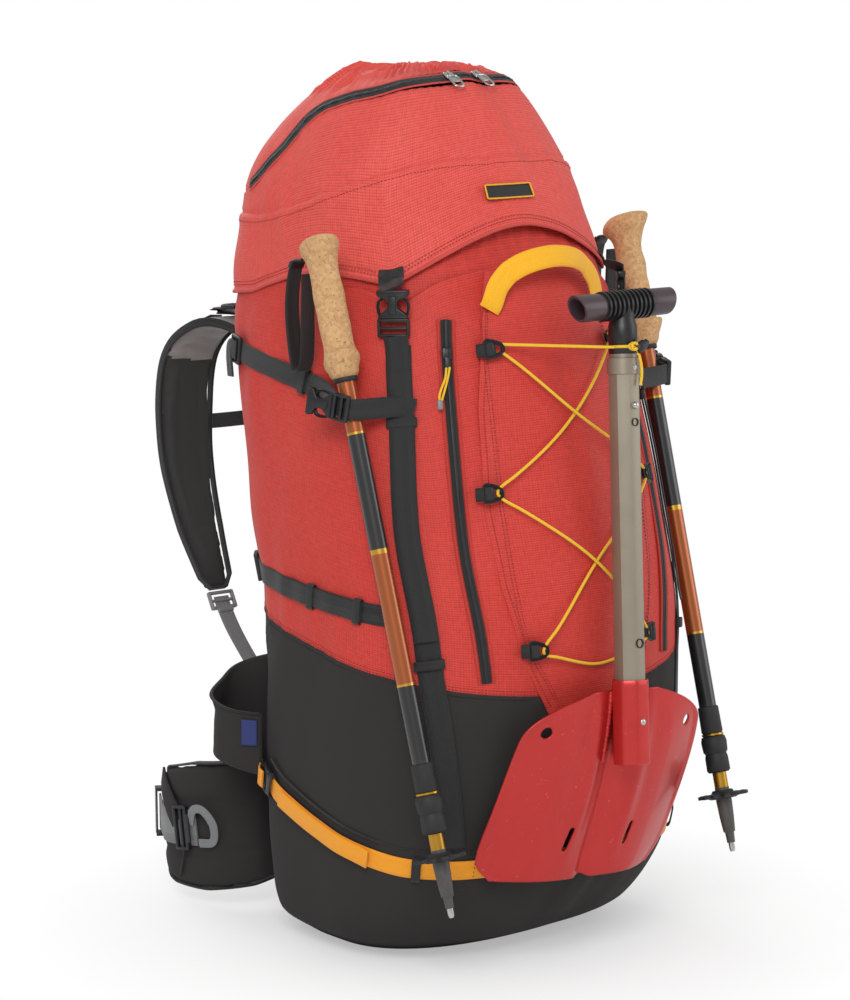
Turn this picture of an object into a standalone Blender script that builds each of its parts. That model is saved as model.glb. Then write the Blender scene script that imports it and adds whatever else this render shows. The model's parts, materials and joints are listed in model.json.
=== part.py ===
"""Expedition backpack with trekking poles and a snow shovel lashed on.

Metres, +Z up. The origin is the centre of the flat base. -Y is the front,
where the shovel hangs; +Y is the harness side, which the wearer's back meets.
The sack's outside is one smooth surface, sack_point(). Webbing, zips, pockets,
seams and buckles all take their places from it and from the sizes below.
"""

import math

import bmesh
import bpy
from mathutils import Matrix, Vector

# ---------------------------------------------------------------- the sack
# (height, half width, reach to the front, reach to the back)
SACK_STATIONS = [
    (0.000, 0.140, 0.085, 0.095),
    (0.030, 0.178, 0.142, 0.112),
    (0.100, 0.195, 0.192, 0.122),
    (0.200, 0.200, 0.208, 0.122),
    (0.330, 0.200, 0.200, 0.118),
    (0.430, 0.198, 0.183, 0.140),
    (0.530, 0.187, 0.160, 0.165),
    (0.630, 0.170, 0.133, 0.198),
    (0.730, 0.152, 0.090, 0.200),
    (0.800, 0.124, 0.052, 0.168),
    (0.840, 0.098, 0.022, 0.135),
    (0.868, 0.056, -0.028, 0.094),
]
FRONT_ROUNDNESS = 2.35  # superellipse exponent of the front half
BACK_ROUNDNESS = 4.0    # the harness side is boxier
AROUND = 36             # facets around the sack
FABRIC = 0.003          # wall of the packed fabric
SEAM_GAP = 0.0004       # between sewn pieces that meet edge to edge
SEAT = 0.0012           # webbing and pockets sit this far off the fabric

BOOT_HIGH = 0.345       # the base boot's top seam at the harness side
BOOT_LOW = 0.268        # and at the front
SACK_TOP = 0.600        # the sack narrows under the lid from here
COLLAR_INSET = 0.011    # the part under the lid stays this far inside it
COLLAR_TOP = 0.705
THROAT_SHARE = 0.62     # the drawn throat's size, as a share of the collar's

# ---------------------------------------------------------------- the lid
LID_HINGE_Z = 0.622
LID_CUSP_Z = 0.660      # the lid's edge at the two buckles
LID_ARCH = 0.060        # rise of its arch over the front pocket
LID_SIDE_ARCH = 0.012   # rise over each side
LID_CUSP_TURN = 52.0    # degrees each side of the front centre
LID_WALL = 0.003
LID_FLOOR_Z = 0.738
ZIP_WIDTH = 0.009       # black coil and tape
ZIP_BACK_Z = 0.735      # the lid zip's ends near the harness side
ZIP_FRONT_Z = 0.850     # and its middle over the front

# ---------------------------------------------------------------- webbing
WEB = 0.025             # wide webbing
WEB_THIN = 0.020
WEB_THICK = 0.0018


def clear_scene():
    for obj in list(bpy.data.objects):
        bpy.data.objects.remove(obj, do_unlink=True)


def make_material(name, colour, roughness, metallic=0.0):
    material = bpy.data.materials.new(name)
    material.use_nodes = True
    shader = material.node_tree.nodes["Principled BSDF"]
    shader.inputs["Base Color"].default_value = (*colour, 1.0)
    shader.inputs["Roughness"].default_value = roughness
    shader.inputs["Metallic"].default_value = metallic
    return material


def link(name, mesh_maker, material, parent=None, smooth=40):
    """Turns a bmesh into a named object with one material."""
    bmesh.ops.recalc_face_normals(mesh_maker, faces=mesh_maker.faces)
    mesh = bpy.data.meshes.new(name)
    mesh_maker.to_mesh(mesh)
    mesh_maker.free()
    mesh.materials.append(material)
    if smooth:
        mesh.shade_smooth()
        mesh.set_sharp_from_angle(angle=math.radians(smooth))
    obj = bpy.data.objects.new(name, mesh)
    bpy.context.scene.collection.objects.link(obj)
    if parent is not None:
        obj.parent = parent
    return obj


def loft(maker, rings, close_rings=False, cap=True):
    """Skins rings of equally many points; close_rings joins the last ring to the first."""
    layers = [[maker.verts.new(p) for p in ring] for ring in rings]
    pairs = list(zip(layers, layers[1:]))
    if close_rings:
        pairs.append((layers[-1], layers[0]))
    for low, high in pairs:
        count = len(low)
        for i in range(count):
            j = (i + 1) % count
            maker.faces.new((low[i], low[j], high[j], high[i]))
    if cap and not close_rings:
        maker.faces.new(list(reversed(layers[0])))
        maker.faces.new(layers[-1])


# ------------------------------------------------------ the sack's surface
def station(z, column):
    """Smooth value of a SACK_STATIONS column at height z, with no overshoot."""
    table = SACK_STATIONS
    z = min(max(z, table[0][0]), table[-1][0])
    steps = [b[0] - a[0] for a, b in zip(table, table[1:])]
    slopes = [(b[column] - a[column]) / h for a, b, h in zip(table, table[1:], steps)]
    i = max(k for k in range(len(steps)) if table[k][0] <= z)

    def tangent(k):
        if k == 0:
            return slopes[0]
        if k == len(slopes):
            return slopes[-1]
        before, after = slopes[k - 1], slopes[k]
        return 0.0 if before * after <= 0 else 2 * before * after / (before + after)

    t = (z - table[i][0]) / steps[i]
    start, end = table[i][column], table[i + 1][column]
    return (
        (2 * t**3 - 3 * t**2 + 1) * start
        + (t**3 - 2 * t**2 + t) * steps[i] * tangent(i)
        + (3 * t**2 - 2 * t**3) * end
        + (t**3 - t**2) * steps[i] * tangent(i + 1)
    )


def sack_centre(z):
    return Vector((0, (station(z, 3) - station(z, 2)) / 2, z))


def sack_point(turn, z, out=0.0):
    """A point of the sack's outside, moved out along its normal.

    turn is in degrees round the section's centre: 0 is the front, 90 the
    wearer's left (-X), 180 the harness side, -90 is +X.
    """
    point = _raw_point(turn, z)
    if out:
        point = point + sack_normal(turn, z) * out
    return point


def _raw_point(turn, z):
    half_width = station(z, 1)
    half_depth = (station(z, 2) + station(z, 3)) / 2
    side, ahead = -math.sin(math.radians(turn)), -math.cos(math.radians(turn))
    power = FRONT_ROUNDNESS if ahead < 0 else BACK_ROUNDNESS
    reach = (abs(side / half_width) ** power + abs(ahead / half_depth) ** power) ** (-1 / power)
    return sack_centre(z) + Vector((side * reach, ahead * reach, 0))


def sack_normal(turn, z):
    step = 0.004
    low, high = max(z - step, 0.0005), min(z + step, SACK_STATIONS[-1][0])
    around = _raw_point(turn + 1.5, z) - _raw_point(turn - 1.5, z)
    up = _raw_point(turn, high) - _raw_point(turn, low)
    return up.cross(around).normalized()


def turn_at(x, z):
    """The turn on the front half where the sack's outside has this x at height z."""
    low, high = -90.0, 90.0
    for _ in range(40):
        middle = (low + high) / 2
        if _raw_point(middle, z).x > x:
            low = middle
        else:
            high = middle
    return (low + high) / 2


def side_turn_at(y, z):
    """The turn on the -X side where the sack's outside has this y at height z."""
    low, high = 5.0, 175.0
    for _ in range(40):
        middle = (low + high) / 2
        if _raw_point(middle, z).y < y:
            low = middle
        else:
            high = middle
    return (low + high) / 2


def sack_ring(height_of, out=0.0):
    turns = [360 * i / AROUND for i in range(AROUND)]
    return [sack_point(t, height_of(t), out) for t in turns]


def mirrored(point):
    return Vector((-point.x, point.y, point.z))


def smooth_curve(points, count):
    """Evenly spaced points on a Catmull-Rom curve through the given points."""
    points = [Vector(p) for p in points]
    ends = [2 * points[0] - points[1]] + points + [2 * points[-1] - points[-2]]
    fine = []
    for a, b, c, d in zip(ends, ends[1:], ends[2:], ends[3:]):
        for k in range(24):
            t = k / 24
            fine.append(
                0.5 * ((2 * b) + (c - a) * t + (2 * a - 5 * b + 4 * c - d) * t * t
                       + (3 * b - 3 * c + d - a) * t**3)
            )
    fine.append(points[-1])
    lengths = [0.0]
    for a, b in zip(fine, fine[1:]):
        lengths.append(lengths[-1] + (b - a).length)
    found, k = [], 0
    for i in range(count):
        want = lengths[-1] * i / (count - 1)
        while k < len(fine) - 2 and lengths[k + 1] < want:
            k += 1
        span = max(lengths[k + 1] - lengths[k], 1e-12)
        found.append(fine[k].lerp(fine[k + 1], (want - lengths[k]) / span))
    return found


# ------------------------------------------------------ webbing and tubes
def strap(maker, path, normals, width, thick, lift=0.0):
    """A flat strap along path; normals point out of its face."""
    rings = []
    for i, point in enumerate(path):
        ahead = (path[min(i + 1, len(path) - 1)] - path[max(i - 1, 0)]).normalized()
        normal = (normals[i] - ahead * normals[i].dot(ahead)).normalized()
        side = ahead.cross(normal) * (width / 2)
        low, high = point + normal * lift, point + normal * (lift + thick)
        rings.append([low - side, low + side, high + side, high - side])
    loft(maker, rings)


def surface_strap(maker, route, width, thick=WEB_THICK, lift=SEAT, count=14, flip=False):
    """A strap lying on the sack. route is a list of (turn, height)."""
    flat = smooth_curve([(t / 100, z, 0) for t, z in route], count)
    turns = [(p.x * 100, p.y) for p in flat]
    path = [sack_point(t, z) for t, z in turns]
    normals = [sack_normal(t, z) for t, z in turns]
    if flip:
        path = [mirrored(p) for p in path]
        normals = [mirrored(n) for n in normals]
    strap(maker, path, normals, width, thick, lift)


def box(maker, centre, axes, size):
    """A box with its sides along axes (three unit vectors)."""
    half = [axes[i] * (size[i] / 2) for i in range(3)]
    rings = []
    for s in (-1, 1):
        rings.append([
            Vector(centre) + half[0] * a + half[1] * b + half[2] * s
            for a, b in ((-1, -1), (1, -1), (1, 1), (-1, 1))
        ])
    loft(maker, rings)


def frame_at(path_direction, normal):
    """Unit axes (across, along, out) for hardware on a strap."""
    along = path_direction.normalized()
    out = (normal - along * normal.dot(along)).normalized()
    return along.cross(out), along, out


def turned(maker, axis_start, axis_end, profile, sides=16, hollow=False):
    """A turned solid: profile is (distance along the axis, radius) from start to end.

    With hollow the profile is a closed loop of (distance, radius).
    """
    start = Vector(axis_start)
    ahead = (Vector(axis_end) - start).normalized()
    across = ahead.orthogonal().normalized()
    other = ahead.cross(across)
    rings = []
    for distance, radius in profile:
        ring = []
        for i in range(sides):
            a = 2 * math.pi * i / sides
            ring.append(start + ahead * distance
                        + (across * math.cos(a) + other * math.sin(a)) * radius)
        rings.append(ring)
    loft(maker, rings, close_rings=hollow)


# ================================================================ the sack
def boot_seam_z(turn):
    """Height of the seam between base boot and sack: high behind, low in front."""
    share = (1 - math.cos(math.radians(turn))) / 2
    return BOOT_LOW + (BOOT_HIGH - BOOT_LOW) * share


def shell_rings(low_of, high_of, steps, wall, out=0.0):
    """Rings round a tube of fabric: up the outside, then down the inside."""
    shares = [k / steps for k in range(steps + 1)]
    outer = [sack_ring(lambda t, s=s: low_of(t) + (high_of(t) - low_of(t)) * s, out) for s in shares]
    inner = [sack_ring(lambda t, s=s: low_of(t) + (high_of(t) - low_of(t)) * s, out - wall) for s in shares]
    return outer, inner[::-1]


def make_base_boot(material):
    maker = bmesh.new()
    floor = 0.0
    inner_floor = floor + 2 * FABRIC
    heights = [0.0, 0.012, 0.030, 0.065, 0.120, 0.190]
    top = lambda t: boot_seam_z(t) - SEAM_GAP / 2
    outer = [sack_ring(lambda t, z=z: z) for z in heights] + [sack_ring(top)]
    inner = [sack_ring(top, -FABRIC)]
    for z in reversed(heights[1:]):
        inner.append(sack_ring(lambda t, z=z: max(z, inner_floor), -FABRIC))
    last = [Vector((p.x * 0.92, p.y * 0.92, inner_floor)) for p in inner[-1]]
    loft(maker, outer + inner + [last])
    return link("base_boot", maker, material)


def make_main_sack(material):
    maker = bmesh.new()
    outer, inner = shell_rings(lambda t: boot_seam_z(t) + SEAM_GAP / 2, lambda t: SACK_TOP, 7, FABRIC)
    loft(maker, outer + inner, close_rings=True)
    return link("main_sack", maker, material)


def collar_ring(share, out):
    """The spindrift collar: inset under the lid, then drawn in to the throat."""
    z = SACK_TOP + SEAM_GAP + (COLLAR_TOP - SACK_TOP) * min(share, 1.0)
    inset = COLLAR_INSET * min(share * 3, 1.0)
    ring = sack_ring(lambda t: z, -inset + out)
    if share <= 1:
        return ring
    centre = sack_centre(COLLAR_TOP)
    size = 1 - (1 - THROAT_SHARE) * (share - 1)
    return [centre + (p - centre) * size + Vector((0, 0, 0.016 * (share - 1))) for p in ring]


def make_throat_collar(material):
    maker = bmesh.new()
    shares = [0.0, 0.33, 1.0, 1.5, 2.0]
    outer = [collar_ring(s, 0.0) for s in shares]
    inner = [collar_ring(s, -FABRIC / 2) for s in shares[::-1]]
    for ring in inner:
        for p in ring:
            p.z -= 0.0012 if p.z > COLLAR_TOP - 0.001 else 0.0
    loft(maker, outer + inner, close_rings=True)
    return link("throat_collar", maker, material)


def make_throat_drawcord(material):
    maker = bmesh.new()
    radius = 0.0025
    centreline = collar_ring(2.0, 0.0)
    centre = sack_centre(COLLAR_TOP)
    path = [p + Vector((0, 0, radius + 0.0012)) for p in centreline[::2]]
    rings = []
    for p in path:
        outward = Vector((p.x - centre.x, p.y - centre.y, 0)).normalized()
        rings.append([
            p + (outward * math.cos(a) + Vector((0, 0, 1)) * math.sin(a)) * radius
            for a in [math.pi / 3 * k for k in range(6)]
        ])
    loft(maker, rings, close_rings=True)
    return link("throat_drawcord", maker, material)


# ----------------------------------------------------------- front pocket
POCKET_HALF_WIDTHS = [(0.245, 0.050), (0.300, 0.077), (0.380, 0.096), (0.450, 0.102),
                      (0.545, 0.092), (0.640, 0.070), (0.672, 0.058)]
POCKET_RAISE = 0.012
POCKET_EDGE = 0.002


def table_value(table, z):
    """Straight-line reading of a small (height, value) table."""
    for (z0, v0), (z1, v1) in zip(table, table[1:]):
        if z <= z1:
            return v0 + (v1 - v0) * (z - z0) / (z1 - z0)
    return table[-1][1]


def pocket_raise(across, up):
    """Height of the pocket's face off the sack. across is -1 to 1, up is 0 to 1."""
    crown = (1 - abs(across) ** 2.4) * math.sin(math.pi * min(max(up, 0), 1)) ** 0.5
    return SEAT + POCKET_EDGE + POCKET_RAISE * crown


def pocket_face(x, z):
    """(point, normal) on the front pocket's outside at this x and height."""
    low, high = POCKET_HALF_WIDTHS[0][0], POCKET_HALF_WIDTHS[-1][0]
    across = x / table_value(POCKET_HALF_WIDTHS, z)
    turn = turn_at(x, z)
    up = (z - low) / (high - low)
    off = pocket_raise(across, up) if abs(across) < 1 and 0 < up < 1 else SEAT
    return sack_point(turn, z, off), sack_normal(turn, z)


def make_front_pocket(material):
    maker = bmesh.new()
    rows, columns = 13, 12
    low, high = POCKET_HALF_WIDTHS[0][0], POCKET_HALF_WIDTHS[-1][0]
    rings = []
    for r in range(rows):
        z = low + (high - low) * r / (rows - 1)
        width = table_value(POCKET_HALF_WIDTHS, z)
        ring = []
        for c in range(columns + 1):
            across = -1 + 2 * c / columns
            turn = turn_at(across * width, z)
            ring.append(sack_point(turn, z, pocket_raise(across, r / (rows - 1))))
        for c in range(columns, -1, -2):
            across = -1 + 2 * c / columns
            ring.append(sack_point(turn_at(across * width, z), z, SEAT))
        rings.append(ring)
    loft(maker, rings)
    return link("front_pocket", maker, material)


# -------------------------------------------------------------- front zips
FRONT_ZIP_ROUTE = [(36.5, 0.628), (41.0, 0.520), (42.5, 0.400), (39.5, 0.290)]  # (turn, height)
FRONT_ZIP_WIDTH = 0.010
FRONT_ZIP_THICK = 0.0012
FRONT_SLIDER_Z = 0.598
FRONT_SLIDER_TRAVEL = 0.120


def front_zip_turn(z):
    flat = smooth_curve([(t / 100, h, 0) for t, h in FRONT_ZIP_ROUTE], 60)
    nearest = min(flat, key=lambda p: abs(p.y - z))
    return nearest.x * 100


def make_front_zip(name, side, material):
    maker = bmesh.new()
    surface_strap(maker, FRONT_ZIP_ROUTE, FRONT_ZIP_WIDTH, FRONT_ZIP_THICK, SEAT, 16, flip=side < 0)
    return link(name, maker, material)


# ---------------------------------------------------------- side and back
def make_side_pocket(name, side, material):
    """An open-topped pocket standing off the side near the harness; side 1 is -X."""
    maker = bmesh.new()
    turns = [121.5, 123.5, 126, 129, 132, 134.5, 137, 139]
    columns = len(turns) - 1
    low_z, wall = 0.168, 0.002

    def layer(off_add):
        rings = []
        for k in range(6):
            up = k / 5
            ring = []
            for c, turn in enumerate(turns):
                across = -1 + 2 * c / columns
                top = POCKET_TOP_FRONT + (POCKET_TOP_BACK - POCKET_TOP_FRONT) * c / columns
                z = low_z + (top - low_z) * up
                bulge = (1 - abs(across) ** 2.6) * (0.25 + 0.75 * up ** 0.7) * SIDE_POCKET_BULGE
                p = sack_point(turn, z, SEAT + wall + bulge + off_add)
                ring.append(p if side > 0 else mirrored(p))
            rings.append(ring)
        return rings

    outer, inner = layer(0.0), layer(-wall)
    rings = [a + b[::-1] for a, b in zip(outer, inner)]
    loft(maker, rings)
    return link(name, maker, material)


POCKET_TOP_FRONT = 0.287
POCKET_TOP_BACK = 0.240
SIDE_POCKET_BULGE = 0.050


# ================================================================ the lid
def lid_edge_z(turn):
    """The lid's scalloped lower edge: an arch over the front, a lower one over each side."""
    turn = abs((turn + 180) % 360 - 180)
    if turn <= LID_CUSP_TURN:
        return LID_CUSP_Z + LID_ARCH * math.cos(math.pi / 2 * turn / LID_CUSP_TURN)
    share = (turn - LID_CUSP_TURN) / (180 - LID_CUSP_TURN)
    blend = share * share * (3 - 2 * share)
    arch = LID_SIDE_ARCH * math.sin(math.pi * min(share / 0.5, 1.0))
    return LID_CUSP_Z + (LID_HINGE_Z + 0.003 - LID_CUSP_Z) * blend + arch


def lid_zip_z(turn):
    """Centre line of the lid zip, high over the front and low at its two ends behind."""
    turn = abs((turn + 180) % 360 - 180)
    share = min(turn / LID_ZIP_END_TURN, 1.0)
    return ZIP_FRONT_Z + (ZIP_BACK_Z - ZIP_FRONT_Z) * share * share * (3 - 2 * share)


LID_ZIP_END_TURN = 128.0


def lid_zip_gap(turn):
    """Half the slot that the zip fills; behind its ends the two panels just meet."""
    turn = abs((turn + 180) % 360 - 180)
    past = (turn - LID_ZIP_END_TURN) / 6
    share = min(max(past, 0.0), 1.0)
    return ZIP_WIDTH / 2 * (1 - share) + SEAM_GAP * share


def make_lid_skirt(material):
    maker = bmesh.new()
    outer, inner = shell_rings(lid_edge_z, lambda t: lid_zip_z(t) - lid_zip_gap(t), 5, LID_WALL, 0.001)
    loft(maker, outer + inner, close_rings=True)
    return link("lid_skirt", maker, material)


def make_lid_crown(material):
    maker = bmesh.new()
    top = SACK_STATIONS[-1][0]
    outer, inner = shell_rings(lambda t: lid_zip_z(t) + lid_zip_gap(t), lambda t: top, 5, LID_WALL, 0.001)
    crown_top = sack_centre(top) + Vector((0, 0, 0.008))
    dome = [crown_top + (p - crown_top) * 0.45 + Vector((0, 0, 0.003)) for p in outer[-1]]
    under = [p - Vector((0, 0, LID_WALL)) for p in dome]
    loft(maker, [under] + inner + outer + [dome])
    return link("lid_crown", maker, material)


def make_lid_zip(material):
    maker = bmesh.new()
    count, end = 36, LID_ZIP_END_TURN - 9
    path, normals = [], []
    for k in range(count):
        turn = -end + 2 * end * k / (count - 1)
        path.append(sack_point(turn, lid_zip_z(turn), -0.001))
        normals.append(sack_normal(turn, lid_zip_z(turn)))
    strap(maker, path, normals, ZIP_WIDTH - 0.0022, 0.0022)
    return link("lid_zip", maker, material)


def make_lid_floor(material):
    """The inner panel that closes the lid pocket below."""
    maker = bmesh.new()
    low = sack_ring(lambda t: LID_FLOOR_Z, -LID_WALL - 0.0015)
    high = [p + Vector((0, 0, 0.0018)) for p in sack_ring(lambda t: LID_FLOOR_Z, -LID_WALL - 0.0022)]
    loft(maker, [low, high])
    return link("lid_floor", maker, material)


# ======================================================= moulded hardware
def helper(name, maker):
    """A closed shape that only serves a Boolean: it is no piece of the object."""
    obj = link(name, maker, bpy.data.materials[0], smooth=0)
    obj.hide_render = True
    obj.display_type = "WIRE"
    return obj


def boolean(obj, other, operation, crossing=False):
    """crossing is for a shape that meets itself, such as a cord laced over itself."""
    modifier = obj.modifiers.new(operation.lower(), "BOOLEAN")
    modifier.operation = operation
    modifier.solver = "EXACT"
    modifier.use_self = crossing
    modifier.object = other


def joined(name, makers, material, crossing=False):
    """One body from several overlapping shapes: the first takes each of the others by union."""
    obj = link(name, makers[0], material)
    for number, maker in enumerate(makers[1:]):
        boolean(obj, helper(f"{name}_part_{number}", maker), "UNION", crossing)
    return obj


def shape(build, *values):
    """A fresh bmesh filled by one of the shape functions."""
    maker = bmesh.new()
    build(maker, *values)
    return maker


def flat_frame(maker, centre, axes, size, rim):
    """A flat rectangular frame: size is (across, along, out), rim the width of its bars."""
    across, along, out = axes

    def ring(w, length, s):
        return [centre + across * a * w + along * b * length + out * s * size[2] / 2
                for a, b in ((-1, -1), (1, -1), (1, 1), (-1, 1))]

    w, length = size[0] / 2, size[1] / 2
    loft(maker, [ring(w, length, -1), ring(w, length, 1),
                 ring(w - rim, length - rim, 1), ring(w - rim, length - rim, -1)], close_rings=True)


def flat_tube(maker, start, axes, size, wall):
    """A flat rectangular tube along axes[1], waisted at its middle where the thumb grips it."""
    across, along, out = axes

    def ring(distance, w, t):
        return [start + along * distance + across * a * w + out * b * t
                for a, b in ((-1, -1), (1, -1), (1, 1), (-1, 1))]

    w, t, length = size[0] / 2, size[2] / 2, size[1]
    waist = w * BUCKLE_WAIST
    outer = [ring(0, w, t), ring(length * 0.45, waist, t), ring(length, w, t)]
    inner = [ring(length, w - wall * 1.5, t - wall), ring(length * 0.45, waist - wall * 1.5, t - wall),
             ring(0, w - wall * 1.5, t - wall)]
    loft(maker, outer + inner, close_rings=True)


BUCKLE_WAIST = 0.90
BUCKLE_THICK = 0.0100
BUCKLE_WALL = 0.0017
SOCKET_LENGTH = 0.026
TONGUE_LENGTH = 0.017      # the ladder frame that the webbing threads
TONGUE_THICK = 0.0044
PRONG_REACH = 0.014
PRONG_THICK = 0.0030
PRONG_WIDTH = 0.0045


def buckle_width(web):
    return web + 0.011


def add_socket(maker, mouth, axes, web):
    flat_tube(maker, mouth, axes, (buckle_width(web), SOCKET_LENGTH, BUCKLE_THICK), BUCKLE_WALL)


def tongue_shapes(mouth, axes, web):
    """The male half, as overlapping shapes. axes[1] points into the socket from its mouth."""
    across, along, out = axes
    width = buckle_width(web)
    gap = 0.0006
    centre = mouth - along * (gap + TONGUE_LENGTH / 2)
    size = (width, TONGUE_LENGTH, TONGUE_THICK)
    shapes = [shape(flat_frame, centre, axes, size, 0.0032),
              shape(box, centre - along * 0.0005, axes, (width - 0.003, 0.0028, TONGUE_THICK * 0.8))]
    prong_length = PRONG_REACH + gap + 0.002
    prong_middle = mouth + along * (PRONG_REACH - prong_length / 2)
    side = width / 2 * BUCKLE_WAIST - BUCKLE_WALL * 1.5 - PRONG_WIDTH / 2 - 0.0009
    for place, wide in ((-side, PRONG_WIDTH), (side, PRONG_WIDTH), (0.0, PRONG_WIDTH * 0.7)):
        shapes.append(shape(box, prong_middle + across * place, axes, (wide, prong_length, PRONG_THICK)))
    return shapes


def add_block(maker, start, axes, size):
    """A closed buckle's body, waisted at its middle."""
    across, along, out = axes

    def ring(distance, w, t):
        return [start + along * distance + across * a * w + out * b * t
                for a, b in ((-1, -1), (1, -1), (1, 1), (-1, 1))]

    w, t, length = size[0] / 2, size[2] / 2, size[1]
    loft(maker, [ring(0, w, t), ring(length * 0.45, w * BUCKLE_WAIST, t), ring(length, w, t)])


# ------------------------------------------------------- the lid's buckles
LID_BUCKLE_OFF = 0.0085        # the buckle's middle stands this far off the sack
LID_BUCKLE_MOUTH_Z = 0.628     # where socket and tongue meet


def flipped(axes):
    """Axes mirrored to the other side of the pack, still right-handed enough for boxes."""
    return [mirrored(axis) for axis in axes]


def lid_buckle_place():
    """(mouth, axes) of the -X lid buckle. It lies along the lid's first swing, so it draws apart."""
    turn = LID_CUSP_TURN
    normal = sack_normal(turn, LID_BUCKLE_MOUTH_Z)
    mouth = sack_point(turn, LID_BUCKLE_MOUTH_Z, LID_BUCKLE_OFF)
    arm = mouth - LID_HINGE
    swing = Vector((0, arm.z, -arm.y)).normalized()
    across, along, out = frame_at(swing, normal)
    return mouth, [across, along, out]


LID_HINGE = Vector((0, station(LID_HINGE_Z, 3) + 0.004, LID_HINGE_Z))


def make_lid_buckle(name, side, material):
    """The female half on its webbing tab, which comes down from the lid's edge."""
    mouth, axes = lid_buckle_place()
    tube = shape(add_socket, mouth, axes, WEB)
    end = mouth + axes[1] * (PRONG_REACH + 0.004)
    high = sack_point(LID_CUSP_TURN, LID_CUSP_Z + 0.030, 0.0026)
    low = sack_point(LID_CUSP_TURN, LID_CUSP_Z + 0.004, 0.0032)
    path = smooth_curve([high, low, mouth + axes[1] * (SOCKET_LENGTH + 0.001), end], 9)
    normals = [sack_normal(LID_CUSP_TURN, LID_CUSP_Z)] * len(path)
    tab = shape(strap, path, normals, WEB, WEB_THICK)
    bar = shape(box, mouth + axes[1] * (SOCKET_LENGTH - 0.002), axes,
                (buckle_width(WEB) - 0.001, 0.003, BUCKLE_THICK - 0.001))
    shapes = [tube, bar, tab]
    if side < 0:
        for maker in shapes:
            mirror_shape(maker)
    return joined(name, shapes, material)


def mirror_shape(maker):
    """Flips a shape to the other side of the pack."""
    for vert in maker.verts:
        vert.co.x = -vert.co.x
    bmesh.ops.reverse_faces(maker, faces=maker.faces)


FRONT_STRAP_ROUTE = [(LID_CUSP_TURN, 0.604), (55.0, 0.540), (58.0, 0.430), (56.0, 0.320),
                     (52.0, 0.230), (48.5, 0.130)]


def make_front_strap(name, side, material):
    """The long compression strap down a front corner, with the lid buckle's male half."""
    mouth, axes = lid_buckle_place()
    low_z = FRONT_STRAP_ROUTE[0][1]
    band = shape(surface_strap, FRONT_STRAP_ROUTE, WEB, WEB_THICK, SEAT, 22)
    rise = [sack_point(LID_CUSP_TURN + 0.4, low_z - 0.012, SEAT), sack_point(LID_CUSP_TURN, low_z, SEAT + 0.001),
            mouth - axes[1] * (TONGUE_LENGTH * 0.45)]
    tie = shape(strap, smooth_curve(rise, 5), [axes[2]] * 5, WEB - 0.002, WEB_THICK)
    shapes = [band, tie] + tongue_shapes(mouth, axes, WEB)
    if side < 0:
        for maker in shapes:
            mirror_shape(maker)
    return joined(name, shapes, material)


# -------------------------------------------------- side straps and buckles
UPPER_STRAP_FRONT = (-0.102, 0.547)    # (y, height) where it meets the front strap
UPPER_STRAP_BACK = (0.130, 0.583)
LOWER_STRAP_FRONT = (-0.125, 0.352)
LOWER_STRAP_BACK = (0.095, 0.371)
LADDER_LOCK_SIZE = (WEB_THIN + 0.009, 0.016, 0.0044)


def route_between(front, back, steps=5):
    """(turn, height) pairs along a side strap, front end first."""
    found = []
    for k in range(steps):
        share = k / (steps - 1)
        y = front[0] + (back[0] - front[0]) * share
        z = front[1] + (back[1] - front[1]) * share
        found.append((side_turn_at(y, z), z))
    return found


def upper_strap_z(y):
    share = (y - UPPER_STRAP_FRONT[0]) / (UPPER_STRAP_BACK[0] - UPPER_STRAP_FRONT[0])
    return UPPER_STRAP_FRONT[1] + (UPPER_STRAP_BACK[1] - UPPER_STRAP_FRONT[1]) * share


def upper_strap_path():
    """(points, normals) from the harness edge, over the pole, to the front strap."""
    def at(y, off):
        z = upper_strap_z(y)
        turn = side_turn_at(y, z)
        return sack_point(turn, z, off), sack_normal(turn, z)

    pole = pole_point((POLE_TOP.z - 0.553) / (POLE_TOP.z - POLE_TIP.z) * POLE_LENGTH)
    over = POLE_UPPER_RADIUS + POLE_CLEAR
    ys = [0.130, 0.105, 0.075, 0.045, 0.015]
    found = [at(y, SEAT) for y in ys]
    back, normal = at(pole.y + 0.045, SEAT + 0.006)
    found.append((back, normal))
    for turn_out, extra in ((26, 0), (0, 0), (-30, 0.001), (-64, 0.0035)):
        a = math.radians(turn_out)
        out = Vector((-math.cos(a), math.sin(a), 0))
        point = pole + out * (over + extra)
        point.z = upper_strap_z(point.y)
        found.append((point, out))
    over_strap = SEAT + WEB_THICK + 0.0016
    found.append(at(UPPER_STRAP_FRONT[0] + 0.004, over_strap))
    found.append(at(UPPER_STRAP_FRONT[0] - 0.008, over_strap))
    return [p for p, n in found], [n for p, n in found]


POLE_CLEAR = 0.0036      # between a pole and the strap over it


def make_side_strap_upper(name, side, material):
    """The upper compression strap. Its closed buckle and its ladder lock are part of it."""
    points, normals = upper_strap_path()
    band = shape(strap, points, normals, WEB_THIN, WEB_THICK)
    out = normals[7]
    along = (points[8] - points[6]).normalized()
    axes = list(frame_at(along, out))
    middle = points[7] + axes[2] * 0.0040
    width = buckle_width(WEB_THIN)
    body = shape(add_block, middle - axes[1] * 0.024, axes, (width, 0.024, 0.0095))
    frame = shape(flat_frame, middle + axes[1] * 0.0085, axes, (width - 0.002, 0.019, 0.0060), 0.0034)
    bar = shape(box, middle + axes[1] * 0.0085, axes, (width - 0.004, 0.0030, 0.0048))
    lock = edge_lock(points[0], points[1] - points[0], normals[0])
    shapes = [band, body, frame, bar] + lock
    if side < 0:
        for maker in shapes:
            mirror_shape(maker)
    return joined(name, shapes, material)


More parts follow.
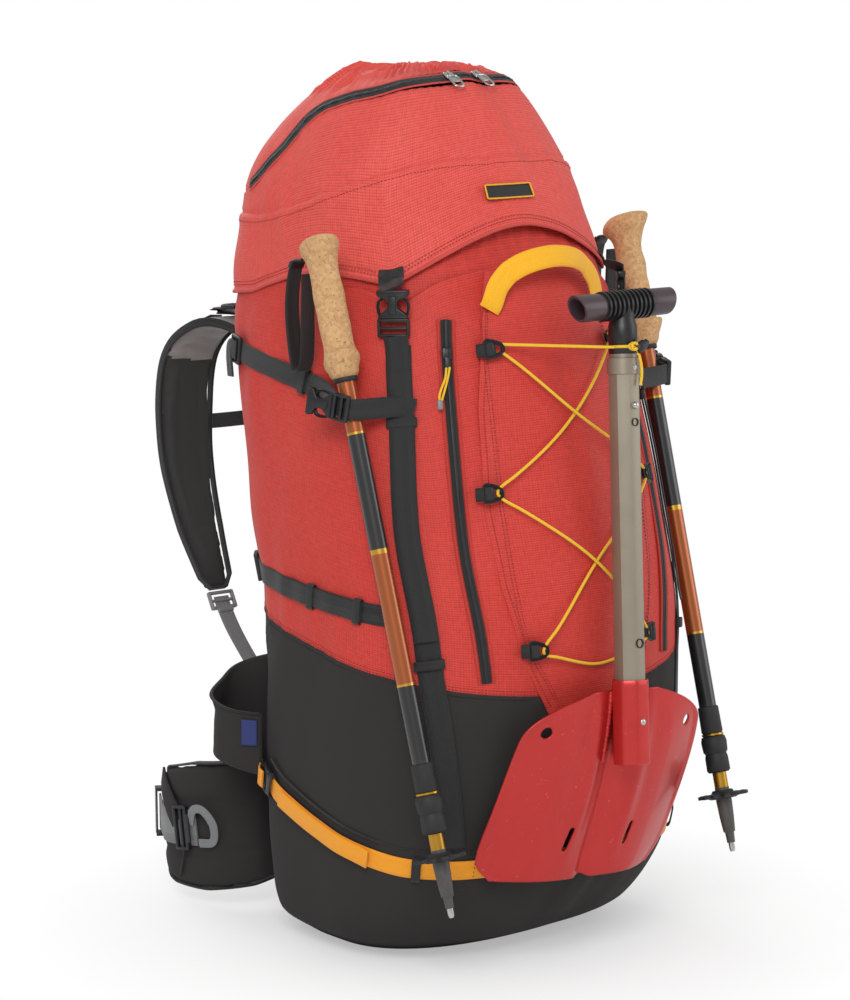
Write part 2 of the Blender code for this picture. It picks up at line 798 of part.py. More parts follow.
def edge_lock(end, ahead, normal):
    """Shapes of a ladder lock on the end of a strap: a frame with one bar across."""
    axes = list(frame_at(ahead, normal))
    centre = end + axes[2] * 0.0030
    return [shape(flat_frame, centre, axes, LADDER_LOCK_SIZE, 0.0030),
            shape(box, centre, axes, (LADDER_LOCK_SIZE[0] - 0.003, 0.0030, 0.0052))]


def make_side_strap_lower(name, side, material):
    route = route_between(LOWER_STRAP_FRONT, LOWER_STRAP_BACK, 7)
    band = shape(surface_strap, route, WEB_THIN, WEB_THICK, SEAT, 14)
    turn, z = route[-1]
    end, before = sack_point(turn, z, SEAT), sack_point(route[-2][0], route[-2][1], SEAT)
    shapes = [band] + edge_lock(end, before - end, sack_normal(turn, z))
    if side < 0:
        for maker in shapes:
            mirror_shape(maker)
    return joined(name, shapes, material)


# ------------------------------------------------------------- base straps
BASE_STRAP_WIDTH = 0.020
BASE_STRAP_ROUTE = [(119.0, 0.163), (100.0, 0.139), (80.0, 0.121), (62.0, 0.109), (42.0, 0.106)]


def make_base_strap(material):
    """One strap round the foot of the front, from side to side behind the shovel's blade."""
    maker = bmesh.new()
    route = BASE_STRAP_ROUTE + [(0.0, 0.108)] + [(-turn, z) for turn, z in reversed(BASE_STRAP_ROUTE)]
    surface_strap(maker, route, BASE_STRAP_WIDTH, WEB_THICK, SEAT, 34)
    return link("base_strap", maker, material)


# --------------------------------------------------------------- haul loop
HAUL_LOOP_WIDTH = 0.022
HAUL_LOOP_THICK = 0.0028
HAUL_LOOP_POINTS = [(-0.0690, 0.636), (-0.0640, 0.668), (-0.0380, 0.692), (0.0, 0.700)]


def make_haul_loop(material):
    """An arched grab loop that stands off the pocket's head, its ends sewn on it."""
    half = [(x, z) for x, z in HAUL_LOOP_POINTS]
    outline = half + [(-x, z) for x, z in reversed(half[:-1])]
    flat = smooth_curve([(x, z, 0) for x, z in outline], 25)
    path, normals = [], []
    for k, p in enumerate(flat):
        arch = math.sin(math.pi * k / 24)
        point, normal = pocket_face(p.x, min(p.y, 0.671))
        point = Vector((p.x, point.y - 0.0150 - 0.010 * arch, p.y))
        path.append(point)
        normals.append(Vector((p.x * 2.5, -0.10, p.y - 0.640)).normalized())
    maker = bmesh.new()
    strap(maker, path, normals, HAUL_LOOP_WIDTH, HAUL_LOOP_THICK)
    return link("haul_loop", maker, material)


# ------------------------------------------------------------ bungee lacing
CORD_RADIUS = 0.0014
CORD_SEAT = 0.0030         # the cord's middle off the pocket's face
HOOKS = [(0.070, 0.598), (0.094, 0.466), (0.068, 0.318)]   # (half spacing, height), top row first
HOOK_OFF = 0.0070
HOOK_EYE = 0.0045        # the cord turns this far inside each hook's place
HOOK_LENGTH = 0.0165
HOOK_RIM = 0.0034


def tube(maker, path, radius, sides=6):
    """A round tube along path, capped at both ends."""
    rings = []
    across = None
    for i, p in enumerate(path):
        ahead = (path[min(i + 1, len(path) - 1)] - path[max(i - 1, 0)]).normalized()
        if across is None:
            across = ahead.orthogonal().normalized()
        across = (across - ahead * across.dot(ahead)).normalized()
        other = ahead.cross(across)
        rings.append([
            p + (across * math.cos(a) + other * math.sin(a)) * radius
            for a in [2 * math.pi * k / sides for k in range(sides)]
        ])
    loft(maker, rings)


def on_pocket(x, z, off):
    point, normal = pocket_face(x, z)
    return point + normal * off


def cord_path():
    """The elastic's middle line: two crosses behind the shovel, then over its neck."""
    (x1, z1), (x2, z2), (x3, z3) = HOOKS
    eye = HOOK_EYE
    high = HOOK_OFF - CORD_SEAT
    # (x, height, extra lift): the falling runs ride over the rising ones where they cross
    runs = [
        [(-x1 + eye, z1 - 0.003, high), (0.0, (z1 + z2) / 2, 0.0042), (x2 - eye, z2 + 0.004, high)],
        [(x2 - eye, z2 - 0.004, high), (0.0, (z2 + z3) / 2, 0.0), (-x3 + eye, z3 + 0.004, high)],
        [(-x3 + eye, z3 - 0.004, high), (0.0, z3 - 0.020, 0.0), (x3 - eye, z3 - 0.004, high)],
        [(x3 - eye, z3 + 0.004, high), (0.0, (z2 + z3) / 2, 0.0042), (-x2 + eye, z2 - 0.004, high)],
        [(-x2 + eye, z2 + 0.004, high), (0.0, (z1 + z2) / 2, 0.0), (x1 - eye, z1 - 0.003, high)],
    ]
    path = []
    for run in runs:
        flat = smooth_curve(run, 11)
        path.extend(on_pocket(p.x, p.y, CORD_SEAT + p.z) for p in flat)
    path.append(on_pocket(x1 - eye, z1 + 0.004, HOOK_OFF))
    across, down, out = shovel_axes()
    neck = shovel_point(CORD_OVER_NECK)
    over = NECK_RADIUS + CORD_RADIUS + 0.0009
    for turn_out in (80, 54, 27, 0, -27, -54, -80):
        a = math.radians(turn_out)
        path.append(neck + (across * math.sin(a) + out * math.cos(a)) * over)
    path.append(neck - across * (over + 0.010) + out * 0.000)
    path.append(on_pocket(-x1 + eye, z1 + 0.004, HOOK_OFF))
    return path


CORD_OVER_NECK = 0.0400    # along the shovel, where the elastic passes in front of its neck


def make_bungee_lacing(material):
    """The elastic and the six webbing eyes that it runs through."""
    shapes = [shape(tube, cord_path(), CORD_RADIUS)]
    for half, z in HOOKS:
        for side in (-1, 1):
            inner_bar = on_pocket((half - HOOK_EYE) * side, z, HOOK_OFF)
            normal = pocket_face(half * side, z)[1]
            axes = list(frame_at(Vector((-side, 0, 0)), normal))
            centre = inner_bar - axes[1] * (HOOK_LENGTH / 2 - HOOK_RIM / 2)
            shapes.append(shape(flat_frame, centre, axes, (0.0150, HOOK_LENGTH, 0.0040), HOOK_RIM))
    return joined("bungee_lacing", shapes, material, crossing=True)


# ============================================================== zip sliders
def make_front_slider(name, side, material):
    """Slider and pull tab of a front zip, on the coil at its upper end."""
    z = FRONT_SLIDER_Z
    turn = front_zip_turn(z)
    ahead = sack_point(front_zip_turn(z - 0.02), z - 0.02) - sack_point(turn, z)
    axes = list(frame_at(ahead, sack_normal(turn, z)))
    stand = SEAT + FRONT_ZIP_THICK + 0.0006
    shapes = []
    for along, off, size in ((0.0, 0.0016, (0.0088, 0.011, 0.0032)), (0.0145, 0.0016, (0.0056, 0.022, 0.0016))):
        centre = sack_point(turn, z, stand + off) + axes[1] * along
        if side < 0:
            shapes.append(shape(box, mirrored(centre), flipped(axes), size))
        else:
            shapes.append(shape(box, centre, axes, size))
    return joined(name, shapes, material)


LID_SLIDER_TURN = 15.0
LID_SLIDER_STAND = 0.0018


def make_lid_slider(name, side, material):
    """Slider of the lid zip with its ring pull hanging in front of the lid."""
    frames = bmesh.new()
    turn = LID_SLIDER_TURN * side
    z = lid_zip_z(turn)
    ahead = sack_point(turn + 2, lid_zip_z(turn + 2)) - sack_point(turn - 2, lid_zip_z(turn - 2))
    axes = list(frame_at(ahead, sack_normal(turn, z)))
    body = sack_point(turn, z, LID_SLIDER_STAND + 0.0022)
    down = -axes[0] if axes[0].z > 0 else axes[0]
    across, along, out = axes
    box(frames, body, axes, (0.0098, 0.0085, 0.0034))
    pull = bmesh.new()
    centre = body + down * 0.0125
    flat_frame(pull, centre, [along, down, out], (0.0120, 0.0180, 0.0022), 0.0028)
    obj = link(name, frames, material)
    boolean(obj, helper(name + "_pull", pull), "UNION")
    return obj


# ================================================================= harness
def back_turn_at(x, z):
    """The turn on the harness side where the sack's outside has this x (x below 0)."""
    low, high = 90.0, 180.0
    for _ in range(40):
        middle = (low + high) / 2
        if _raw_point(middle, z).x < x:
            low = middle
        else:
            high = middle
    return (low + high) / 2


def back_point(x, z, off=0.0):
    """A point off the sack's harness side. The offset runs straight back, along +Y."""
    point = _raw_point(back_turn_at(-abs(x), z), z)
    return Vector((x, point.y + off, z))


def pad(maker, path, normals, widths, thicks, lift=0.0):
    """A padded band with rounded long edges; normals point out of its outer face."""
    rings = []
    for i, point in enumerate(path):
        ahead = (path[min(i + 1, len(path) - 1)] - path[max(i - 1, 0)]).normalized()
        normal = (normals[i] - ahead * normals[i].dot(ahead)).normalized()
        side = ahead.cross(normal)
        w, t = widths[i] / 2, thicks[i]
        soft = min(t * 0.45, w * 0.5)
        section = [(-w + soft, 0), (w - soft, 0), (w, t * 0.3), (w, t * 0.7),
                   (w - soft, t), (-w + soft, t), (-w, t * 0.7), (-w, t * 0.3)]
        rings.append([point + side * a + normal * (lift + b) for a, b in section])
    loft(maker, rings)


BACK_PAD_THICK = 0.014
BACK_PAD_OFF = 0.0015
BACK_PAD_LOW = 0.205
BACK_PAD_HIGH = 0.585
LUMBAR_WIDTH = 0.176
LUMBAR_LOW = 0.050
LUMBAR_HIGH = 0.196


def make_back_panel(material):
    """The padded panel between sack and shoulder straps."""
    maker = bmesh.new()
    steps = 12
    heights = [BACK_PAD_LOW + (BACK_PAD_HIGH - BACK_PAD_LOW) * k / (steps - 1) for k in range(steps)]
    path = [back_point(0.0, z, BACK_PAD_OFF) for z in heights]
    widths = [0.205 - 0.055 * (k / (steps - 1)) for k in range(steps)]
    shape = [math.sin(math.pi * (k + 0.6) / (steps + 0.2)) ** 0.35 for k in range(steps)]
    pad(maker, path, [Vector((0, 1, 0))] * steps, widths, [BACK_PAD_THICK * s for s in shape])
    return link("back_panel", maker, material)


def make_lumbar_pad(material):
    maker = bmesh.new()
    steps = 7
    heights = [LUMBAR_LOW + (LUMBAR_HIGH - LUMBAR_LOW) * k / (steps - 1) for k in range(steps)]
    path = [back_point(0.0, z, BACK_PAD_OFF) for z in heights]
    shape = [math.sin(math.pi * (k + 0.7) / (steps + 0.4)) ** 0.4 for k in range(steps)]
    pad(maker, path, [Vector((0, 1, 0))] * steps, [LUMBAR_WIDTH] * steps, [0.026 * s for s in shape])
    return link("lumbar_pad", maker, material)


SHEET_OFF = -(FABRIC + 0.0012)
SHEET_THICK = 0.0015
STAY_X = 0.055


def make_frame_sheet(material):
    """The plastic sheet that stiffens the harness side, just inside the sack."""
    maker = bmesh.new()
    steps = 10
    rings = []
    for k in range(steps):
        z = 0.045 + (0.560 - 0.045) * k / (steps - 1)
        high, low = SHEET_OFF, SHEET_OFF - SHEET_THICK
        xs = [-0.105, -0.05, 0.0, 0.05, 0.105]
        near = [Vector((x, back_point(0.105, z).y + high - 0.001, z)) for x in xs]
        far = [p - Vector((0, SHEET_THICK, 0)) for p in near]
        rings.append(near + far[::-1])
    loft(maker, rings)
    return link("frame_sheet", maker, material)


def make_frame_hoop(material):
    """A flat aluminium bar bent to a hoop: two stays that carry the load, joined at the top."""
    maker = bmesh.new()
    low, high, bend = 0.050, 0.552, 0.040
    outline = [(-STAY_X, low), (-STAY_X, 0.17), (-STAY_X, 0.30), (-STAY_X, 0.42), (-STAY_X, high - bend),
               (-STAY_X * 0.72, high - 0.008), (0.0, high)]
    outline += [(-x, z) for x, z in reversed(outline[:-1])]
    flat = smooth_curve([(x, z, 0) for x, z in outline], 34)
    path = []
    for p in flat:
        y = back_point(0.105, p.y).y + SHEET_OFF - 0.001 - SHEET_THICK - 0.0008
        path.append(Vector((p.x, y - 0.0055, p.y)))
    strap(maker, path, [Vector((0, 1, 0))] * len(path), 0.012, 0.003)
    return link("frame_hoop", maker, material)


SHOULDER_ROUTE = [(-0.050, 0.2100, 0.566), (-0.064, 0.262, 0.590), (-0.078, 0.303, 0.583),
                  (-0.088, 0.333, 0.545), (-0.092, 0.335, 0.460), (-0.094, 0.312, 0.385),
                  (-0.095, 0.274, 0.312)]
SHOULDER_WIDTHS = [0.052, 0.062, 0.068, 0.068, 0.062, 0.052, 0.034]
SHOULDER_THICK = 0.012


def shoulder_path(count=22):
    return smooth_curve(SHOULDER_ROUTE, count)


def shoulder_normals(path):
    """Out of the strap's upper face, away from the wearer."""
    found = []
    for i in range(len(path)):
        ahead = (path[min(i + 1, len(path) - 1)] - path[max(i - 1, 0)]).normalized()
        found.append(ahead.cross(Vector((-1, 0, 0))).normalized() * -1)
    return found


def make_shoulder_strap(name, side, material):
    maker = bmesh.new()
    path = shoulder_path()
    normals = shoulder_normals(path)
    count = len(path)
    flat = smooth_curve([(i * 0.1, w, 0) for i, w in enumerate(SHOULDER_WIDTHS)], count)
    widths = [p.y for p in flat]
    thicks = [SHOULDER_THICK * (0.45 + 0.55 * math.sin(math.pi * (k + 0.5) / count) ** 0.4) for k in range(count)]
    if side < 0:
        path, normals = [mirrored(p) for p in path], [mirrored(n) for n in normals]
    pad(maker, path, normals, widths, thicks, -SHOULDER_THICK / 2)
    return link(name, maker, material)


def make_load_lifter(name, side, material):
    """Short webbing from the head of a shoulder strap to the top of the sack."""
    maker = bmesh.new()
    low = Vector((-0.080 * side, 0.286, 0.6035))
    high = Vector((-0.066 * side, back_point(0.066, 0.604).y + 0.0015, 0.6075))
    path = smooth_curve([high, (high + low) / 2 + Vector((0, 0, 0.001)), low], 5)
    strap(maker, path, [Vector((0, 0, 1))] * 5, WEB_THIN, WEB_THICK)
    return link(name, maker, material)


SHOULDER_WEB_END = Vector((-0.106, 0.124, 0.178))


def make_shoulder_webbing(name, side, material):
    """Webbing from the foot of the sack up to the ladder lock under a shoulder strap."""
    path = shoulder_path()
    ahead = (path[-1] - path[-3]).normalized()
    normal = shoulder_normals(path)[-1]
    axes = list(frame_at(ahead, normal))
    lock = path[-1] + ahead * 0.0135
    points = [lock - ahead * 0.004, lock + ahead * 0.010, lock + ahead * 0.045 + Vector((0, -0.010, 0)),
              SHOULDER_WEB_END + Vector((0.004, 0.030, 0.020)), SHOULDER_WEB_END]
    line = smooth_curve(points, 12)
    shapes = [shape(strap, line, [normal] * len(line), WEB_THIN - 0.001, WEB_THICK, -WEB_THICK / 2),
              shape(flat_frame, lock, axes, (0.034, 0.024, 0.0050), 0.0036),
              shape(box, lock, axes, (0.031, 0.0034, 0.0040))]
    if side < 0:
        for maker in shapes:
            mirror_shape(maker)
    return joined(name, shapes, material)


STERNUM_Z = 0.475


def sternum_anchor():
    """The point of the -X shoulder strap's middle line that the chest strap meets."""
    path = shoulder_path(60)
    return min(path, key=lambda p: abs(p.z - STERNUM_Z) + (0 if p.y > 0.3 else 1))


def make_sternum_strap(material):
    """A chest strap joining the two shoulder straps, with a clip at each end."""
    start = sternum_anchor() + Vector((0.034, 0.0130, 0))
    points = [start, Vector((start.x * 0.5, start.y + 0.008, start.z - 0.003)),
              Vector((0, start.y + 0.010, start.z - 0.004))]
    half = smooth_curve(points, 7)
    line = half + [mirrored(p) for p in half[-2::-1]]
    shapes = [shape(strap, line, [Vector((0, 1, 0))] * len(line), 0.016, WEB_THICK, -WEB_THICK / 2)]
    axes = [Vector((0, 0, 1)), Vector((1, 0, 0)), Vector((0, 1, 0))]
    for flip in (False, True):
        centre = start - Vector((0.0045, 0, 0))
        shapes.append(shape(flat_frame, mirrored(centre) if flip else centre,
                            flipped(axes) if flip else axes, (0.024, 0.014, 0.0036), 0.0034))
    return joined("sternum_strap", shapes, material)


# ================================================================= hipbelt
WING_ROUTE = [(-0.100, 0.150, 0.094), (-0.142, 0.163, 0.089), (-0.168, 0.198, 0.083),
              (-0.170, 0.248, 0.076), (-0.146, 0.290, 0.070)]
WING_WIDTHS = [0.118, 0.132, 0.134, 0.122, 0.090]
WING_THICK = 0.016
WING_HINGE = Vector((WING_ROUTE[0][0], WING_ROUTE[0][1], 0.0))


def wing_path(count=16):
    return smooth_curve(WING_ROUTE, count)


def wing_normals(path):
    """Out of the belt's outer face, away from the wearer."""
    found = []
    for i in range(len(path)):
        ahead = (path[min(i + 1, len(path) - 1)] - path[max(i - 1, 0)]).normalized()
        found.append(Vector((ahead.y, -ahead.x, 0)).normalized() * -1)
    return found


def make_hipbelt_wing(name, side, material):
    maker = bmesh.new()
    path = wing_path()
    normals = wing_normals(path)
    count = len(path)
    flat = smooth_curve([(i * 0.1, w, 0) for i, w in enumerate(WING_WIDTHS)], count)
    widths = [p.y for p in flat]
    thicks = [WING_THICK * (0.5 + 0.5 * math.sin(math.pi * (k + 0.5) / count) ** 0.35) for k in range(count)]
    if side < 0:
        path, normals = [mirrored(p) for p in path], [mirrored(n) for n in normals]
    pad(maker, path, normals, widths, thicks, -WING_THICK / 2)
    return link(name, maker, material)


BELT_WEB = 0.038
BELT_WEB_THICK = 0.0020
BELT_TAIL = 0.056       # free webbing past the end of each wing, to the buckle's half


def belt_tail(side):
    """(points, normals) of the belt webbing: over the wing's outer face, then free to the buckle."""
    path = wing_path(17)
    normals = wing_normals(path)
    stand = WING_THICK / 2 + 0.0015
    points = [path[i] + normals[i] * stand for i in range(8, 17)]
    ahead = (path[-1] - path[-2]).normalized()
    end = points[-1]
    points += [end + ahead * (BELT_TAIL * k / 3) for k in (1, 2, 3)]
    kept = normals[8:] + [normals[-1]] * 3
    if side < 0:
        return [mirrored(p) for p in points], [mirrored(n) for n in kept]
    return points, kept


def make_belt_webbing(name, side, material):
    maker = bmesh.new()
    points, normals = belt_tail(side)
    strap(maker, points, normals, BELT_WEB, BELT_WEB_THICK)
    return link(name, maker, material)


def belt_buckle_place(side):
    """(mouth, axes); axes[1] points from the mouth back along the belt to the wing."""
    points, normals = belt_tail(side)
    ahead = (points[-1] - points[-2]).normalized()
    middle = points[-1] + normals[-1] * BELT_WEB_THICK / 2
    past = 0.012 if side > 0 else TONGUE_LENGTH + 0.0022
    return middle + ahead * past, list(frame_at(-ahead, normals[-1]))


def make_belt_buckle_socket(material):
    maker = bmesh.new()
    mouth, axes = belt_buckle_place(1)
    add_socket(maker, mouth, axes, BELT_WEB + 0.002)
    return link("belt_buckle_socket", maker, material)


def make_belt_buckle_tongue(material):
    mouth, axes = belt_buckle_place(-1)
    across, along, out = axes
    return joined("belt_buckle_tongue", tongue_shapes(mouth, [across, -along, out], BELT_WEB + 0.002), material)


# ============================================================ trekking poles
POLE_TOP = Vector((-0.196, -0.030, 0.706))
POLE_TIP = Vector((-0.184, -0.213, 0.080))
POLE_LENGTH = (POLE_TIP - POLE_TOP).length
POLE_UPPER_RADIUS = 0.0088
POLE_UPPER_BORE = 0.0076
POLE_LOWER_RADIUS = 0.0070
GRIP_LENGTH = 0.135
POLE_COLLAR = 0.535       # along the pole from its top: the locking collar starts here
POLE_COLLAR_END = 0.572
BASKET_AT = 0.598
BASKET_RADIUS = 0.0255


def pole_point(distance, side=1):
    p = POLE_TOP + (POLE_TIP - POLE_TOP).normalized() * distance
    return p if side > 0 else mirrored(p)


def make_pole_grip(name, side, material):
    """Shaped cork grip, flared at its head, hollow for the shaft."""
    maker = bmesh.new()
    bore = POLE_UPPER_RADIUS + 0.0003
    outer = [(0.000, 0.0120), (0.003, 0.0190), (0.009, 0.0225), (0.016, 0.0205), (0.026, 0.0160),
             (0.040, 0.0142), (0.056, 0.0155), (0.072, 0.0150), (0.090, 0.0162), (0.108, 0.0152),
             (0.124, 0.0168), (0.133, 0.0150), (GRIP_LENGTH, 0.0120)]
    inner = [(GRIP_LENGTH, bore), (0.014, bore)]
    turned(maker, pole_point(0, side), pole_point(1, side), outer + inner, 16)
    return link(name, maker, material)


def make_pole_shaft(name, side, material):
    """Upper tube with the locking collar at its foot; the lower section runs inside it."""
    maker = bmesh.new()
    top = 0.016
    outer = [(top, POLE_UPPER_RADIUS), (POLE_COLLAR, POLE_UPPER_RADIUS), (POLE_COLLAR + 0.001, 0.0115),
             (POLE_COLLAR + 0.006, 0.0130), (POLE_COLLAR + 0.016, 0.0122), (POLE_COLLAR + 0.018, 0.0108),
             (POLE_COLLAR_END - 0.002, 0.0118), (POLE_COLLAR_END, 0.0100)]
    inner = [(POLE_COLLAR_END, POLE_UPPER_BORE), (top + 0.004, POLE_UPPER_BORE)]
    turned(maker, pole_point(0, side), pole_point(1, side), outer + inner, 16)
    return link(name, maker, material)


def make_pole_lower(name, side, material):
    """Lower section: slim tube, plastic sheath and carbide tip."""
    maker = bmesh.new()
    inside = POLE_COLLAR_END - 0.165
    profile = [(inside, POLE_LOWER_RADIUS), (BASKET_AT + 0.002, POLE_LOWER_RADIUS), (BASKET_AT + 0.003, 0.0080),
               (BASKET_AT + 0.030, 0.0062), (BASKET_AT + 0.032, 0.0045), (POLE_LENGTH - 0.003, 0.0036),
               (POLE_LENGTH, 0.0022)]
    turned(maker, pole_point(0, side), pole_point(1, side), profile, 14)
    return link(name, maker, material)


def make_pole_basket(name, side, material):
    """Scalloped trekking basket, a ring-toothed disc held just above the tip."""
    maker = bmesh.new()
    bore = POLE_LOWER_RADIUS + 0.0004
    start = pole_point(0, side)
    ahead = (pole_point(1, side) - start).normalized()
    across = ahead.orthogonal().normalized()
    other = ahead.cross(across)
    teeth, sides = 10, 30
    profile = [(BASKET_AT - 0.0065, 0.0100, 0), (BASKET_AT - 0.003, 0.0150, 0), (BASKET_AT - 0.004, BASKET_RADIUS, 1),
               (BASKET_AT - 0.0015, BASKET_RADIUS, 1), (BASKET_AT + 0.0005, 0.0140, 0), (BASKET_AT + 0.001, bore, 0),
               (BASKET_AT - 0.0065, bore, 0)]
    rings = []
    for distance, radius, toothed in profile:
        ring = []
        for i in range(sides):
            a = 2 * math.pi * i / sides
            r = radius - toothed * 0.0022 * (0.5 - 0.5 * math.cos(a * teeth))
            ring.append(start + ahead * distance + (across * math.cos(a) + other * math.sin(a)) * r)
        rings.append(ring)
    loft(maker, rings, close_rings=True)
    return link(name, maker, material)


def make_wrist_strap(name, side, material):
    """A padded loop hanging from the grip's head, on the harness side."""
    maker = bmesh.new()
    down, back = Vector((0, 0, -1)), Vector((0, 1, 0))
    head = pole_point(0.018)
    flat = [(0.0215, 0.004), (0.038, 0.010), (0.046, 0.050), (0.040, 0.098), (0.032, 0.112),
            (0.0235, 0.098), (0.0215, 0.050), (0.0205, 0.018)]
    path = smooth_curve([head + back * a + down * b for a, b in flat], 24)
    across = down.cross(back)
    normals = []
    for i in range(len(path)):
        ahead = (path[min(i + 1, len(path) - 1)] - path[max(i - 1, 0)]).normalized()
        normals.append(across.cross(ahead))
    if side < 0:
        path, normals = [mirrored(p) for p in path], [mirrored(n) for n in normals]
    strap(maker, path, normals, 0.016, 0.0020, -0.001)
    return link(name, maker, material)


# ================================================================== shovel
SHOVEL_TOP = Vector((0.040, -0.199, 0.640))     # centre of the T grip
SHOVEL_FOOT = Vector((0.010, -0.249, 0.238))    # a point low on its middle line
SHAFT_RADIUS = 0.0155
SHAFT_WALL = 0.0016
SHAFT_START = 0.066        # along the shovel from the T grip's middle
SOCKET_START = 0.364
SOCKET_END = 0.429
SLEEVE_LENGTH = 0.0155     # the collar round the shaft's head
NECK_RADIUS = SHAFT_RADIUS - SHAFT_WALL - 0.0007
NECK_END = 0.338           # the neck reaches this far down inside the shaft
BUTTON_RADIUS = 0.0036
BUTTON_PRESS = 0.003       # a snap button goes in this far
GROOVE_FLOOR = NECK_RADIUS + 0.0006 - BUTTON_PRESS - 0.0008   # the neck's groove lets it
GRIP_HALF = 0.062
GRIP_RADIUS = 0.0130
BLADE_HALF_WIDTHS = [(0.00, 0.040), (0.07, 0.080), (0.16, 0.108), (0.28, 0.117), (0.60, 0.121),
                     (0.88, 0.120), (1.00, 0.102)]
BLADE_HEIGHT = 0.178
BLADE_THICK = 0.0022
BLADE_DISH = 0.015         # its sides fall back this far at the shoulders
BLADE_LEAN = 0.050         # its cutting edge lies this far back from the shaft's line


def shovel_axes():
    """(across, down, out) of the shovel; out faces away from the pack."""
    down = (SHOVEL_FOOT - SHOVEL_TOP).normalized()
    out = Vector((0, -1, 0))
    out = (out - down * out.dot(down)).normalized()
    across = down.cross(out)
    if across.x < 0:
        across = -across
    return across, down, out


def shovel_point(distance):
    return SHOVEL_TOP + shovel_axes()[1] * distance


def make_shovel_shaft(material):
    maker = bmesh.new()
    end = SOCKET_END - 0.006
    inner, sleeve = SHAFT_RADIUS - SHAFT_WALL, SHAFT_RADIUS + 0.0004
    turned(maker, SHOVEL_TOP, shovel_point(1),
           [(SHAFT_START - SLEEVE_LENGTH, sleeve), (SHAFT_START, sleeve), (SHAFT_START, SHAFT_RADIUS),
            (end, SHAFT_RADIUS), (end, inner), (SHAFT_START - SLEEVE_LENGTH, inner)], 20, True)
    obj = link("shovel_shaft", maker, material)
    cutter = bmesh.new()
    across, down, out = shovel_axes()
    for distance, side in ((0.096, 1), (0.323, 1), (0.398, 1)):
        middle = shovel_point(distance)
        turned(cutter, middle, middle + out, [(0.008, 0.0042), (0.022, 0.0042)], 12)
    boolean(obj, helper("shaft_holes", cutter), "DIFFERENCE")
    return obj


def make_shovel_handle(material):
    """T grip with its neck, which slides in the shaft."""
    across, down, out = shovel_axes()
    maker = bmesh.new()
    flat_across = Vector((across.x, across.y, 0)).normalized()
    start = SHOVEL_TOP - flat_across * GRIP_HALF
    length = GRIP_HALF * 2
    ribs = [(0.0, GRIP_RADIUS), (0.030, GRIP_RADIUS)]
    for k in range(9):
        at = 0.034 + k * 0.007
        ribs += [(at, GRIP_RADIUS), (at + 0.0012, GRIP_RADIUS + 0.0014), (at + 0.0036, GRIP_RADIUS + 0.0014),
                 (at + 0.0048, GRIP_RADIUS)]
    ribs += [(length, GRIP_RADIUS)]
    wall = 0.0026
    inner = [(length, GRIP_RADIUS - wall), (length - 0.024, GRIP_RADIUS - wall)]
    near = [(0.030, GRIP_RADIUS - wall), (0.0, GRIP_RADIUS - wall)]
    turned(maker, start, start + flat_across, ribs + inner + near, 12, True)
    obj = link("shovel_handle", maker, material)
    neck = bmesh.new()
    turned(neck, SHOVEL_TOP, shovel_point(1),
           [(0.0075, NECK_RADIUS * 0.9), (0.020, NECK_RADIUS), (NECK_END, NECK_RADIUS)], 16)
    boolean(obj, helper("handle_neck", neck), "UNION")
    groove = bmesh.new()
    first, last = SHAFT_START + 0.014, NECK_END + 0.010
    middle = shovel_point((first + last) / 2) + out * (GROOVE_FLOOR + 0.010)
    box(groove, middle, [across, down, out], (2 * BUTTON_RADIUS + 0.001, last - first, 0.020))
    boolean(obj, helper("neck_groove", groove), "DIFFERENCE")
    return obj


def snap_button(name, distance, material):
    maker = bmesh.new()
    across, down, out = shovel_axes()
    middle = shovel_point(distance)
    turned(maker, middle, middle + out,
           [(NECK_RADIUS + 0.0006, BUTTON_RADIUS), (SHAFT_RADIUS + 0.0022, BUTTON_RADIUS),
            (SHAFT_RADIUS + 0.0034, BUTTON_RADIUS * 0.6)], 12)
    return link(name, maker, material)


def blade_point(u, v, lift=0.0):
    """u is -1 to 1 across the blade, v is 0 at its shoulders and 1 at its cutting edge."""
    across, down, out = shovel_axes()
    half = table_value(BLADE_HALF_WIDTHS, v)
    x = u * half
    centre = shovel_point(SOCKET_START + 0.004 + BLADE_HEIGHT * v) - across * (0.016 * v * v)
    crown = -(BLADE_DISH + 0.022 * v) * (x / 0.12) ** 2
    back = -BLADE_LEAN * v ** 1.2
    rib = 0.0050 * math.exp(-((abs(x) - 0.030) / 0.010) ** 2) * math.sin(math.pi * min(v * 0.9 + 0.12, 1.0))
    sink = -(SHAFT_RADIUS + 0.0030) * (1 - min(v / 0.5, 1.0) * 0.35) * math.exp(-(x / 0.040) ** 2)
    return centre + across * x + out * (crown + back + rib + sink * 0.9 + lift + 0.002)


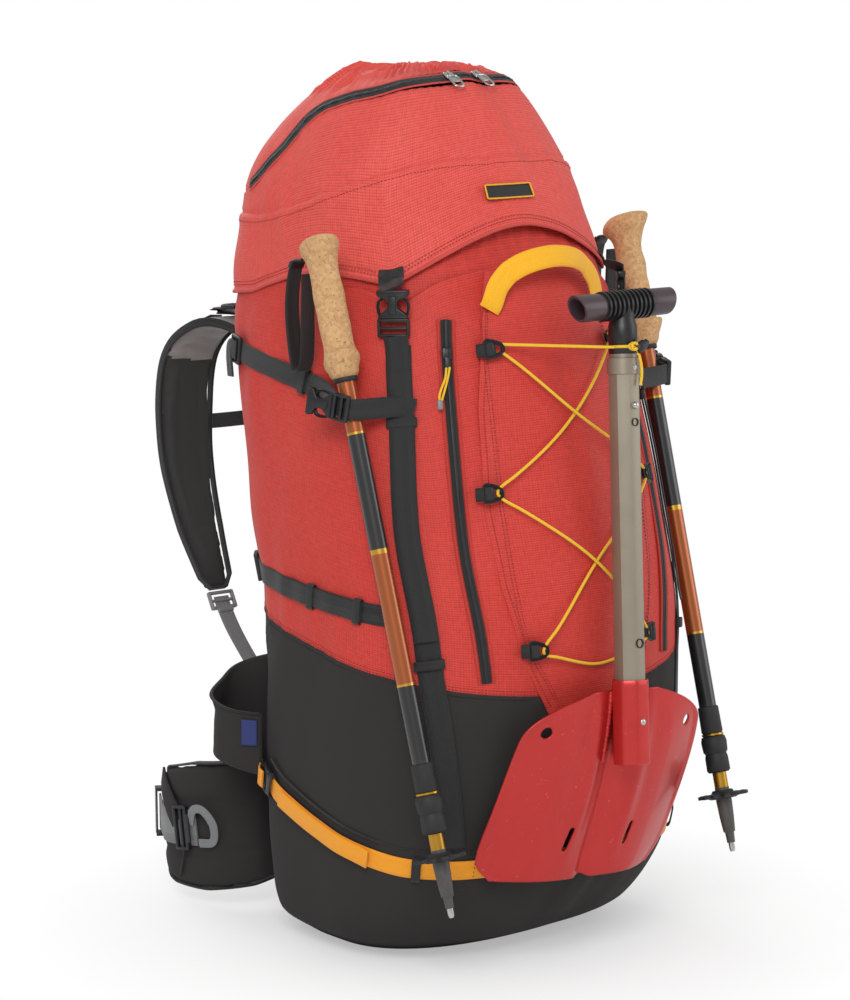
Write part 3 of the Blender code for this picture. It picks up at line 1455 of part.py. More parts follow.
def make_shovel_blade(material):
    maker = bmesh.new()
    rows, columns = 10, 16
    rings = []
    for r in range(rows + 1):
        v = r / rows
        front = [blade_point(-1 + 2 * c / columns, v, BLADE_THICK / 2) for c in range(columns + 1)]
        behind = [blade_point(-1 + 2 * c / columns, v, -BLADE_THICK / 2) for c in range(columns, -1, -1)]
        rings.append(front + behind)
    loft(maker, rings)
    obj = link("shovel_blade", maker, material)
    socket = bmesh.new()
    bore, outer = SHAFT_RADIUS + 0.0006, SHAFT_RADIUS + 0.0030
    turned(socket, SHOVEL_TOP, shovel_point(1), [(SOCKET_START - 0.006, outer), (SOCKET_END, outer),
                                                 (SOCKET_END + 0.012, outer * 0.7)], 16)
    boolean(obj, helper("blade_socket", socket), "UNION")
    across, down, out = shovel_axes()
    cutter = bmesh.new()
    for u, v, size in ((-0.82, 0.20, 0.0055), (0.82, 0.20, 0.0055)):
        middle = blade_point(u, v)
        turned(cutter, middle - out * 0.02, middle + out, [(0, size), (0.04, size)], 14)
    for u, tilt in ((-0.30, -0.25), (0.34, -0.25)):
        middle = blade_point(u, 0.80)
        along = (down + across * tilt).normalized()
        side = along.cross(out)
        box(cutter, middle, [side, along, out], (0.0055, 0.024, 0.040))
    bore_cut = bmesh.new()
    turned(bore_cut, SHOVEL_TOP, shovel_point(1), [(SOCKET_START - 0.02, bore), (SOCKET_END, bore)], 16)
    middle = shovel_point(0.398)
    pin_cut = bmesh.new()
    turned(pin_cut, middle, middle + out, [(0.008, 0.0042), (0.026, 0.0042)], 12)
    boolean(obj, helper("blade_cuts", cutter), "DIFFERENCE")
    boolean(obj, helper("blade_bore", bore_cut), "DIFFERENCE")
    boolean(obj, helper("blade_pin_hole", pin_cut), "DIFFERENCE")
    return obj


# ================================================================== build
def bake_booleans():
    """Applies every Boolean, then removes the shapes that only served them."""
    graph = bpy.context.evaluated_depsgraph_get()
    helpers = [o for o in bpy.data.objects if o.hide_render]
    for obj in [o for o in bpy.data.objects if o.modifiers]:
        mesh = bpy.data.meshes.new_from_object(obj.evaluated_get(graph))
        obj.modifiers.clear()
        obj.data = mesh
        tidy = bmesh.new()
        tidy.from_mesh(mesh)
        bmesh.ops.remove_doubles(tidy, verts=tidy.verts, dist=2e-5)
        bmesh.ops.dissolve_degenerate(tidy, edges=tidy.edges, dist=2e-5)
        tidy.to_mesh(mesh)
        tidy.free()
        mesh.shade_smooth()
        mesh.set_sharp_from_angle(angle=math.radians(40))
    for obj in helpers:
        bpy.data.objects.remove(obj, do_unlink=True)


def arc_centre(first, middle, last):
    """The centre of the circle through three points: a slider's axis of travel passes there."""
    one, two = middle - first, last - first
    normal = one.cross(two)
    reach = two.length_squared * normal.cross(one) + one.length_squared * two.cross(normal)
    return first + reach / (2 * normal.length_squared)


def slider_axes():
    """Points on the arcs that the -X lid slider and the -X front slider follow."""
    lid = [sack_point(t, lid_zip_z(t), 0.004) for t in (LID_SLIDER_TURN, 34.0, 53.0)]
    front = [sack_point(front_zip_turn(z), z, 0.004) for z in (FRONT_SLIDER_Z, 0.540, 0.480)]
    return arc_centre(*lid), arc_centre(*front)


def set_origin(obj, place):
    """Moves an object's origin to place without moving its shape."""
    obj.data.transform(Matrix.Translation(-place))
    obj.location = place


def main():
    clear_scene()
    ripstop = make_material("red_ripstop", (0.55, 0.045, 0.040), 0.75)
    canvas = make_material("black_canvas", (0.022, 0.019, 0.018), 0.85)
    webbing = make_material("black_webbing", (0.018, 0.018, 0.019), 0.7)
    orange = make_material("orange_webbing", (0.95, 0.38, 0.02), 0.65)
    yellow = make_material("yellow_webbing", (0.95, 0.55, 0.02), 0.6)
    grey = make_material("grey_webbing", (0.30, 0.30, 0.31), 0.65)
    plastic = make_material("black_acetal", (0.016, 0.016, 0.018), 0.42)
    mesh_foam = make_material("mesh_covered_foam", (0.035, 0.034, 0.036), 0.9)
    sheet = make_material("white_polyethylene", (0.70, 0.70, 0.68), 0.5)
    steel = make_material("bright_steel", (0.62, 0.62, 0.62), 0.28, 1.0)
    alloy = make_material("bare_alloy", (0.55, 0.55, 0.56), 0.35, 1.0)
    olive = make_material("olive_anodised_alloy", (0.20, 0.18, 0.14), 0.38, 0.9)
    red_alloy = make_material("red_anodised_alloy", (0.50, 0.03, 0.03), 0.35, 0.8)
    copper = make_material("copper_lacquer", (0.40, 0.12, 0.03), 0.30, 0.4)
    cork = make_material("cork", (0.58, 0.35, 0.17), 0.85)

    make_base_boot(canvas)
    make_main_sack(ripstop)
    make_throat_collar(ripstop)
    make_throat_drawcord(webbing)
    make_front_pocket(ripstop)
    make_haul_loop(yellow)
    make_bungee_lacing(yellow)
    make_base_strap(orange)
    make_back_panel(mesh_foam)
    make_lumbar_pad(mesh_foam)
    make_frame_sheet(sheet)
    make_frame_hoop(alloy)
    make_sternum_strap(webbing)

    lid_arc, front_arc = slider_axes()
    lid_parts = [make_lid_skirt(ripstop), make_lid_crown(ripstop), make_lid_floor(ripstop), make_lid_zip(webbing)]
    sliders = []
    for side, word in ((1, "left"), (-1, "right")):
        lid_parts.append(make_lid_buckle("lid_buckle_" + word, side, plastic))
        sliders.append((make_lid_slider("lid_zip_slider_" + word, side, steel), side, lid_arc))
        make_front_zip("front_zip_" + word, side, webbing)
        sliders.append((make_front_slider("front_zip_slider_" + word, side, steel), side, front_arc))
        make_front_strap("front_strap_" + word, side, webbing)
        make_side_strap_upper("side_strap_upper_" + word, side, webbing)
        make_side_strap_lower("side_strap_lower_" + word, side, webbing)
        make_side_pocket("side_pocket_" + word, side, canvas)
        make_shoulder_strap("shoulder_strap_" + word, side, mesh_foam)
        make_load_lifter("load_lifter_" + word, side, webbing)
        make_shoulder_webbing("shoulder_webbing_" + word, side, grey)
        wing = make_hipbelt_wing("hipbelt_wing_" + word, side, canvas)
        webs = make_belt_webbing("belt_webbing_" + word, side, grey)
        for obj in (wing, webs):
            set_origin(obj, WING_HINGE if side > 0 else mirrored(WING_HINGE))
        make_pole_grip("pole_grip_" + word, side, cork)
        make_wrist_strap("wrist_strap_" + word, side, webbing)
        make_pole_shaft("pole_shaft_" + word, side, copper)
        make_pole_lower("pole_lower_" + word, side, plastic)
        make_pole_basket("pole_basket_" + word, side, plastic)
    make_belt_buckle_socket(plastic)
    make_belt_buckle_tongue(plastic)

    make_shovel_shaft(olive)
    make_shovel_handle(plastic)
    make_shovel_blade(red_alloy)
    snap_button("snap_button_handle", 0.323, steel)
    snap_button("snap_button_blade", 0.398, steel)

    bpy.context.view_layer.update()
    bake_booleans()
    for obj in lid_parts:
        set_origin(obj, LID_HINGE)
    for obj, side, arc in sliders:
        set_origin(obj, arc if side > 0 else mirrored(arc))
    for obj in bpy.data.objects:
        if obj.name.startswith(("pole_", "wrist_")):
            set_origin(obj, POLE_TOP if obj.name.endswith("left") else mirrored(POLE_TOP))
        if obj.name.startswith(("shovel_", "snap_")):
            set_origin(obj, SHOVEL_TOP)


main()
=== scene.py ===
"""Looks for a large expedition backpack with two trekking poles and a snow shovel lashed to it.

Every sub-assembly is a class: its sizes are dataclass fields, in metres unless a comment
says otherwise, and its methods build the meshes and dress them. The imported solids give
each piece its place.
"""

from __future__ import annotations

import json
import logging
import math
from dataclasses import dataclass
from enum import Enum
from functools import partial
from typing import Callable, Sequence

import bmesh
import bpy
import numpy as np
from mathutils import Matrix, Vector

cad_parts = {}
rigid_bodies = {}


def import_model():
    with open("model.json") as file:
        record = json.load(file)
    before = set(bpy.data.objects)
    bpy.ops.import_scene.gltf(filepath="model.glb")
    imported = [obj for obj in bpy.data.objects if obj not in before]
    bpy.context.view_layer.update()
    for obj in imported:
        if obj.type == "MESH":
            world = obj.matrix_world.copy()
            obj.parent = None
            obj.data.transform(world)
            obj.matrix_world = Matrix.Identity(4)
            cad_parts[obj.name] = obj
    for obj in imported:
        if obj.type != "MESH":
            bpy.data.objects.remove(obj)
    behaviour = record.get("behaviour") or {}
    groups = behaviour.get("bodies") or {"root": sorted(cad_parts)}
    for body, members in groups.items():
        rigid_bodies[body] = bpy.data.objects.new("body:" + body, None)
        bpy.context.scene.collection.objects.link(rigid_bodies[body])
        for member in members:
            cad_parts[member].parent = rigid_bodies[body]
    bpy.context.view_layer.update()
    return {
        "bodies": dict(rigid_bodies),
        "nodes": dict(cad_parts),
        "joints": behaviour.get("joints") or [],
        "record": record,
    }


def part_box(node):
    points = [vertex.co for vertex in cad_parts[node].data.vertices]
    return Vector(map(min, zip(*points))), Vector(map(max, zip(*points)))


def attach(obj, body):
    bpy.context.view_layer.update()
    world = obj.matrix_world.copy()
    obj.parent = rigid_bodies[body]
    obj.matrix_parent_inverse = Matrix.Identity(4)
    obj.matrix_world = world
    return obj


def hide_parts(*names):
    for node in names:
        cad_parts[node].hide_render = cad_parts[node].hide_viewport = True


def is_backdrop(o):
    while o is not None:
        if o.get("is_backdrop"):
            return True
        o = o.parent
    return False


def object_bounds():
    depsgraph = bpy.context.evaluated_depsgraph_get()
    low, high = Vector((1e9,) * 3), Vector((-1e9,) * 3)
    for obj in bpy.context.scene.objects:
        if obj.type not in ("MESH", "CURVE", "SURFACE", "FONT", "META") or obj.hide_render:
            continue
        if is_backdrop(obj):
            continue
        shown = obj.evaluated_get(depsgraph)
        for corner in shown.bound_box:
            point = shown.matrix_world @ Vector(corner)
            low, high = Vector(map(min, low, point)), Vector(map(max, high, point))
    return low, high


LOG = logging.getLogger("backpack")
TAU = 2.0 * math.pi
MM = 0.001
UP = np.array([0.0, 0.0, 1.0])
FRONT_BACK = np.array([0.0, 1.0, 0.0])

Array = np.ndarray
Mesh = bmesh.types.BMesh
Pair = tuple[float, float]
Triple = tuple[float, float, float]
Place = Callable[[Array, Array], Array]
AddNode = Callable[..., bpy.types.NodeSocket]
Sockets = dict[str, object]


class Side(Enum):
    """Which of two mirrored pieces is meant, and the sign that takes the left one to it."""

    LEFT = 1
    RIGHT = -1

    @property
    def word(self) -> str:
        """The ending that node and body names use."""
        return self.name.lower()


# ------------------------------------------------------------------ finishes
def srgb(code: str) -> tuple[float, float, float, float]:
    """Turns an sRGB hex value into a linear colour.

    Args:
        code: Six hex digits after a hash.

    Returns:
        Linear red, green, blue and an alpha of 1.
    """
    parts = [int(code[i:i + 2], 16) / 255 for i in (1, 3, 5)]
    linear = [p / 12.92 if p <= 0.04045 else ((p + 0.055) / 1.055) ** 2.4 for p in parts]
    return (linear[0], linear[1], linear[2], 1.0)


def feed(tree: bpy.types.NodeTree, node: bpy.types.Node, values: dict[int | str, object]) -> None:
    """Sets a node's inputs, or links those whose value is another node's output.

    Args:
        tree: The tree that holds the node.
        node: The node.
        values: Values or output sockets by input name or index.
    """
    for key, value in values.items():
        if isinstance(value, bpy.types.NodeSocket):
            tree.links.new(value, node.inputs[key])
        else:
            node.inputs[key].default_value = value


def add_node(
    tree: bpy.types.NodeTree, kind: str, *inputs: object, out: int | str = 0, **settings: object
) -> bpy.types.NodeSocket:
    """Adds one shader node with its settings and links.

    Args:
        tree: The material's node tree.
        kind: The node's type name, without its ShaderNode prefix, then its operation or data type if it has one.
        inputs: Values or output sockets in order, or one dict of them by input name or index.
        out: Which output is wanted.
        settings: Properties of the node itself.

    Returns:
        The wanted output; its node is that output's node.
    """
    kind, _, choice = kind.partition(" ")
    made = tree.nodes.new("ShaderNode" + kind)
    if choice:
        setattr(made, "data_type" if kind == "Mix" else "operation", choice)
    for key, value in settings.items():
        setattr(made, key, value)
    named = inputs and isinstance(inputs[0], dict)
    feed(tree, made, inputs[0] if named else dict(enumerate(inputs)))
    return made.outputs[out]


@dataclass(frozen=True)
class Finish:
    """A surface finish: what it is, its colour and how it takes the light."""

    name: str
    colour: str
    roughness: float = 0.5
    metallic: float = 0.0

    def material(self) -> bpy.types.Material:
        """Finds the finish's material, or makes it the first time it is asked for.

        Returns:
            The material.
        """
        known = bpy.data.materials.get(self.name)
        if known:
            return known
        made = bpy.data.materials.new(self.name)
        made.use_nodes = True
        made.diffuse_color = srgb(self.colour)
        tree = made.node_tree
        plain = {"Base Color": srgb(self.colour), "Roughness": self.roughness, "Metallic": self.metallic}
        feed(tree, tree.nodes["Principled BSDF"], plain | self.dress(partial(add_node, tree)))
        return made

    def dress(self, add: AddNode) -> Sockets:
        """Gives what the finish's own pattern puts on the shader; the plain finish has none."""
        return {}


@dataclass(frozen=True)
class WovenFabric(Finish):
    """A coated nylon cloth. Its thread grid makes the face look evenly speckled, with painted shade in the hollows
    between threads.
    """

    dark: str = "#000000"
    light: str = "#ffffff"
    thread: float = 1.5 * MM
    cell: float = 4.4 * MM
    speckle: float = 0.9
    depth: float = 0.25 * MM
    sheen: float = 0.1

    def dress(self, add: AddNode) -> Sockets:
        """Adds threads with painted shade in their hollows, the heavier ripstop grid, soft fading and tiny creases.

        Args:
            add: Adds a node to the finish's tree.

        Returns:
            What the shader's sockets get.
        """
        uv = add("TexCoord", out="UV")
        place = add("SeparateXYZ", uv).node.outputs
        warp, weft = (
            add("Math MULTIPLY_ADD", add("Math SINE", add("Math MULTIPLY", place[i], TAU / pitch)), 0.5, 0.5)
            for i, pitch in enumerate((self.thread * 1.25, self.thread))
        )
        weave = add("Math MINIMUM", add("Math ADD", warp, 0.18), weft)
        wrapped = [add("Math PINGPONG", place[i], self.cell / 2) for i in (0, 1)]
        ripstop = add("Math MAXIMUM", *(add("Math LESS_THAN", line, self.thread * 0.22) for line in wrapped))
        fade = add("TexNoise", {"Vector": uv, "Scale": 7.0, "Detail": 3.0, "Roughness": 0.6})
        slub = add("TexNoise", {"Vector": uv, "Scale": 0.35 / self.thread, "Detail": 3.0, "Roughness": 0.7})
        crease = add("TexNoise", {"Vector": uv, "Scale": 28.0, "Detail": 4.0})
        dark = srgb(self.dark)
        faded = {0: add("Math MULTIPLY", fade, 0.75), 6: srgb(self.colour), 7: srgb(self.light)}
        # Painted shade: the hollows between threads are darkened towards the dark colour.
        hollow = add("Math MULTIPLY", add("Math MULTIPLY_ADD", weave, -1.0, 1.0), slub)
        tone = add("Mix RGBA", faded, out=2)
        tone = add("Mix RGBA", {0: add("Math MULTIPLY", hollow, self.speckle), 6: tone, 7: dark}, out=2)
        tone = add("Mix RGBA", {0: add("Math MULTIPLY", ripstop, 0.10), 6: tone, 7: dark}, out=2)
        height = add("Math ADD", add("Math MULTIPLY", weave, 0.45), add("Math MULTIPLY", crease, 2.2))
        height = add("Math MULTIPLY_ADD", ripstop, 0.35, height)
        return {
            "Base Color": tone, "Sheen Weight": self.sheen, "Sheen Roughness": 0.45, "Specular IOR Level": 0.35,
            "Normal": add("Bump", {"Height": height, "Distance": self.depth, "Strength": 1.0}),
        }


@dataclass(frozen=True)
class WovenTape(Finish):
    """Nylon webbing. Its chevron ribs and denser edges catch short streaks of light."""

    shade: str = "#000000"
    rib: float = 1.7 * MM
    width: float = 25 * MM
    depth: float = 0.35 * MM
    edge: float = 1.3 * MM

    def dress(self, add: AddNode) -> Sockets:
        """Adds the chevron weave with painted shade between its ribs, read across (x) and along (y) the tape in metres.

        Args:
            add: Adds a node to the finish's tree.

        Returns:
            What the shader's sockets get.
        """
        uv = add("TexCoord", out="UV")
        place = add("SeparateXYZ", uv).node.outputs
        across = add("Math ABSOLUTE", place[0])
        slant = add("Math ADD", place[1], add("Math PINGPONG", across, self.width / 4))
        ribs = add("Math SINE", add("Math MULTIPLY", slant, TAU / self.rib))
        cords = add("Math SINE", add("Math MULTIPLY", across, TAU / (self.rib * 1.1)))
        height = add("Math MULTIPLY_ADD", ribs, 0.32, add("Math MULTIPLY_ADD", cords, 0.18, 0.5))
        edge = add("Math GREATER_THAN", across, self.width / 2 - self.edge)
        fade = add("TexNoise", {"Vector": uv, "Scale": 60.0, "Detail": 3.0})
        worn = add("Math MULTIPLY", fade, 0.18)
        # Painted shade: the hollows between ribs are darkened towards the shade colour, with random worn patches added.
        share = add("Math MULTIPLY_ADD", add("Math SUBTRACT", 1.0, height), 0.42, worn)
        tone = add("Mix RGBA", {0: share, 6: srgb(self.colour), 7: srgb(self.shade)}, out=2)
        tone = add("Mix RGBA", {0: add("Math MULTIPLY", edge, 0.22), 6: tone, 7: srgb(self.shade)}, out=2)
        return {
            "Base Color": tone, "Sheen Weight": 0.12,
            "Normal": add("Bump", {"Height": height, "Distance": self.depth, "Strength": 1.0}),
        }


@dataclass(frozen=True)
class SpacerMesh(Finish):
    """Three-dimensional spacer mesh. Small round holes are darkened with painted shade."""

    # Near-black colour for the painted shade in the holes.
    below: str = "#0c0c0d"
    pitch: float = 3.0 * MM

    def dress(self, add: AddNode) -> Sockets:
        """Adds staggered holes, darkened with painted shade, over a knitted face.

        Args:
            add: Adds a node to the finish's tree.

        Returns:
            What the shader's sockets get.
        """
        uv = add("TexCoord", out="UV")
        cells = {"Vector": uv, "Scale": 1 / self.pitch, "Randomness": 0.12}
        holes = add("TexVoronoi", cells, out="Distance", voronoi_dimensions="2D")
        knit = add("TexNoise", {"Vector": uv, "Scale": 900.0, "Detail": 2.0})
        below = srgb(self.below)
        tone = add("Mix RGBA", {0: add("Math MULTIPLY", knit, 0.5), 6: srgb(self.colour), 7: below}, out=2)
        # Painted shade: each hole is filled with the near-black colour.
        tone = add("Mix RGBA", {0: add("Math LESS_THAN", holes, 0.27), 6: tone, 7: below}, out=2)
        height = add("Math MINIMUM", holes, 0.4)
        return {
            "Base Color": tone, "Sheen Weight": 0.2,
            "Normal": add("Bump", {"Height": height, "Distance": 0.9 * MM, "Strength": 1.0}),
        }


@dataclass(frozen=True)
class MouldedPlastic(Finish):
    """Injection-moulded plastic. A spark-eroded mould leaves a fine even grain with dull glints."""

    grain: float = 0.9 * MM
    worn: str = "#55565a"

    def dress(self, add: AddNode) -> Sockets:
        """Adds grain and a little rubbed greyness.

        Args:
            add: Adds a node to the finish's tree.

        Returns:
            What the shader's sockets get.
        """
        at = add("TexCoord", out="Object")
        grain = add("TexNoise", {"Vector": at, "Scale": 1 / self.grain, "Detail": 2.0})
        rub = add("TexNoise", {"Vector": at, "Scale": 85.0, "Detail": 4.0, "Roughness": 0.7})
        share = add("Math MULTIPLY", add("Math POWER", rub, 4.0), 0.55)
        return {
            "Base Color": add("Mix RGBA", {0: share, 6: srgb(self.colour), 7: srgb(self.worn)}, out=2),
            "Roughness": add("Math MULTIPLY_ADD", rub, 0.22, self.roughness - 0.11),
            "Normal": add("Bump", {"Height": grain, "Distance": 0.06 * MM, "Strength": 1.0}),
        }


@dataclass(frozen=True)
class SatinMetal(Finish):
    """Anodised or bare aluminium, or steel. Fine drawing marks blur the reflections one way."""

    scratch: str = "#e6e6e6"
    amount: float = 0.15
    stretch: Triple = (60.0, 60.0, 900.0)
    coat: float = 0.0

    def dress(self, add: AddNode) -> Sockets:
        """Adds drawing marks, a cloudy gloss and a few handling scratches.

        Args:
            add: Adds a node to the finish's tree.

        Returns:
            What the shader's sockets get.
        """
        at = add("TexCoord", out="Object")
        turned = add("Mapping", {"Vector": at, "Scale": self.stretch, "Rotation": (0.0, 0.06, 0.04)})
        marks = add("TexNoise", {"Vector": turned, "Scale": 1.0, "Detail": 3.0})
        cloud = add("TexNoise", {"Vector": at, "Scale": 26.0, "Detail": 4.0, "Roughness": 0.65})
        nicks = {"Vector": at, "Scale": 120.0, "Detail": 5.0, "Distortion": 2.5, "Roughness": 0.75}
        worn = add("Math MULTIPLY", add("Math GREATER_THAN", add("TexNoise", nicks), 0.66), self.amount)
        shade = add("Math MULTIPLY_ADD", cloud, -0.16, 0.16)
        tone = add("Mix RGBA", {0: shade, 6: srgb(self.colour), 7: srgb("#000000")}, out=2)
        return {
            "Base Color": add("Mix RGBA", {0: worn, 6: tone, 7: srgb(self.scratch)}, out=2),
            "Roughness": add("Math MULTIPLY_ADD", cloud, 0.20, self.roughness - 0.10), "Coat Weight": self.coat,
            "Normal": add("Bump", {"Height": marks, "Distance": 0.05 * MM, "Strength": 1.0}),
        }


@dataclass(frozen=True)
class BandedLacquer(Finish):
    """Lacquered pole tube, sprayed in bands. The clear coat gives long narrow highlights."""

    bands: tuple[tuple[float, str, float], ...] = ()
    length: float = 0.65

    def dress(self, add: AddNode) -> Sockets:
        """Adds the colour bands, read along the tube (y of its UV map) in metres.

        Args:
            add: Adds a node to the finish's tree.

        Returns:
            What the shader's sockets get.
        """
        uv = add("TexCoord", out="UV")
        along = add("Math DIVIDE", add("SeparateXYZ", uv, out=1), self.length)
        fleck = add("TexNoise", {"Vector": uv, "Scale": 240.0, "Detail": 3.0})
        looks: Sockets = {
            "Coat Weight": 0.6, "Coat Roughness": 0.12,
            "Roughness": add("Math MULTIPLY_ADD", fleck, 0.16, self.roughness - 0.08),
        }
        for socket in ("Base Color", "Metallic"):
            looks[socket] = add("ValToRGB", along)
            ramp = looks[socket].node.color_ramp
            ramp.interpolation = "CONSTANT"
            for i, (start, code, metal) in enumerate(self.bands):
                stop = ramp.elements[i] if i < 2 else ramp.elements.new(start / self.length)
                stop.position = start / self.length
                stop.color = srgb(code) if socket == "Base Color" else (metal, metal, metal, 1.0)
        return looks


@dataclass(frozen=True)
class PressedCork(Finish):
    """Ground cork pressed with binder. Dark flecks and pits break up a warm matt tan."""

    fleck: str = "#5b371c"
    pale: str = "#e0b888"

    def dress(self, add: AddNode) -> Sockets:
        """Adds granules 2 to 4 mm across and scattered dark pits.

        Args:
            add: Adds a node to the finish's tree.

        Returns:
            What the shader's sockets get.
        """
        at = add("TexCoord", out="Object")
        grains = add("TexVoronoi", {"Vector": at, "Scale": 330.0, "Randomness": 1.0}).node.outputs
        pits = add("TexNoise", {"Vector": at, "Scale": 430.0, "Detail": 3.0, "Roughness": 0.7})
        each = add("Math MULTIPLY", add("SeparateColor", grains["Color"]), 0.6)
        tone = add("Mix RGBA", {0: each, 6: srgb(self.colour), 7: srgb(self.pale)}, out=2)
        dark = add("Math MULTIPLY", add("Math GREATER_THAN", pits, 0.62), 0.5)
        height = add("Math SUBTRACT", grains["Distance"], add("Math MULTIPLY", dark, 0.8))
        return {
            "Base Color": add("Mix RGBA", {0: dark, 6: tone, 7: srgb(self.fleck)}, out=2),
            "Normal": add("Bump", {"Height": height, "Distance": 0.22 * MM, "Strength": 1.0}),
        }


@dataclass(frozen=True)
class BraidedCord(Finish):
    """Cord in a braided sleeve. Crossing strands make small diamonds along it, with painted shade between them."""

    # Colour of the painted shade in the braid's hollows.
    tracer: str = "#c88408"
    strand: float = 1.9 * MM
    depth: float = 0.3 * MM

    def dress(self, add: AddNode) -> Sockets:
        """Adds the braid and painted shade in its hollows; x of the UV map goes once round the cord, y along it in
        metres.

        Args:
            add: Adds a node to the finish's tree.

        Returns:
            What the shader's sockets get.
        """
        place = add("SeparateXYZ", add("TexCoord", out="UV")).node.outputs
        along = add("Math MULTIPLY", place[1], TAU / self.strand)
        around = add("Math MULTIPLY", place[0], TAU * 4)
        one, two = (add("Math SINE", add(f"Math {way}", along, around)) for way in ("ADD", "SUBTRACT"))
        braid = add("Math MULTIPLY_ADD", add("Math MULTIPLY", one, two), 0.5, 0.5)
        # Painted shade: the hollows between strands are darkened towards the braid's shade colour.
        share = add("Math MULTIPLY", add("Math SUBTRACT", 1.0, braid), 0.45)
        return {
            "Base Color": add("Mix RGBA", {0: share, 6: srgb(self.colour), 7: srgb(self.tracer)}, out=2),
            "Sheen Weight": 0.15,
            "Normal": add("Bump", {"Height": braid, "Distance": self.depth, "Strength": 1.0}),
        }


# Coated ripstop nylon, the face cloth of sack and pockets: an even red with painted shade in the hollows between its
# threads.
RED_RIPSTOP = WovenFabric(
    "red_ripstop_nylon", "#d83a31", 0.62, dark="#7c1a18", light="#ee5347", thread=2.2 * MM, sheen=0.05
)
# The same cloth on the lid, painted a little paler and pinker as painted light, because the lid's upturned face catches
# more light.
LIT_LID_RIPSTOP = WovenFabric(
    "red_ripstop_nylon_lid", "#ec4c44", 0.62, dark="#8c2320", light="#ff766a", thread=2.2 * MM, sheen=0.05
)
# Heavy canvas: matt, close and slightly dusty, with no ripstop grid to speak of.
BLACK_CANVAS = WovenFabric(
    "black_canvas", "#171413", 0.82, dark="#080707", light="#242120", thread=1.6 * MM, cell=40 * MM, sheen=0.10
)
# Lining cloth of the lid's floor: thin, dark and smooth.
DARK_LINING = WovenFabric(
    "dark_lining_cloth", "#3a1413", 0.55, dark="#1c0a0a", light="#5b2220", thread=1.2 * MM, depth=0.12 * MM
)
# Coated grey cloth over the heads of the shoulder straps: smooth, with a silvery face.
SILVER_PACKCLOTH = WovenFabric(
    "silver_grey_packcloth", "#8e8c8a", 0.48, dark="#6a6867", light="#a9a7a5", thread=1.0 * MM, depth=0.08 * MM
)
# Nylon webbings: ribbed, a little glossy, with painted shade between the ribs, each darker along its woven edges.
BLACK_WEBBING = WovenTape("black_nylon_webbing", "#1d1d1e", 0.62, shade="#09090a")
ORANGE_WEBBING = WovenTape("orange_nylon_webbing", "#ffae10", 0.60, shade="#ee8200", width=20 * MM)
YELLOW_WEBBING = WovenTape("yellow_nylon_webbing", "#ffc404", 0.60, shade="#f29200", width=22 * MM)
GREY_WEBBING = WovenTape("grey_nylon_webbing", "#8e8f90", 0.62, shade="#46474a", width=20 * MM)
# Narrow binding tape: finer ribs, and duller than webbing.
BLACK_BINDING = WovenTape("black_binding_tape", "#1c1c1e", 0.66, shade="#060606", rib=1.1 * MM, width=10 * MM)
# Sewing threads and a small woven tape: too fine to show a pattern, with a soft low gloss.
RED_THREAD = Finish("red_bonded_thread", "#8f2624", 0.55)
DARK_THREAD = Finish("black_bonded_thread", "#1b1a1a", 0.50)
YELLOW_THREAD = Finish("yellow_embroidery_thread", "#e6a81e", 0.50)
NAVY_TAPE = Finish("navy_woven_tape", "#26336b", 0.70)
# Spacer mesh over foam: a soft dark grey full of small holes darkened with painted shade.
MESH_FOAM = SpacerMesh("mesh_covered_foam", "#242427", 0.80)
# Buckles and sliders in acetal: near black or mid grey, satin, rubbed paler in scattered patches.
BLACK_ACETAL = MouldedPlastic("black_moulded_acetal", "#17171a", 0.40)
GREY_ACETAL = MouldedPlastic("grey_moulded_acetal", "#7b7c7f", 0.42, worn="#c2c4c6")
# Rubber and nylon mouldings of the poles and the shovel: black and dull, black and ribbed, or a dark plum brown.
BLACK_RUBBER = MouldedPlastic("black_moulded_rubber", "#1d1d1f", 0.62)
GRIP_RUBBER = MouldedPlastic("black_ribbed_grip_rubber", "#141315", 0.36)
PLUM_NYLON = MouldedPlastic("plum_brown_moulded_nylon", "#42343a", 0.34, worn="#7d6a70")
GREY_SHEATH = MouldedPlastic("grey_polyamide_sheath", "#474443", 0.50, worn="#8c8d8e")
# The sheet that stiffens the back: milky white and waxy.
WHITE_SHEET = MouldedPlastic("white_polyethylene_sheet", "#d9dadb", 0.45, worn="#a9abad")
# Nickel plate on zip pulls, rivets and snap buttons: bright and nearly clean.
BRIGHT_STEEL = SatinMetal("bright_nickel_plate", "#c9c9c6", 0.28, 1.0, amount=0.05)
# Drawn aluminium, bare on the frame hoop and anodised on the shovel: long fine marks, in a muted or a deep colour.
BARE_ALLOY = SatinMetal("bare_drawn_aluminium", "#b5b6b5", 0.36, 1.0)
OLIVE_ALLOY = SatinMetal("olive_grey_anodised_aluminium", "#9c9282", 0.40, 0.65, scratch="#c8c4ba", amount=0.10)
RED_ALLOY = SatinMetal(
    "red_anodised_aluminium", "#c8322f", 0.36, 0.45,
    scratch="#f2a7a1", amount=0.35, stretch=(30.0, 30.0, 420.0), coat=0.15,
)
# Lacquered brass-coloured metal on the poles: a warm, narrow highlight.
GOLD_RING = SatinMetal("gold_lacquered_ring", "#d2a03c", 0.30, 1.0)
GOLD_TUBE = SatinMetal("gold_lacquered_tube", "#c7963a", 0.32, 0.9)
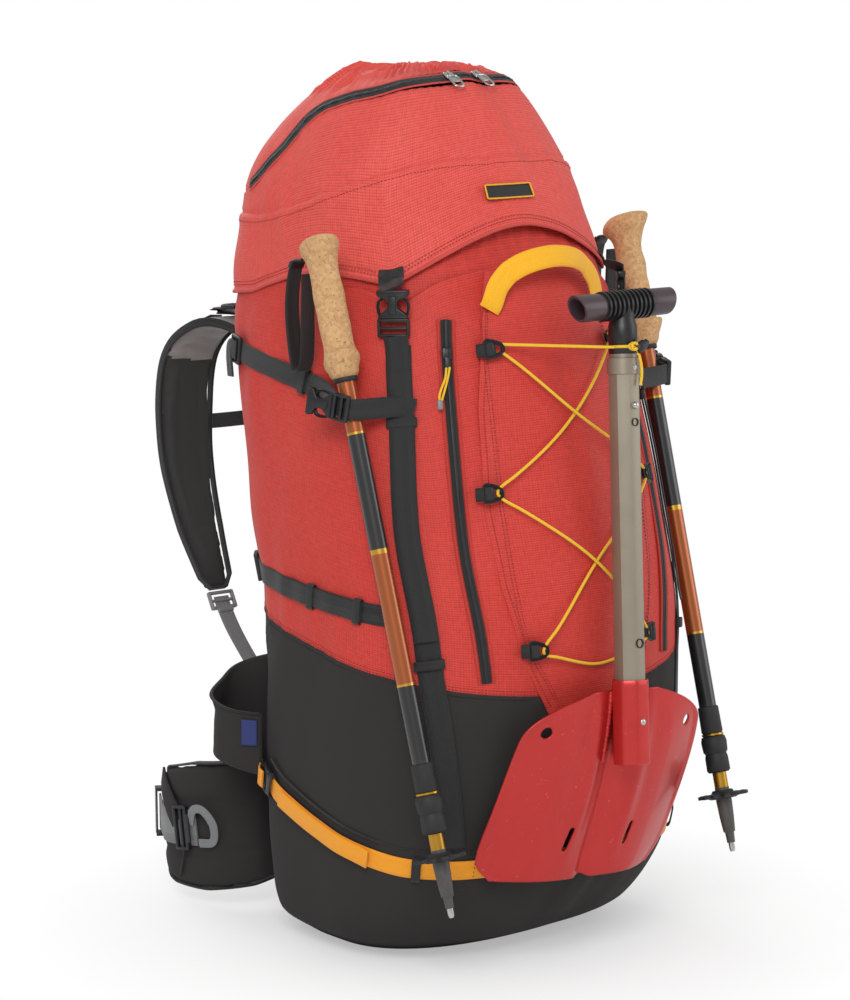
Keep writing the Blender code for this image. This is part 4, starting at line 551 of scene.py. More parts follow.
# Copper lacquer with black and gold bands under a clear coat.
POLE_LACQUER = BandedLacquer(
    "banded_pole_lacquer", "#ab5a2c", 0.30, length=0.6,
    bands=(
        (0.0, "#ab5a2c", 0.65), (0.186, "#d9a63a", 1.0), (0.1885, "#1b1a1b", 0.0), (0.300, "#d9a63a", 1.0),
        (0.3025, "#ab5a2c", 0.65), (0.428, "#d9a63a", 1.0), (0.4305, "#1b1a1b", 0.0), (0.500, "#2a2a2c", 0.2),
    ),
)
# Pressed cork of the pole grips: warm tan, matt and flecked.
CORK = PressedCork("pressed_cork", "#bd9060", 0.85)
# Braided cords with painted shade between their strands: the bright elastic and its pulls, and the black drawcord.
YELLOW_ELASTIC = BraidedCord("yellow_elastic_cord", "#ffd21e", 0.55)
BLACK_CORD = BraidedCord("black_braided_cord", "#1d1d20", 0.60, tracer="#060607")


# ------------------------------------------------------------ mesh building
SMOOTH = 50.0
WEB_THICK = 1.8 * MM
BODIES_WITHOUT_SIDE = ("pack", "lid")


def unit(vectors: Array) -> Array:
    """Scales each row to length 1."""
    return vectors / np.maximum(np.linalg.norm(vectors, axis=-1, keepdims=True), 1e-12)


def step(values: Array, low: float, high: float) -> Array:
    """Smooth step from 0 at low to 1 at high."""
    share = np.clip((values - low) / (high - low), 0.0, 1.0)
    return share * share * (3.0 - 2.0 * share)


def hump(values: Array, middle: float | Array, width: float) -> Array:
    """Bell curve of height 1 round middle."""
    return np.exp(-(((values - middle) / width) ** 2))


def off_front(turn: Array) -> Array:
    """Degrees between a turn and the front, either way round, 0 to 180."""
    return np.abs((turn + 180) % 360 - 180)


def walked(line: Array) -> Array:
    """Distance from a line's start to each of its points."""
    return np.concatenate([[0.0], np.cumsum(np.linalg.norm(np.diff(line, axis=0), axis=1))])


def read_rows(wanted: Array, known: Array, rows: Array) -> Array:
    """Reads a table of three-number rows between its known places."""
    return np.stack([np.interp(wanted, known, rows[:, i]) for i in range(3)], axis=1)


def lattice(seed: int, x: Array, y: Array, period: int = 64) -> Array:
    """Smooth seeded unevenness between -1 and 1.

    Args:
        seed: Picks the pattern.
        x: First coordinate; one unit is one cell.
        y: Second coordinate, in cells.
        period: Cells along x before the pattern meets itself.

    Returns:
        One value for each pair of coordinates.
    """
    table = np.random.default_rng(seed).uniform(-1.0, 1.0, (period, 64))
    x0, y0 = np.floor(x), np.floor(y)
    fx, fy = x - x0, y - y0
    fx, fy = fx * fx * (3 - 2 * fx), fy * fy * (3 - 2 * fy)
    i, j = x0.astype(int), y0.astype(int)
    rows = [table[i % period, (j + b) % 64] * (1 - fx) + table[(i + 1) % period, (j + b) % 64] * fx for b in (0, 1)]
    return rows[0] * (1 - fy) + rows[1] * fy


def adopt(mesh: bpy.types.Mesh, name: str) -> bpy.types.Object:
    """Puts a mesh in the scene as an object at the origin.

    Args:
        mesh: The mesh.
        name: The object's name.

    Returns:
        The new object.
    """
    piece = bpy.data.objects.new(name, mesh)
    bpy.context.scene.collection.objects.link(piece)
    return piece


def finish_mesh(made: Mesh, name: str, finish: Finish, smooth: float = SMOOTH) -> bpy.types.Object:
    """Turns a bmesh into a dressed object at the origin.

    Args:
        made: The finished bmesh, in the pack's own frame.
        name: The piece's name.
        finish: What it is made of.
        smooth: Edges flatter than this many degrees are shaded smooth.

    Returns:
        The new object.
    """
    bmesh.ops.recalc_face_normals(made, faces=made.faces)
    mesh = bpy.data.meshes.new(name)
    made.to_mesh(mesh)
    made.free()
    mesh.materials.append(finish.material())
    mesh.shade_smooth()
    mesh.set_sharp_from_angle(angle=math.radians(smooth))
    return adopt(mesh, name)


def settle(
    made: Mesh, name: str, finish: Finish, *nodes: str, body: str = "pack", slot: str = "",
    side: Side | None = None, flip: bool = True, smooth: float = SMOOTH,
) -> bpy.types.Object:
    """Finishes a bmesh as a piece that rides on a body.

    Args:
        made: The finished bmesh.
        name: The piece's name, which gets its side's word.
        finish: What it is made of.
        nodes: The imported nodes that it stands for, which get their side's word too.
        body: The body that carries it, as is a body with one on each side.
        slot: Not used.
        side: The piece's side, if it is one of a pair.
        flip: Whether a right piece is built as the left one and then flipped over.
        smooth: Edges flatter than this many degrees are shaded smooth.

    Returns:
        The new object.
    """
    if side:
        made = to_side(made, side) if flip else made
        name, *nodes = (f"{word}_{side.word}" for word in (name, *nodes))
        body = body if body in BODIES_WITHOUT_SIDE else f"{body}_{side.word}"
    piece = finish_mesh(made, name, finish, smooth)
    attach(piece, body)
    if nodes:
        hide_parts(*nodes)
    LOG.info("%s: %d faces, rides on %s", name, len(piece.data.polygons), body)
    return piece


def sheet_grid(columns: int, rows: int, place: Place, size: Pair, closed: bool = False) -> Mesh:
    """Makes a cloth panel from a flat grid, each vertex then carried to its place.

    Args:
        columns: Faces across.
        rows: Faces up.
        place: Turns shares across and up, 0 to 1, into points.
        size: The panel's cut width and height in metres, for its weave.
        closed: Whether its two sides meet.

    Returns:
        A bmesh with a UV map in metres.
    """
    made = bmesh.new()
    layer = made.loops.layers.uv.new("cloth")
    bmesh.ops.create_grid(made, x_segments=columns, y_segments=rows, size=0.5)
    shares = np.array([v.co[:2] for v in made.verts]) + 0.5
    for vert, share, point in zip(made.verts, shares, place(shares[:, 0], shares[:, 1])):
        for loop in vert.link_loops:
            loop[layer].uv = (share[0] * size[0], share[1] * size[1])
        vert.co = point
    if closed:
        bmesh.ops.remove_doubles(made, verts=[v for v in made.verts if v.is_boundary], dist=0.00002)
    return made


def thicken(piece: bpy.types.Object, wall: float, offset: float = -1.0) -> None:
    """Gives a cloth its thickness, inwards unless told otherwise."""
    solid = piece.modifiers.new("wall", "SOLIDIFY")
    solid.thickness, solid.offset = wall, offset


def run_curve(points: Sequence[Sequence[float]], count: int) -> Array:
    """Evenly spaced points on a smooth curve through the given ones.

    Args:
        points: The points to pass through.
        count: How many points to return.

    Returns:
        An array of points, count by 3.
    """
    given = np.asarray(points, float)
    ends = np.vstack([2 * given[0] - given[1], given, 2 * given[-1] - given[-2]])
    t = np.linspace(0, 1, 24, endpoint=False)[:, None]
    fine = [
        0.5 * (2 * b + (c - a) * t + (2 * a - 5 * b + 4 * c - d) * t**2 + (3 * b - 3 * c + d - a) * t**3)
        for a, b, c, d in zip(ends, ends[1:], ends[2:], ends[3:])
    ]
    line = np.vstack(fine + [given[-1:]])
    far = walked(line)
    return read_rows(np.linspace(0, far[-1], count), far, line)


def band_section(width: float, thick: float) -> Array:
    """Outlines a flat band with its long edges rounded.

    Args:
        width: Its width.
        thick: Its thickness.

    Returns:
        (across, up) points round it.
    """
    half, soft = width / 2, thick * 0.5
    low = [(-half + soft, 0), (-half * 0.55, 0), (0, 0), (half * 0.55, 0), (half - soft, 0)]
    high = [(x, thick) for x, _ in reversed(low)]
    return np.array(low + [(half, soft)] + high + [(-half, soft)])


def round_section(radius: float, sides: int = 12, squash: float = 1.0) -> Array:
    """Outline of a round cord."""
    turns = np.linspace(0, TAU, sides, endpoint=False)
    return np.stack([np.cos(turns) * radius, np.sin(turns) * radius * squash], axis=1)


def sweep(
    line: Array, normals: Array, section: Array, lift: float = 0.0, scale: Array | float = 1.0, closed: bool = False
) -> Mesh:
    """Carries an outline along a line and caps its ends.

    Args:
        line: Points of the middle line.
        normals: Which way the band's face looks, at each point or all along.
        section: (across, up) points of the outline.
        lift: How far off the line the outline's foot lies.
        scale: The outline's size at each point, as a share.
        closed: Whether the line meets itself.

    Returns:
        A bmesh with a UV map: metres across a band or the share round a cord, and metres along it.
    """
    ahead = unit(np.roll(line, -1, axis=0) - np.roll(line, 1, axis=0) if closed else np.gradient(line, axis=0))
    up = unit(normals - ahead * (normals * ahead).sum(1, keepdims=True))
    side = np.cross(ahead, up)
    count, around = len(line), len(section)
    scale = np.ones(count) * scale
    made = bmesh.new()
    layer = made.loops.layers.uv.new("tape")
    rows = count if closed else count - 1
    bmesh.ops.create_grid(made, x_segments=around, y_segments=rows, size=0.5)
    shares = np.array([v.co[:2] for v in made.verts]) + 0.5
    ring = np.rint(shares[:, 0] * around).astype(int)
    row = np.rint(shares[:, 1] * rows).astype(int)
    i, k = row % count, ring % around
    wide, high = section[k, 0] * scale[i], lift + section[k, 1] * scale[i]
    points = line[i] + side[i] * wide[:, None] + up[i] * high[:, None]
    far = walked(line)
    along = np.append(far, far[-1] + (np.linalg.norm(line[0] - line[-1]) if closed else 0.0))
    spans = np.ptp(section, axis=0)
    across = ring / around if abs(spans[0] - spans[1]) < 0.3 * spans[0] else section[k, 0]
    for vert, r, share, point in zip(made.verts, row, across, points):
        for loop in vert.link_loops:
            loop[layer].uv = (share, along[r])
        vert.co = point
    bmesh.ops.remove_doubles(made, verts=[v for v in made.verts if v.is_boundary], dist=0.000005)
    if not closed:
        bmesh.ops.holes_fill(made, edges=[e for e in made.edges if e.is_boundary], sides=0)
    return made


def tape(
    line: Array, normals: Array, width: float, thick: float = WEB_THICK, lift: float = 0.0, closed: bool = False
) -> Mesh:
    """A run of webbing; see sweep for what each argument is."""
    return sweep(line, normals, band_section(width, thick), lift, closed=closed)


def merge(parts: Sequence[Mesh]) -> Mesh:
    """Puts several bmeshes into one and frees them.

    Args:
        parts: The bmeshes.

    Returns:
        The one that holds them all.
    """
    whole = bmesh.new()
    for part in parts:
        store = bpy.data.meshes.new("part")
        part.to_mesh(store)
        part.free()
        whole.from_mesh(store)
        bpy.data.meshes.remove(store)
    return whole


def placed(made: Mesh, matrix: Matrix) -> Mesh:
    """Moves a bmesh by a placement."""
    bmesh.ops.transform(made, matrix=matrix, verts=made.verts)
    return made


def to_side(made: Mesh, side: Side) -> Mesh:
    """Keeps a left piece, or flips it over to the right side of the pack.

    Args:
        made: The piece, built on the left.
        side: The side it is for.

    Returns:
        The same bmesh.
    """
    if side is Side.RIGHT:
        bmesh.ops.scale(made, vec=(-1.0, 1.0, 1.0), verts=made.verts)
        bmesh.ops.reverse_faces(made, faces=made.faces)
    return made


def axes(x: Vector, y: Vector, z: Vector, origin: Sequence[float]) -> Matrix:
    """A placement with its three directions and its origin given."""
    return Matrix.Translation(Vector(origin)) @ Matrix((x, y, z)).transposed().to_4x4()


def axes_matrix(centre: Sequence[float], across: Sequence[float], along: Sequence[float]) -> Matrix:
    """Makes a placement whose x runs across, y along and z out, each square to the others.

    Args:
        centre: Its origin.
        across: Roughly the way of its x.
        along: The way of its y.

    Returns:
        The placement.
    """
    y = Vector(along).normalized()
    x = Vector(across)
    x = (x - y * x.dot(y)).normalized()
    return axes(x, y, x.cross(y), centre)


def seat(line: Array, ups: Array, k: int, out: float = 0.0, way: Array | None = None) -> Matrix:
    """A placement on a run of webbing: y along it, or along a given way, and z out of its face.

    Args:
        line: The run's points.
        ups: Which way its face looks at each.
        k: Which point is meant.
        out: How far off the run.
        way: The way along, if it isn't the run's own.

    Returns:
        The placement.
    """
    way = line[k + 2] - line[k - 2] if way is None else way
    return axes_matrix(line[k] + ups[k] * out, np.cross(way, ups[k]), way)


def bevel(made: Mesh, soft: float, segments: int = 2) -> None:
    """Rounds all edges of a bmesh.

    Args:
        made: The bmesh.
        soft: The rounding's radius.
        segments: Facets in each rounding.
    """
    bmesh.ops.bevel(
        made, geom=made.edges[:], offset=soft, offset_type="OFFSET", segments=segments, profile=0.5,
        affect="EDGES", material=-1, clamp_overlap=True,
    )


def block(size: Triple, at: Triple = (0, 0, 0), soft: float = 1.0) -> Mesh:
    """A cuboid with rounded edges, all in millimetres.

    Args:
        size: Its full lengths.
        at: Its middle.
        soft: Radius of its edges.

    Returns:
        The bmesh.
    """
    made = bmesh.new()
    bmesh.ops.create_cube(made, size=1.0)
    bmesh.ops.scale(made, vec=Vector(size) * MM, verts=made.verts)
    bevel(made, soft * MM)
    bmesh.ops.translate(made, vec=Vector(at) * MM, verts=made.verts)
    return made


def plate(outline: Sequence[Pair], thick: float, soft: float) -> Mesh:
    """A flat moulded plate cut to an outline, with softened edges, all in millimetres.

    Args:
        outline: Corners, in order, as (across, along).
        thick: Thickness, centred on z = 0.
        soft: Radius of the softened edges.

    Returns:
        The plate.
    """
    made = bmesh.new()
    face = made.faces.new([made.verts.new((x * MM, y * MM, -thick * MM / 2)) for x, y in outline])
    grown = bmesh.ops.extrude_face_region(made, geom=[face])["geom"]
    risen = [part for part in grown if isinstance(part, bmesh.types.BMVert)]
    bmesh.ops.translate(made, vec=(0, 0, thick * MM), verts=risen)
    bevel(made, soft * MM)
    return made


def spun(line: Sequence[Pair], sides: int, closed: bool) -> Mesh:
    """Turns an outline round the z axis.

    Args:
        line: (height, radius) points in order; a run along the axis itself is left out.
        sides: Facets round.
        closed: Whether its last point joins its first.

    Returns:
        The bmesh.
    """
    made = bmesh.new()
    verts = [made.verts.new((radius, 0.0, height)) for height, radius in line]
    pairs = list(zip(verts, verts[1:])) + ([(verts[-1], verts[0])] if closed else [])
    edges = [made.edges.new(pair) for pair in pairs if pair[0].co.x or pair[1].co.x]
    bmesh.ops.spin(
        made, geom=verts + edges, axis=(0, 0, 1), cent=(0, 0, 0), angle=TAU, steps=sides, use_merge=True
    )
    bmesh.ops.remove_doubles(made, verts=made.verts, dist=0.00001)
    return made


def lathe(profile: Sequence[Pair], sides: int = 40) -> Mesh:
    """Turns a closed outline round the z axis and maps it.

    Args:
        profile: (height, radius) points in order; a radius of 0 lies on the axis.
        sides: Facets round.

    Returns:
        The bmesh, with a UV map: share round, metres along the axis.
    """
    made = spun(profile, sides, profile[0][1] > 0 and profile[-1][1] > 0)
    layer = made.loops.layers.uv.new("turned")
    for face in made.faces:
        middle = face.calc_center_median()
        turn = math.atan2(middle.y, middle.x)
        for loop in face.loops:
            here = math.atan2(loop.vert.co.y, loop.vert.co.x)
            here += TAU * round((turn - here) / TAU)
            loop[layer].uv = (here / TAU, loop.vert.co.z)
    return made


def squash(made: Mesh, factor: Callable[[float, float, float], float]) -> Mesh:
    """Brings each vertex of a turned piece nearer its axis.

    Args:
        made: A bmesh round the z axis.
        factor: Gives the share kept of a vertex's radius, from its radius, turn and height.

    Returns:
        The same bmesh.
    """
    for vert in made.verts:
        kept = factor(math.hypot(vert.co.x, vert.co.y), math.atan2(vert.co.y, vert.co.x), vert.co.z)
        vert.co.x *= kept
        vert.co.y *= kept
    return made


def stitches(line: Array, normals: Array, pitch: float = 3.6 * MM) -> Mesh:
    """A row of stitches: short low beads of thread along a line.

    Args:
        line: Points of the seam.
        normals: Which way the cloth faces, at each or all along.
        pitch: From one stitch to the next.

    Returns:
        One bmesh with every stitch.
    """
    far = walked(line)
    count = max(int(far[-1] / pitch), 2)
    at = (np.arange(count) + 0.5) * far[-1] / count
    centres = read_rows(at, far, line)
    ups = unit(read_rows(at, far, np.broadcast_to(normals, line.shape)))
    ahead = unit(np.gradient(centres, axis=0))
    whole = bmesh.new()
    lift, thick = 0.25 * MM, 0.42 * MM
    shape = Matrix.Diagonal((thick, pitch * 0.38, thick, 1.0))
    for k, way in enumerate(ahead):
        bmesh.ops.create_icosphere(whole, subdivisions=1, radius=1.0, matrix=seat(centres, ups, k, lift, way) @ shape)
    return whole


# ------------------------------------------------------------ the pack's form
@dataclass(frozen=True)
class SackForm:
    """The stuffed pack's outer form, which every sewn panel follows.

    A station is its height, half width, front depth and back depth. A turn is in
    degrees round the section: 0 is the front, 90 the wearer's left, 180 the harness
    side and -90 the wearer's right.
    """

    stations: tuple[tuple[float, float, float, float], ...] = (
        (0.000, 0.140, 0.085, 0.095), (0.030, 0.178, 0.142, 0.112), (0.100, 0.195, 0.192, 0.122),
        (0.200, 0.200, 0.208, 0.122), (0.330, 0.200, 0.200, 0.118), (0.430, 0.198, 0.183, 0.140),
        (0.530, 0.187, 0.160, 0.165), (0.630, 0.170, 0.133, 0.198), (0.730, 0.152, 0.090, 0.200),
        (0.800, 0.124, 0.052, 0.168), (0.840, 0.098, 0.022, 0.135), (0.868, 0.056, -0.028, 0.094),
    )
    front_power: float = 2.35
    back_power: float = 4.0
    seat: float = 1.2 * MM
    boot_high: float = 0.345
    boot_low: float = 0.268
    pocket_widths: tuple[Pair, ...] = (
        (0.245, 0.050), (0.300, 0.077), (0.380, 0.096), (0.450, 0.102), (0.545, 0.092), (0.640, 0.070), (0.672, 0.058),
    )
    pocket_raise: float = 12 * MM
    upper_strap_z: float = 0.565
    lower_strap_z: float = 0.361

    def column(self, z: Array, which: int) -> Array:
        """Reads one of the form's depths.

        Args:
            z: Heights.
            which: 1 for half width, 2 for front depth, 3 for back depth.

        Returns:
            The depth at each height.
        """
        if not hasattr(SackForm, "_dense"):
            SackForm._dense = self._densify()
        return np.interp(z, SackForm._dense[:, 0], SackForm._dense[:, which])

    def _densify(self) -> Array:
        """Reads the stations every half millimetre with a smooth curve that never overshoots.

        Returns:
            Rows like the stations, close together.
        """
        table = np.array(self.stations)
        z = table[:, 0]
        fine = np.linspace(z[0], z[-1], 1737)
        rise = np.diff(z)
        i = np.clip(np.searchsorted(z, fine, side="right") - 1, 0, len(rise) - 1)
        t = (fine - z[i]) / rise[i]
        columns = [fine]
        for value in table.T[1:]:
            slope = np.diff(value) / rise
            bend = np.array([slope[0], *np.zeros(len(z) - 2), slope[-1]])
            for k, (before, after) in enumerate(zip(slope, slope[1:]), 1):
                bend[k] = 0.0 if before * after <= 0 else 2 * before * after / (before + after)
            columns.append(
                (2 * t**3 - 3 * t**2 + 1) * value[i] + (t**3 - 2 * t**2 + t) * rise[i] * bend[i]
                + (3 * t**2 - 2 * t**3) * value[i + 1] + (t**3 - t**2) * rise[i] * bend[i + 1]
            )
        return np.stack(columns, axis=1)

    def raw(self, turn: Array | float, z: Array | float) -> Array:
        """Finds points on the plain form.

        Args:
            turn: Turns in degrees.
            z: Heights.

        Returns:
            The points.
        """
        turn, z = np.broadcast_arrays(np.asarray(turn, float), np.asarray(z, float))
        half, front, back = (self.column(z, which) for which in (1, 2, 3))
        deep = (front + back) / 2
        side, ahead = -np.sin(np.radians(turn)), -np.cos(np.radians(turn))
        power = np.where(ahead < 0, self.front_power, self.back_power)
        reach = (np.abs(side / half) ** power + np.abs(ahead / deep) ** power) ** (-1 / power)
        return np.stack([side * reach, ahead * reach + (back - front) / 2, z], axis=-1)

    def normal(self, turn: Array | float, z: Array | float) -> Array:
        """Finds the plain form's outward directions.

        Args:
            turn: Turns in degrees.
            z: Heights.

        Returns:
            The directions, of length 1.
        """
        z = np.asarray(z, float)
        low, high = np.maximum(z - 0.004, 0.0005), np.minimum(z + 0.004, self.stations[-1][0])
        around = self.raw(turn + 1.5, z) - self.raw(turn - 1.5, z)
        return unit(np.cross(self.raw(turn, high) - self.raw(turn, low), around))

    def off(self, turn: Array | float, z: Array | float, out: Array | float) -> Array:
        """Points that far off the plain form, along its own outward directions."""
        return self.raw(turn, z) + self.normal(turn, z) * np.asarray(out)[..., None]

    def relief(self, turn: Array, z: Array) -> Array:
        """Tells how far the stuffed cloth stands in or out: billows, pulls at the straps and puckers.

        Args:
            turn: Turns in degrees.
            z: Heights.

        Returns:
            Metres out of the plain form.
        """
        turn, z = np.broadcast_arrays(np.asarray(turn, float), np.asarray(z, float))
        around = (turn % 360.0) / 360.0
        billow = lattice(11, around * 14, z * 9.0, 14) * 2.6 + lattice(12, around * 30, z * 17.0, 30) * 1.2
        drape = lattice(13, around * 44 + z * 9.0, z * 7.0, 44)
        flat, high, low = off_front(turn), self.upper_strap_z, self.lower_strap_z
        side = step(flat, 62.0, 80.0) * (1 - step(flat, 118.0, 138.0))
        pull = -2.6 * hump(z, 0.556 + 0.0006 * (flat - 90), 0.020) - 2.2 * hump(z, low, 0.018)
        rays = np.sin(flat * 0.55 + 30 * np.abs(z - high)) * hump(z, high, 0.055) * 0.9
        rays += np.sin(flat * 0.60 + 24 * np.abs(z - low)) * hump(z, low, 0.045) * 0.8
        ripple = np.sin(around * TAU * 60 + 1.7 * lattice(14, around * 40, z * 3, 40) * 3)
        pucker = ripple * np.exp(-np.abs(z - self.boot_seam(turn)) / 0.016)
        strap = -hump(flat, 54.0, 5.0) * (1 - step(z, 0.60, 0.64))
        quiet = step(z, 0.0, 0.05) * (1 - 0.75 * step(flat, 140.0, 165.0))
        return (billow + drape + side * (pull + rays) + 0.55 * pucker + strap) * quiet * MM

    def skin(self, turn: Array, z: Array, out: Array | float = 0.0) -> Array:
        """Points on the sewn cloth itself, moved out along the form's own directions."""
        return self.off(turn, z, self.relief(turn, z) + out)

    def boot_seam(self, turn: Array) -> Array:
        """Height of the seam between black base and red sack."""
        return self.boot_low + (self.boot_high - self.boot_low) * (1 - np.cos(np.radians(turn))) / 2

    def find_turn(self, value: Array | float, z: Array | float, axis: int, span: Pair) -> Array:
        """Finds the turn at which the form has a coordinate.

        Args:
            value: The x or y wanted.
            z: Heights.
            axis: 0 for x, 1 for y.
            span: The turns to look between, over which the coordinate falls or rises all the way.

        Returns:
            The turns.
        """
        value, z = np.broadcast_arrays(np.asarray(value, float), np.asarray(z, float))
        low, high = np.full(value.shape, span[0]), np.full(value.shape, span[1])
        falls = self.raw(span[0], 0.4)[axis] > self.raw(span[1], 0.4)[axis]
        for _ in range(26):
            middle = (low + high) / 2
            short = (self.raw(middle, z)[..., axis] > value) == falls
            low, high = np.where(short, middle, low), np.where(short, high, middle)
        return (low + high) / 2

    def turn_for_x(self, x: Array | float, z: Array | float) -> Array:
        """The turn on the front half where the form has this x."""
        return self.find_turn(x, z, 0, (-90.0, 90.0))

    def turn_for_y(self, y: Array | float, z: Array | float) -> Array:
        """The turn on the left side where the form has this y."""
        return self.find_turn(y, z, 1, (5.0, 175.0))

    def pocket_width(self, z: Array) -> Array:
        """Half width of the front pocket at each height."""
        return np.interp(z, *np.array(self.pocket_widths).T)

    def pocket_face(self, x: Array | float, z: Array | float, out: Array | float = 0.0) -> tuple[Array, Array]:
        """Finds points on the front pocket's plain face.

        Args:
            x: Across the pack.
            z: Heights.
            out: How far off the face.

        Returns:
            The points, and the way the face looks there.
        """
        x, z = np.broadcast_arrays(np.asarray(x, float), np.asarray(z, float))
        turn = self.turn_for_x(x, z)
        low, high = self.pocket_widths[0][0], self.pocket_widths[-1][0]
        up = np.clip((z - low) / (high - low), 0, 1)
        across = np.abs(x / self.pocket_width(z))
        crown = (1 - np.minimum(across, 1) ** 2.4) * np.sin(np.pi * up) ** 0.5
        return self.off(turn, z, self.seat + 2.0 * MM + self.pocket_raise * crown + out), self.normal(turn, z)


FORM = SackForm()


def surface_run(route: Sequence[Pair], count: int, out: float = 0.0) -> tuple[Array, Array]:
    """Follows a route over the pack's billowed cloth.

    Args:
        route: (turn, height) pairs.
        count: How many points to return.
        out: How far off the cloth they lie.

    Returns:
        The points and the outward directions.
    """
    flat = run_curve([(t / 100, z, 0.0) for t, z in route], count)
    turns, heights = flat[:, 0] * 100, flat[:, 1]
    lift = np.convolve(np.pad(FORM.relief(turns, heights), 2, mode="edge"), np.ones(5) / 5, mode="valid")
    return FORM.off(turns, heights, lift + out), FORM.normal(turns, heights)


# ------------------------------------------------------------- sewn shells
@dataclass
class Sack:
    """The main bag: black base boot, red body, spindrift collar and its drawcord."""

    wall: float = 1.2 * MM
    seam_gap: float = 0.2 * MM
    under: float = 0.14
    body_top: float = 0.658
    collar_foot: float = 0.640
    collar_inset: float = 11 * MM
    collar_seat: float = 4.8 * MM
    collar_top: float = 0.705
    collar_limit: float = 0.7335
    throat_share: float = 0.62
    cord_radius: float = 2.2 * MM
    dart: tuple[Pair, ...] = ((44.0, 0.088), (54.0, 0.064), (66.0, 0.040), (80.0, 0.022), (94.0, 0.012))
    piping: tuple[Pair, ...] = (
        (117.0, 0.184), (100.0, 0.159), (80.0, 0.140), (62.0, 0.128), (42.0, 0.124), (22.0, 0.122)
    )

    def build(self) -> None:
        """Builds every piece of the bag."""
        for place, size, faces, name, finish, node, wall, slot in (
            (self.boot, (1.30, 0.40), (220, 96), "boot_cloth", BLACK_CANVAS, "base_boot", self.wall, "black_canvas"),
            (self.body, (1.24, 0.37), (300, 130), "body_cloth", RED_RIPSTOP, "main_sack", self.wall, "red_ripstop"),
            (
                self.collar, (1.05, 0.16), (320, 48), "spindrift_collar", RED_RIPSTOP, "throat_collar", 0.6 * MM,
                "red_ripstop",
            ),
        ):
            thicken(settle(sheet_grid(*faces, place, size, True), name, finish, node, slot=slot), wall)
        self.drawcord()
        self.seams()

    def boot(self, u: Array, v: Array) -> Array:
        """Lays out the canvas boot, closed below, its lower rim rounded by what is packed in it.

        Args:
            u: Share round.
            v: Share up.

        Returns:
            The points.
        """
        turn, floor = u * 360, 0.4 * MM
        rise = np.clip((v - self.under) / (1 - self.under), 0, 1)
        height = np.maximum((FORM.boot_seam(turn) - self.seam_gap) * rise**1.15, 0.0)
        sag = 3.5 * hump(height, 0.035, 0.03) + 2.0 * lattice(21, u * 22, height * 16, 22) * step(height, 0.01, 0.07)
        fold = np.abs(lattice(22, u * 34 + height * 16, height * 9, 34)) * 2.4 * step(height, 0.02, 0.10)
        points = FORM.skin(turn, height, (sag - fold) * MM)
        share = np.clip(v / self.under, 0, 1)[:, None]
        middle = np.array([0.0, 0.005, 0.0])
        below = middle + (points - middle) * share
        below[:, 2] = 1.2 * MM * (1 - share[:, 0]) + floor
        points = np.where(v[:, None] < self.under, below, points)
        points[:, 2] = np.maximum(points[:, 2], floor)
        return points

    def body(self, u: Array, v: Array) -> Array:
        """Lays out the red body, from the boot seam up to where the lid hides it.

        Args:
            u: Share round.
            v: Share up.

        Returns:
            The points.
        """
        turn = u * 360
        flat = off_front(turn)
        crest = 0.022 * np.cos(np.pi / 2 * np.clip(flat / 52, 0, 1)) ** 1.3
        low, high = FORM.boot_seam(turn) + self.seam_gap, self.body_top + crest - 0.013 * hump(flat, 50, 9)
        height = low + (high - low) * v
        tuck = 3.2 * step(height, 0.600, 0.655) - 0.7 * hump(height, high - 0.004, 0.005)
        return FORM.skin(turn, height, -tuck * MM)

    def collar(self, u: Array, v: Array) -> Array:
        """Lays out the collar under the lid: up the sack, then gathered in to its cord.

        Args:
            u: Share round.
            v: Share up.

        Returns:
            The points.
        """
        turn = u * 360
        crest = self.collar_top + 0.024 * hump(off_front(turn), 0, 46)
        height = self.collar_foot + (crest - self.collar_foot) * np.clip(v / 0.45, 0, 1)
        wave = np.sin(u * TAU * 44 + 3 * lattice(23, u * 26, height * 9, 26))
        pleat = np.maximum(wave, -0.2) * step(height, 0.655, 0.70)
        inset = (self.collar_inset - self.collar_seat) * step(height, 0.672, 0.71) - 1.3 * MM * pleat
        points = FORM.off(turn, height, -self.collar_seat - inset)
        share = np.clip((v - 0.45) / 0.55, 0, 1)
        gather = np.sin(u * TAU * 26 + 2 * np.sin(u * TAU * 5)) * share
        size = 1 - (1 - self.throat_share) * share + 0.012 * gather
        centre = np.array([0.0, 0.055])
        points[:, :2] = centre + (points[:, :2] - centre) * size[:, None]
        points[:, 2] += 0.012 * np.sin(share * np.pi * 0.8) - 0.010 * share + 0.0022 * gather
        points[:, 2] = np.minimum(points[:, 2], self.collar_limit)
        return points

    def drawcord(self) -> None:
        """The cord that lies round the collar's rim."""
        rim = self.collar(np.linspace(0, 1, 192, endpoint=False), np.full(192, 0.93))
        even = np.mean([np.roll(rim, shift, axis=0) for shift in range(-6, 7)], axis=0)[::3]
        line = even + UP * (self.cord_radius + self.wall)
        cord = sweep(line, UP, round_section(self.cord_radius, 10), closed=True)
        settle(cord, "throat_cord", BLACK_CORD, "throat_drawcord")

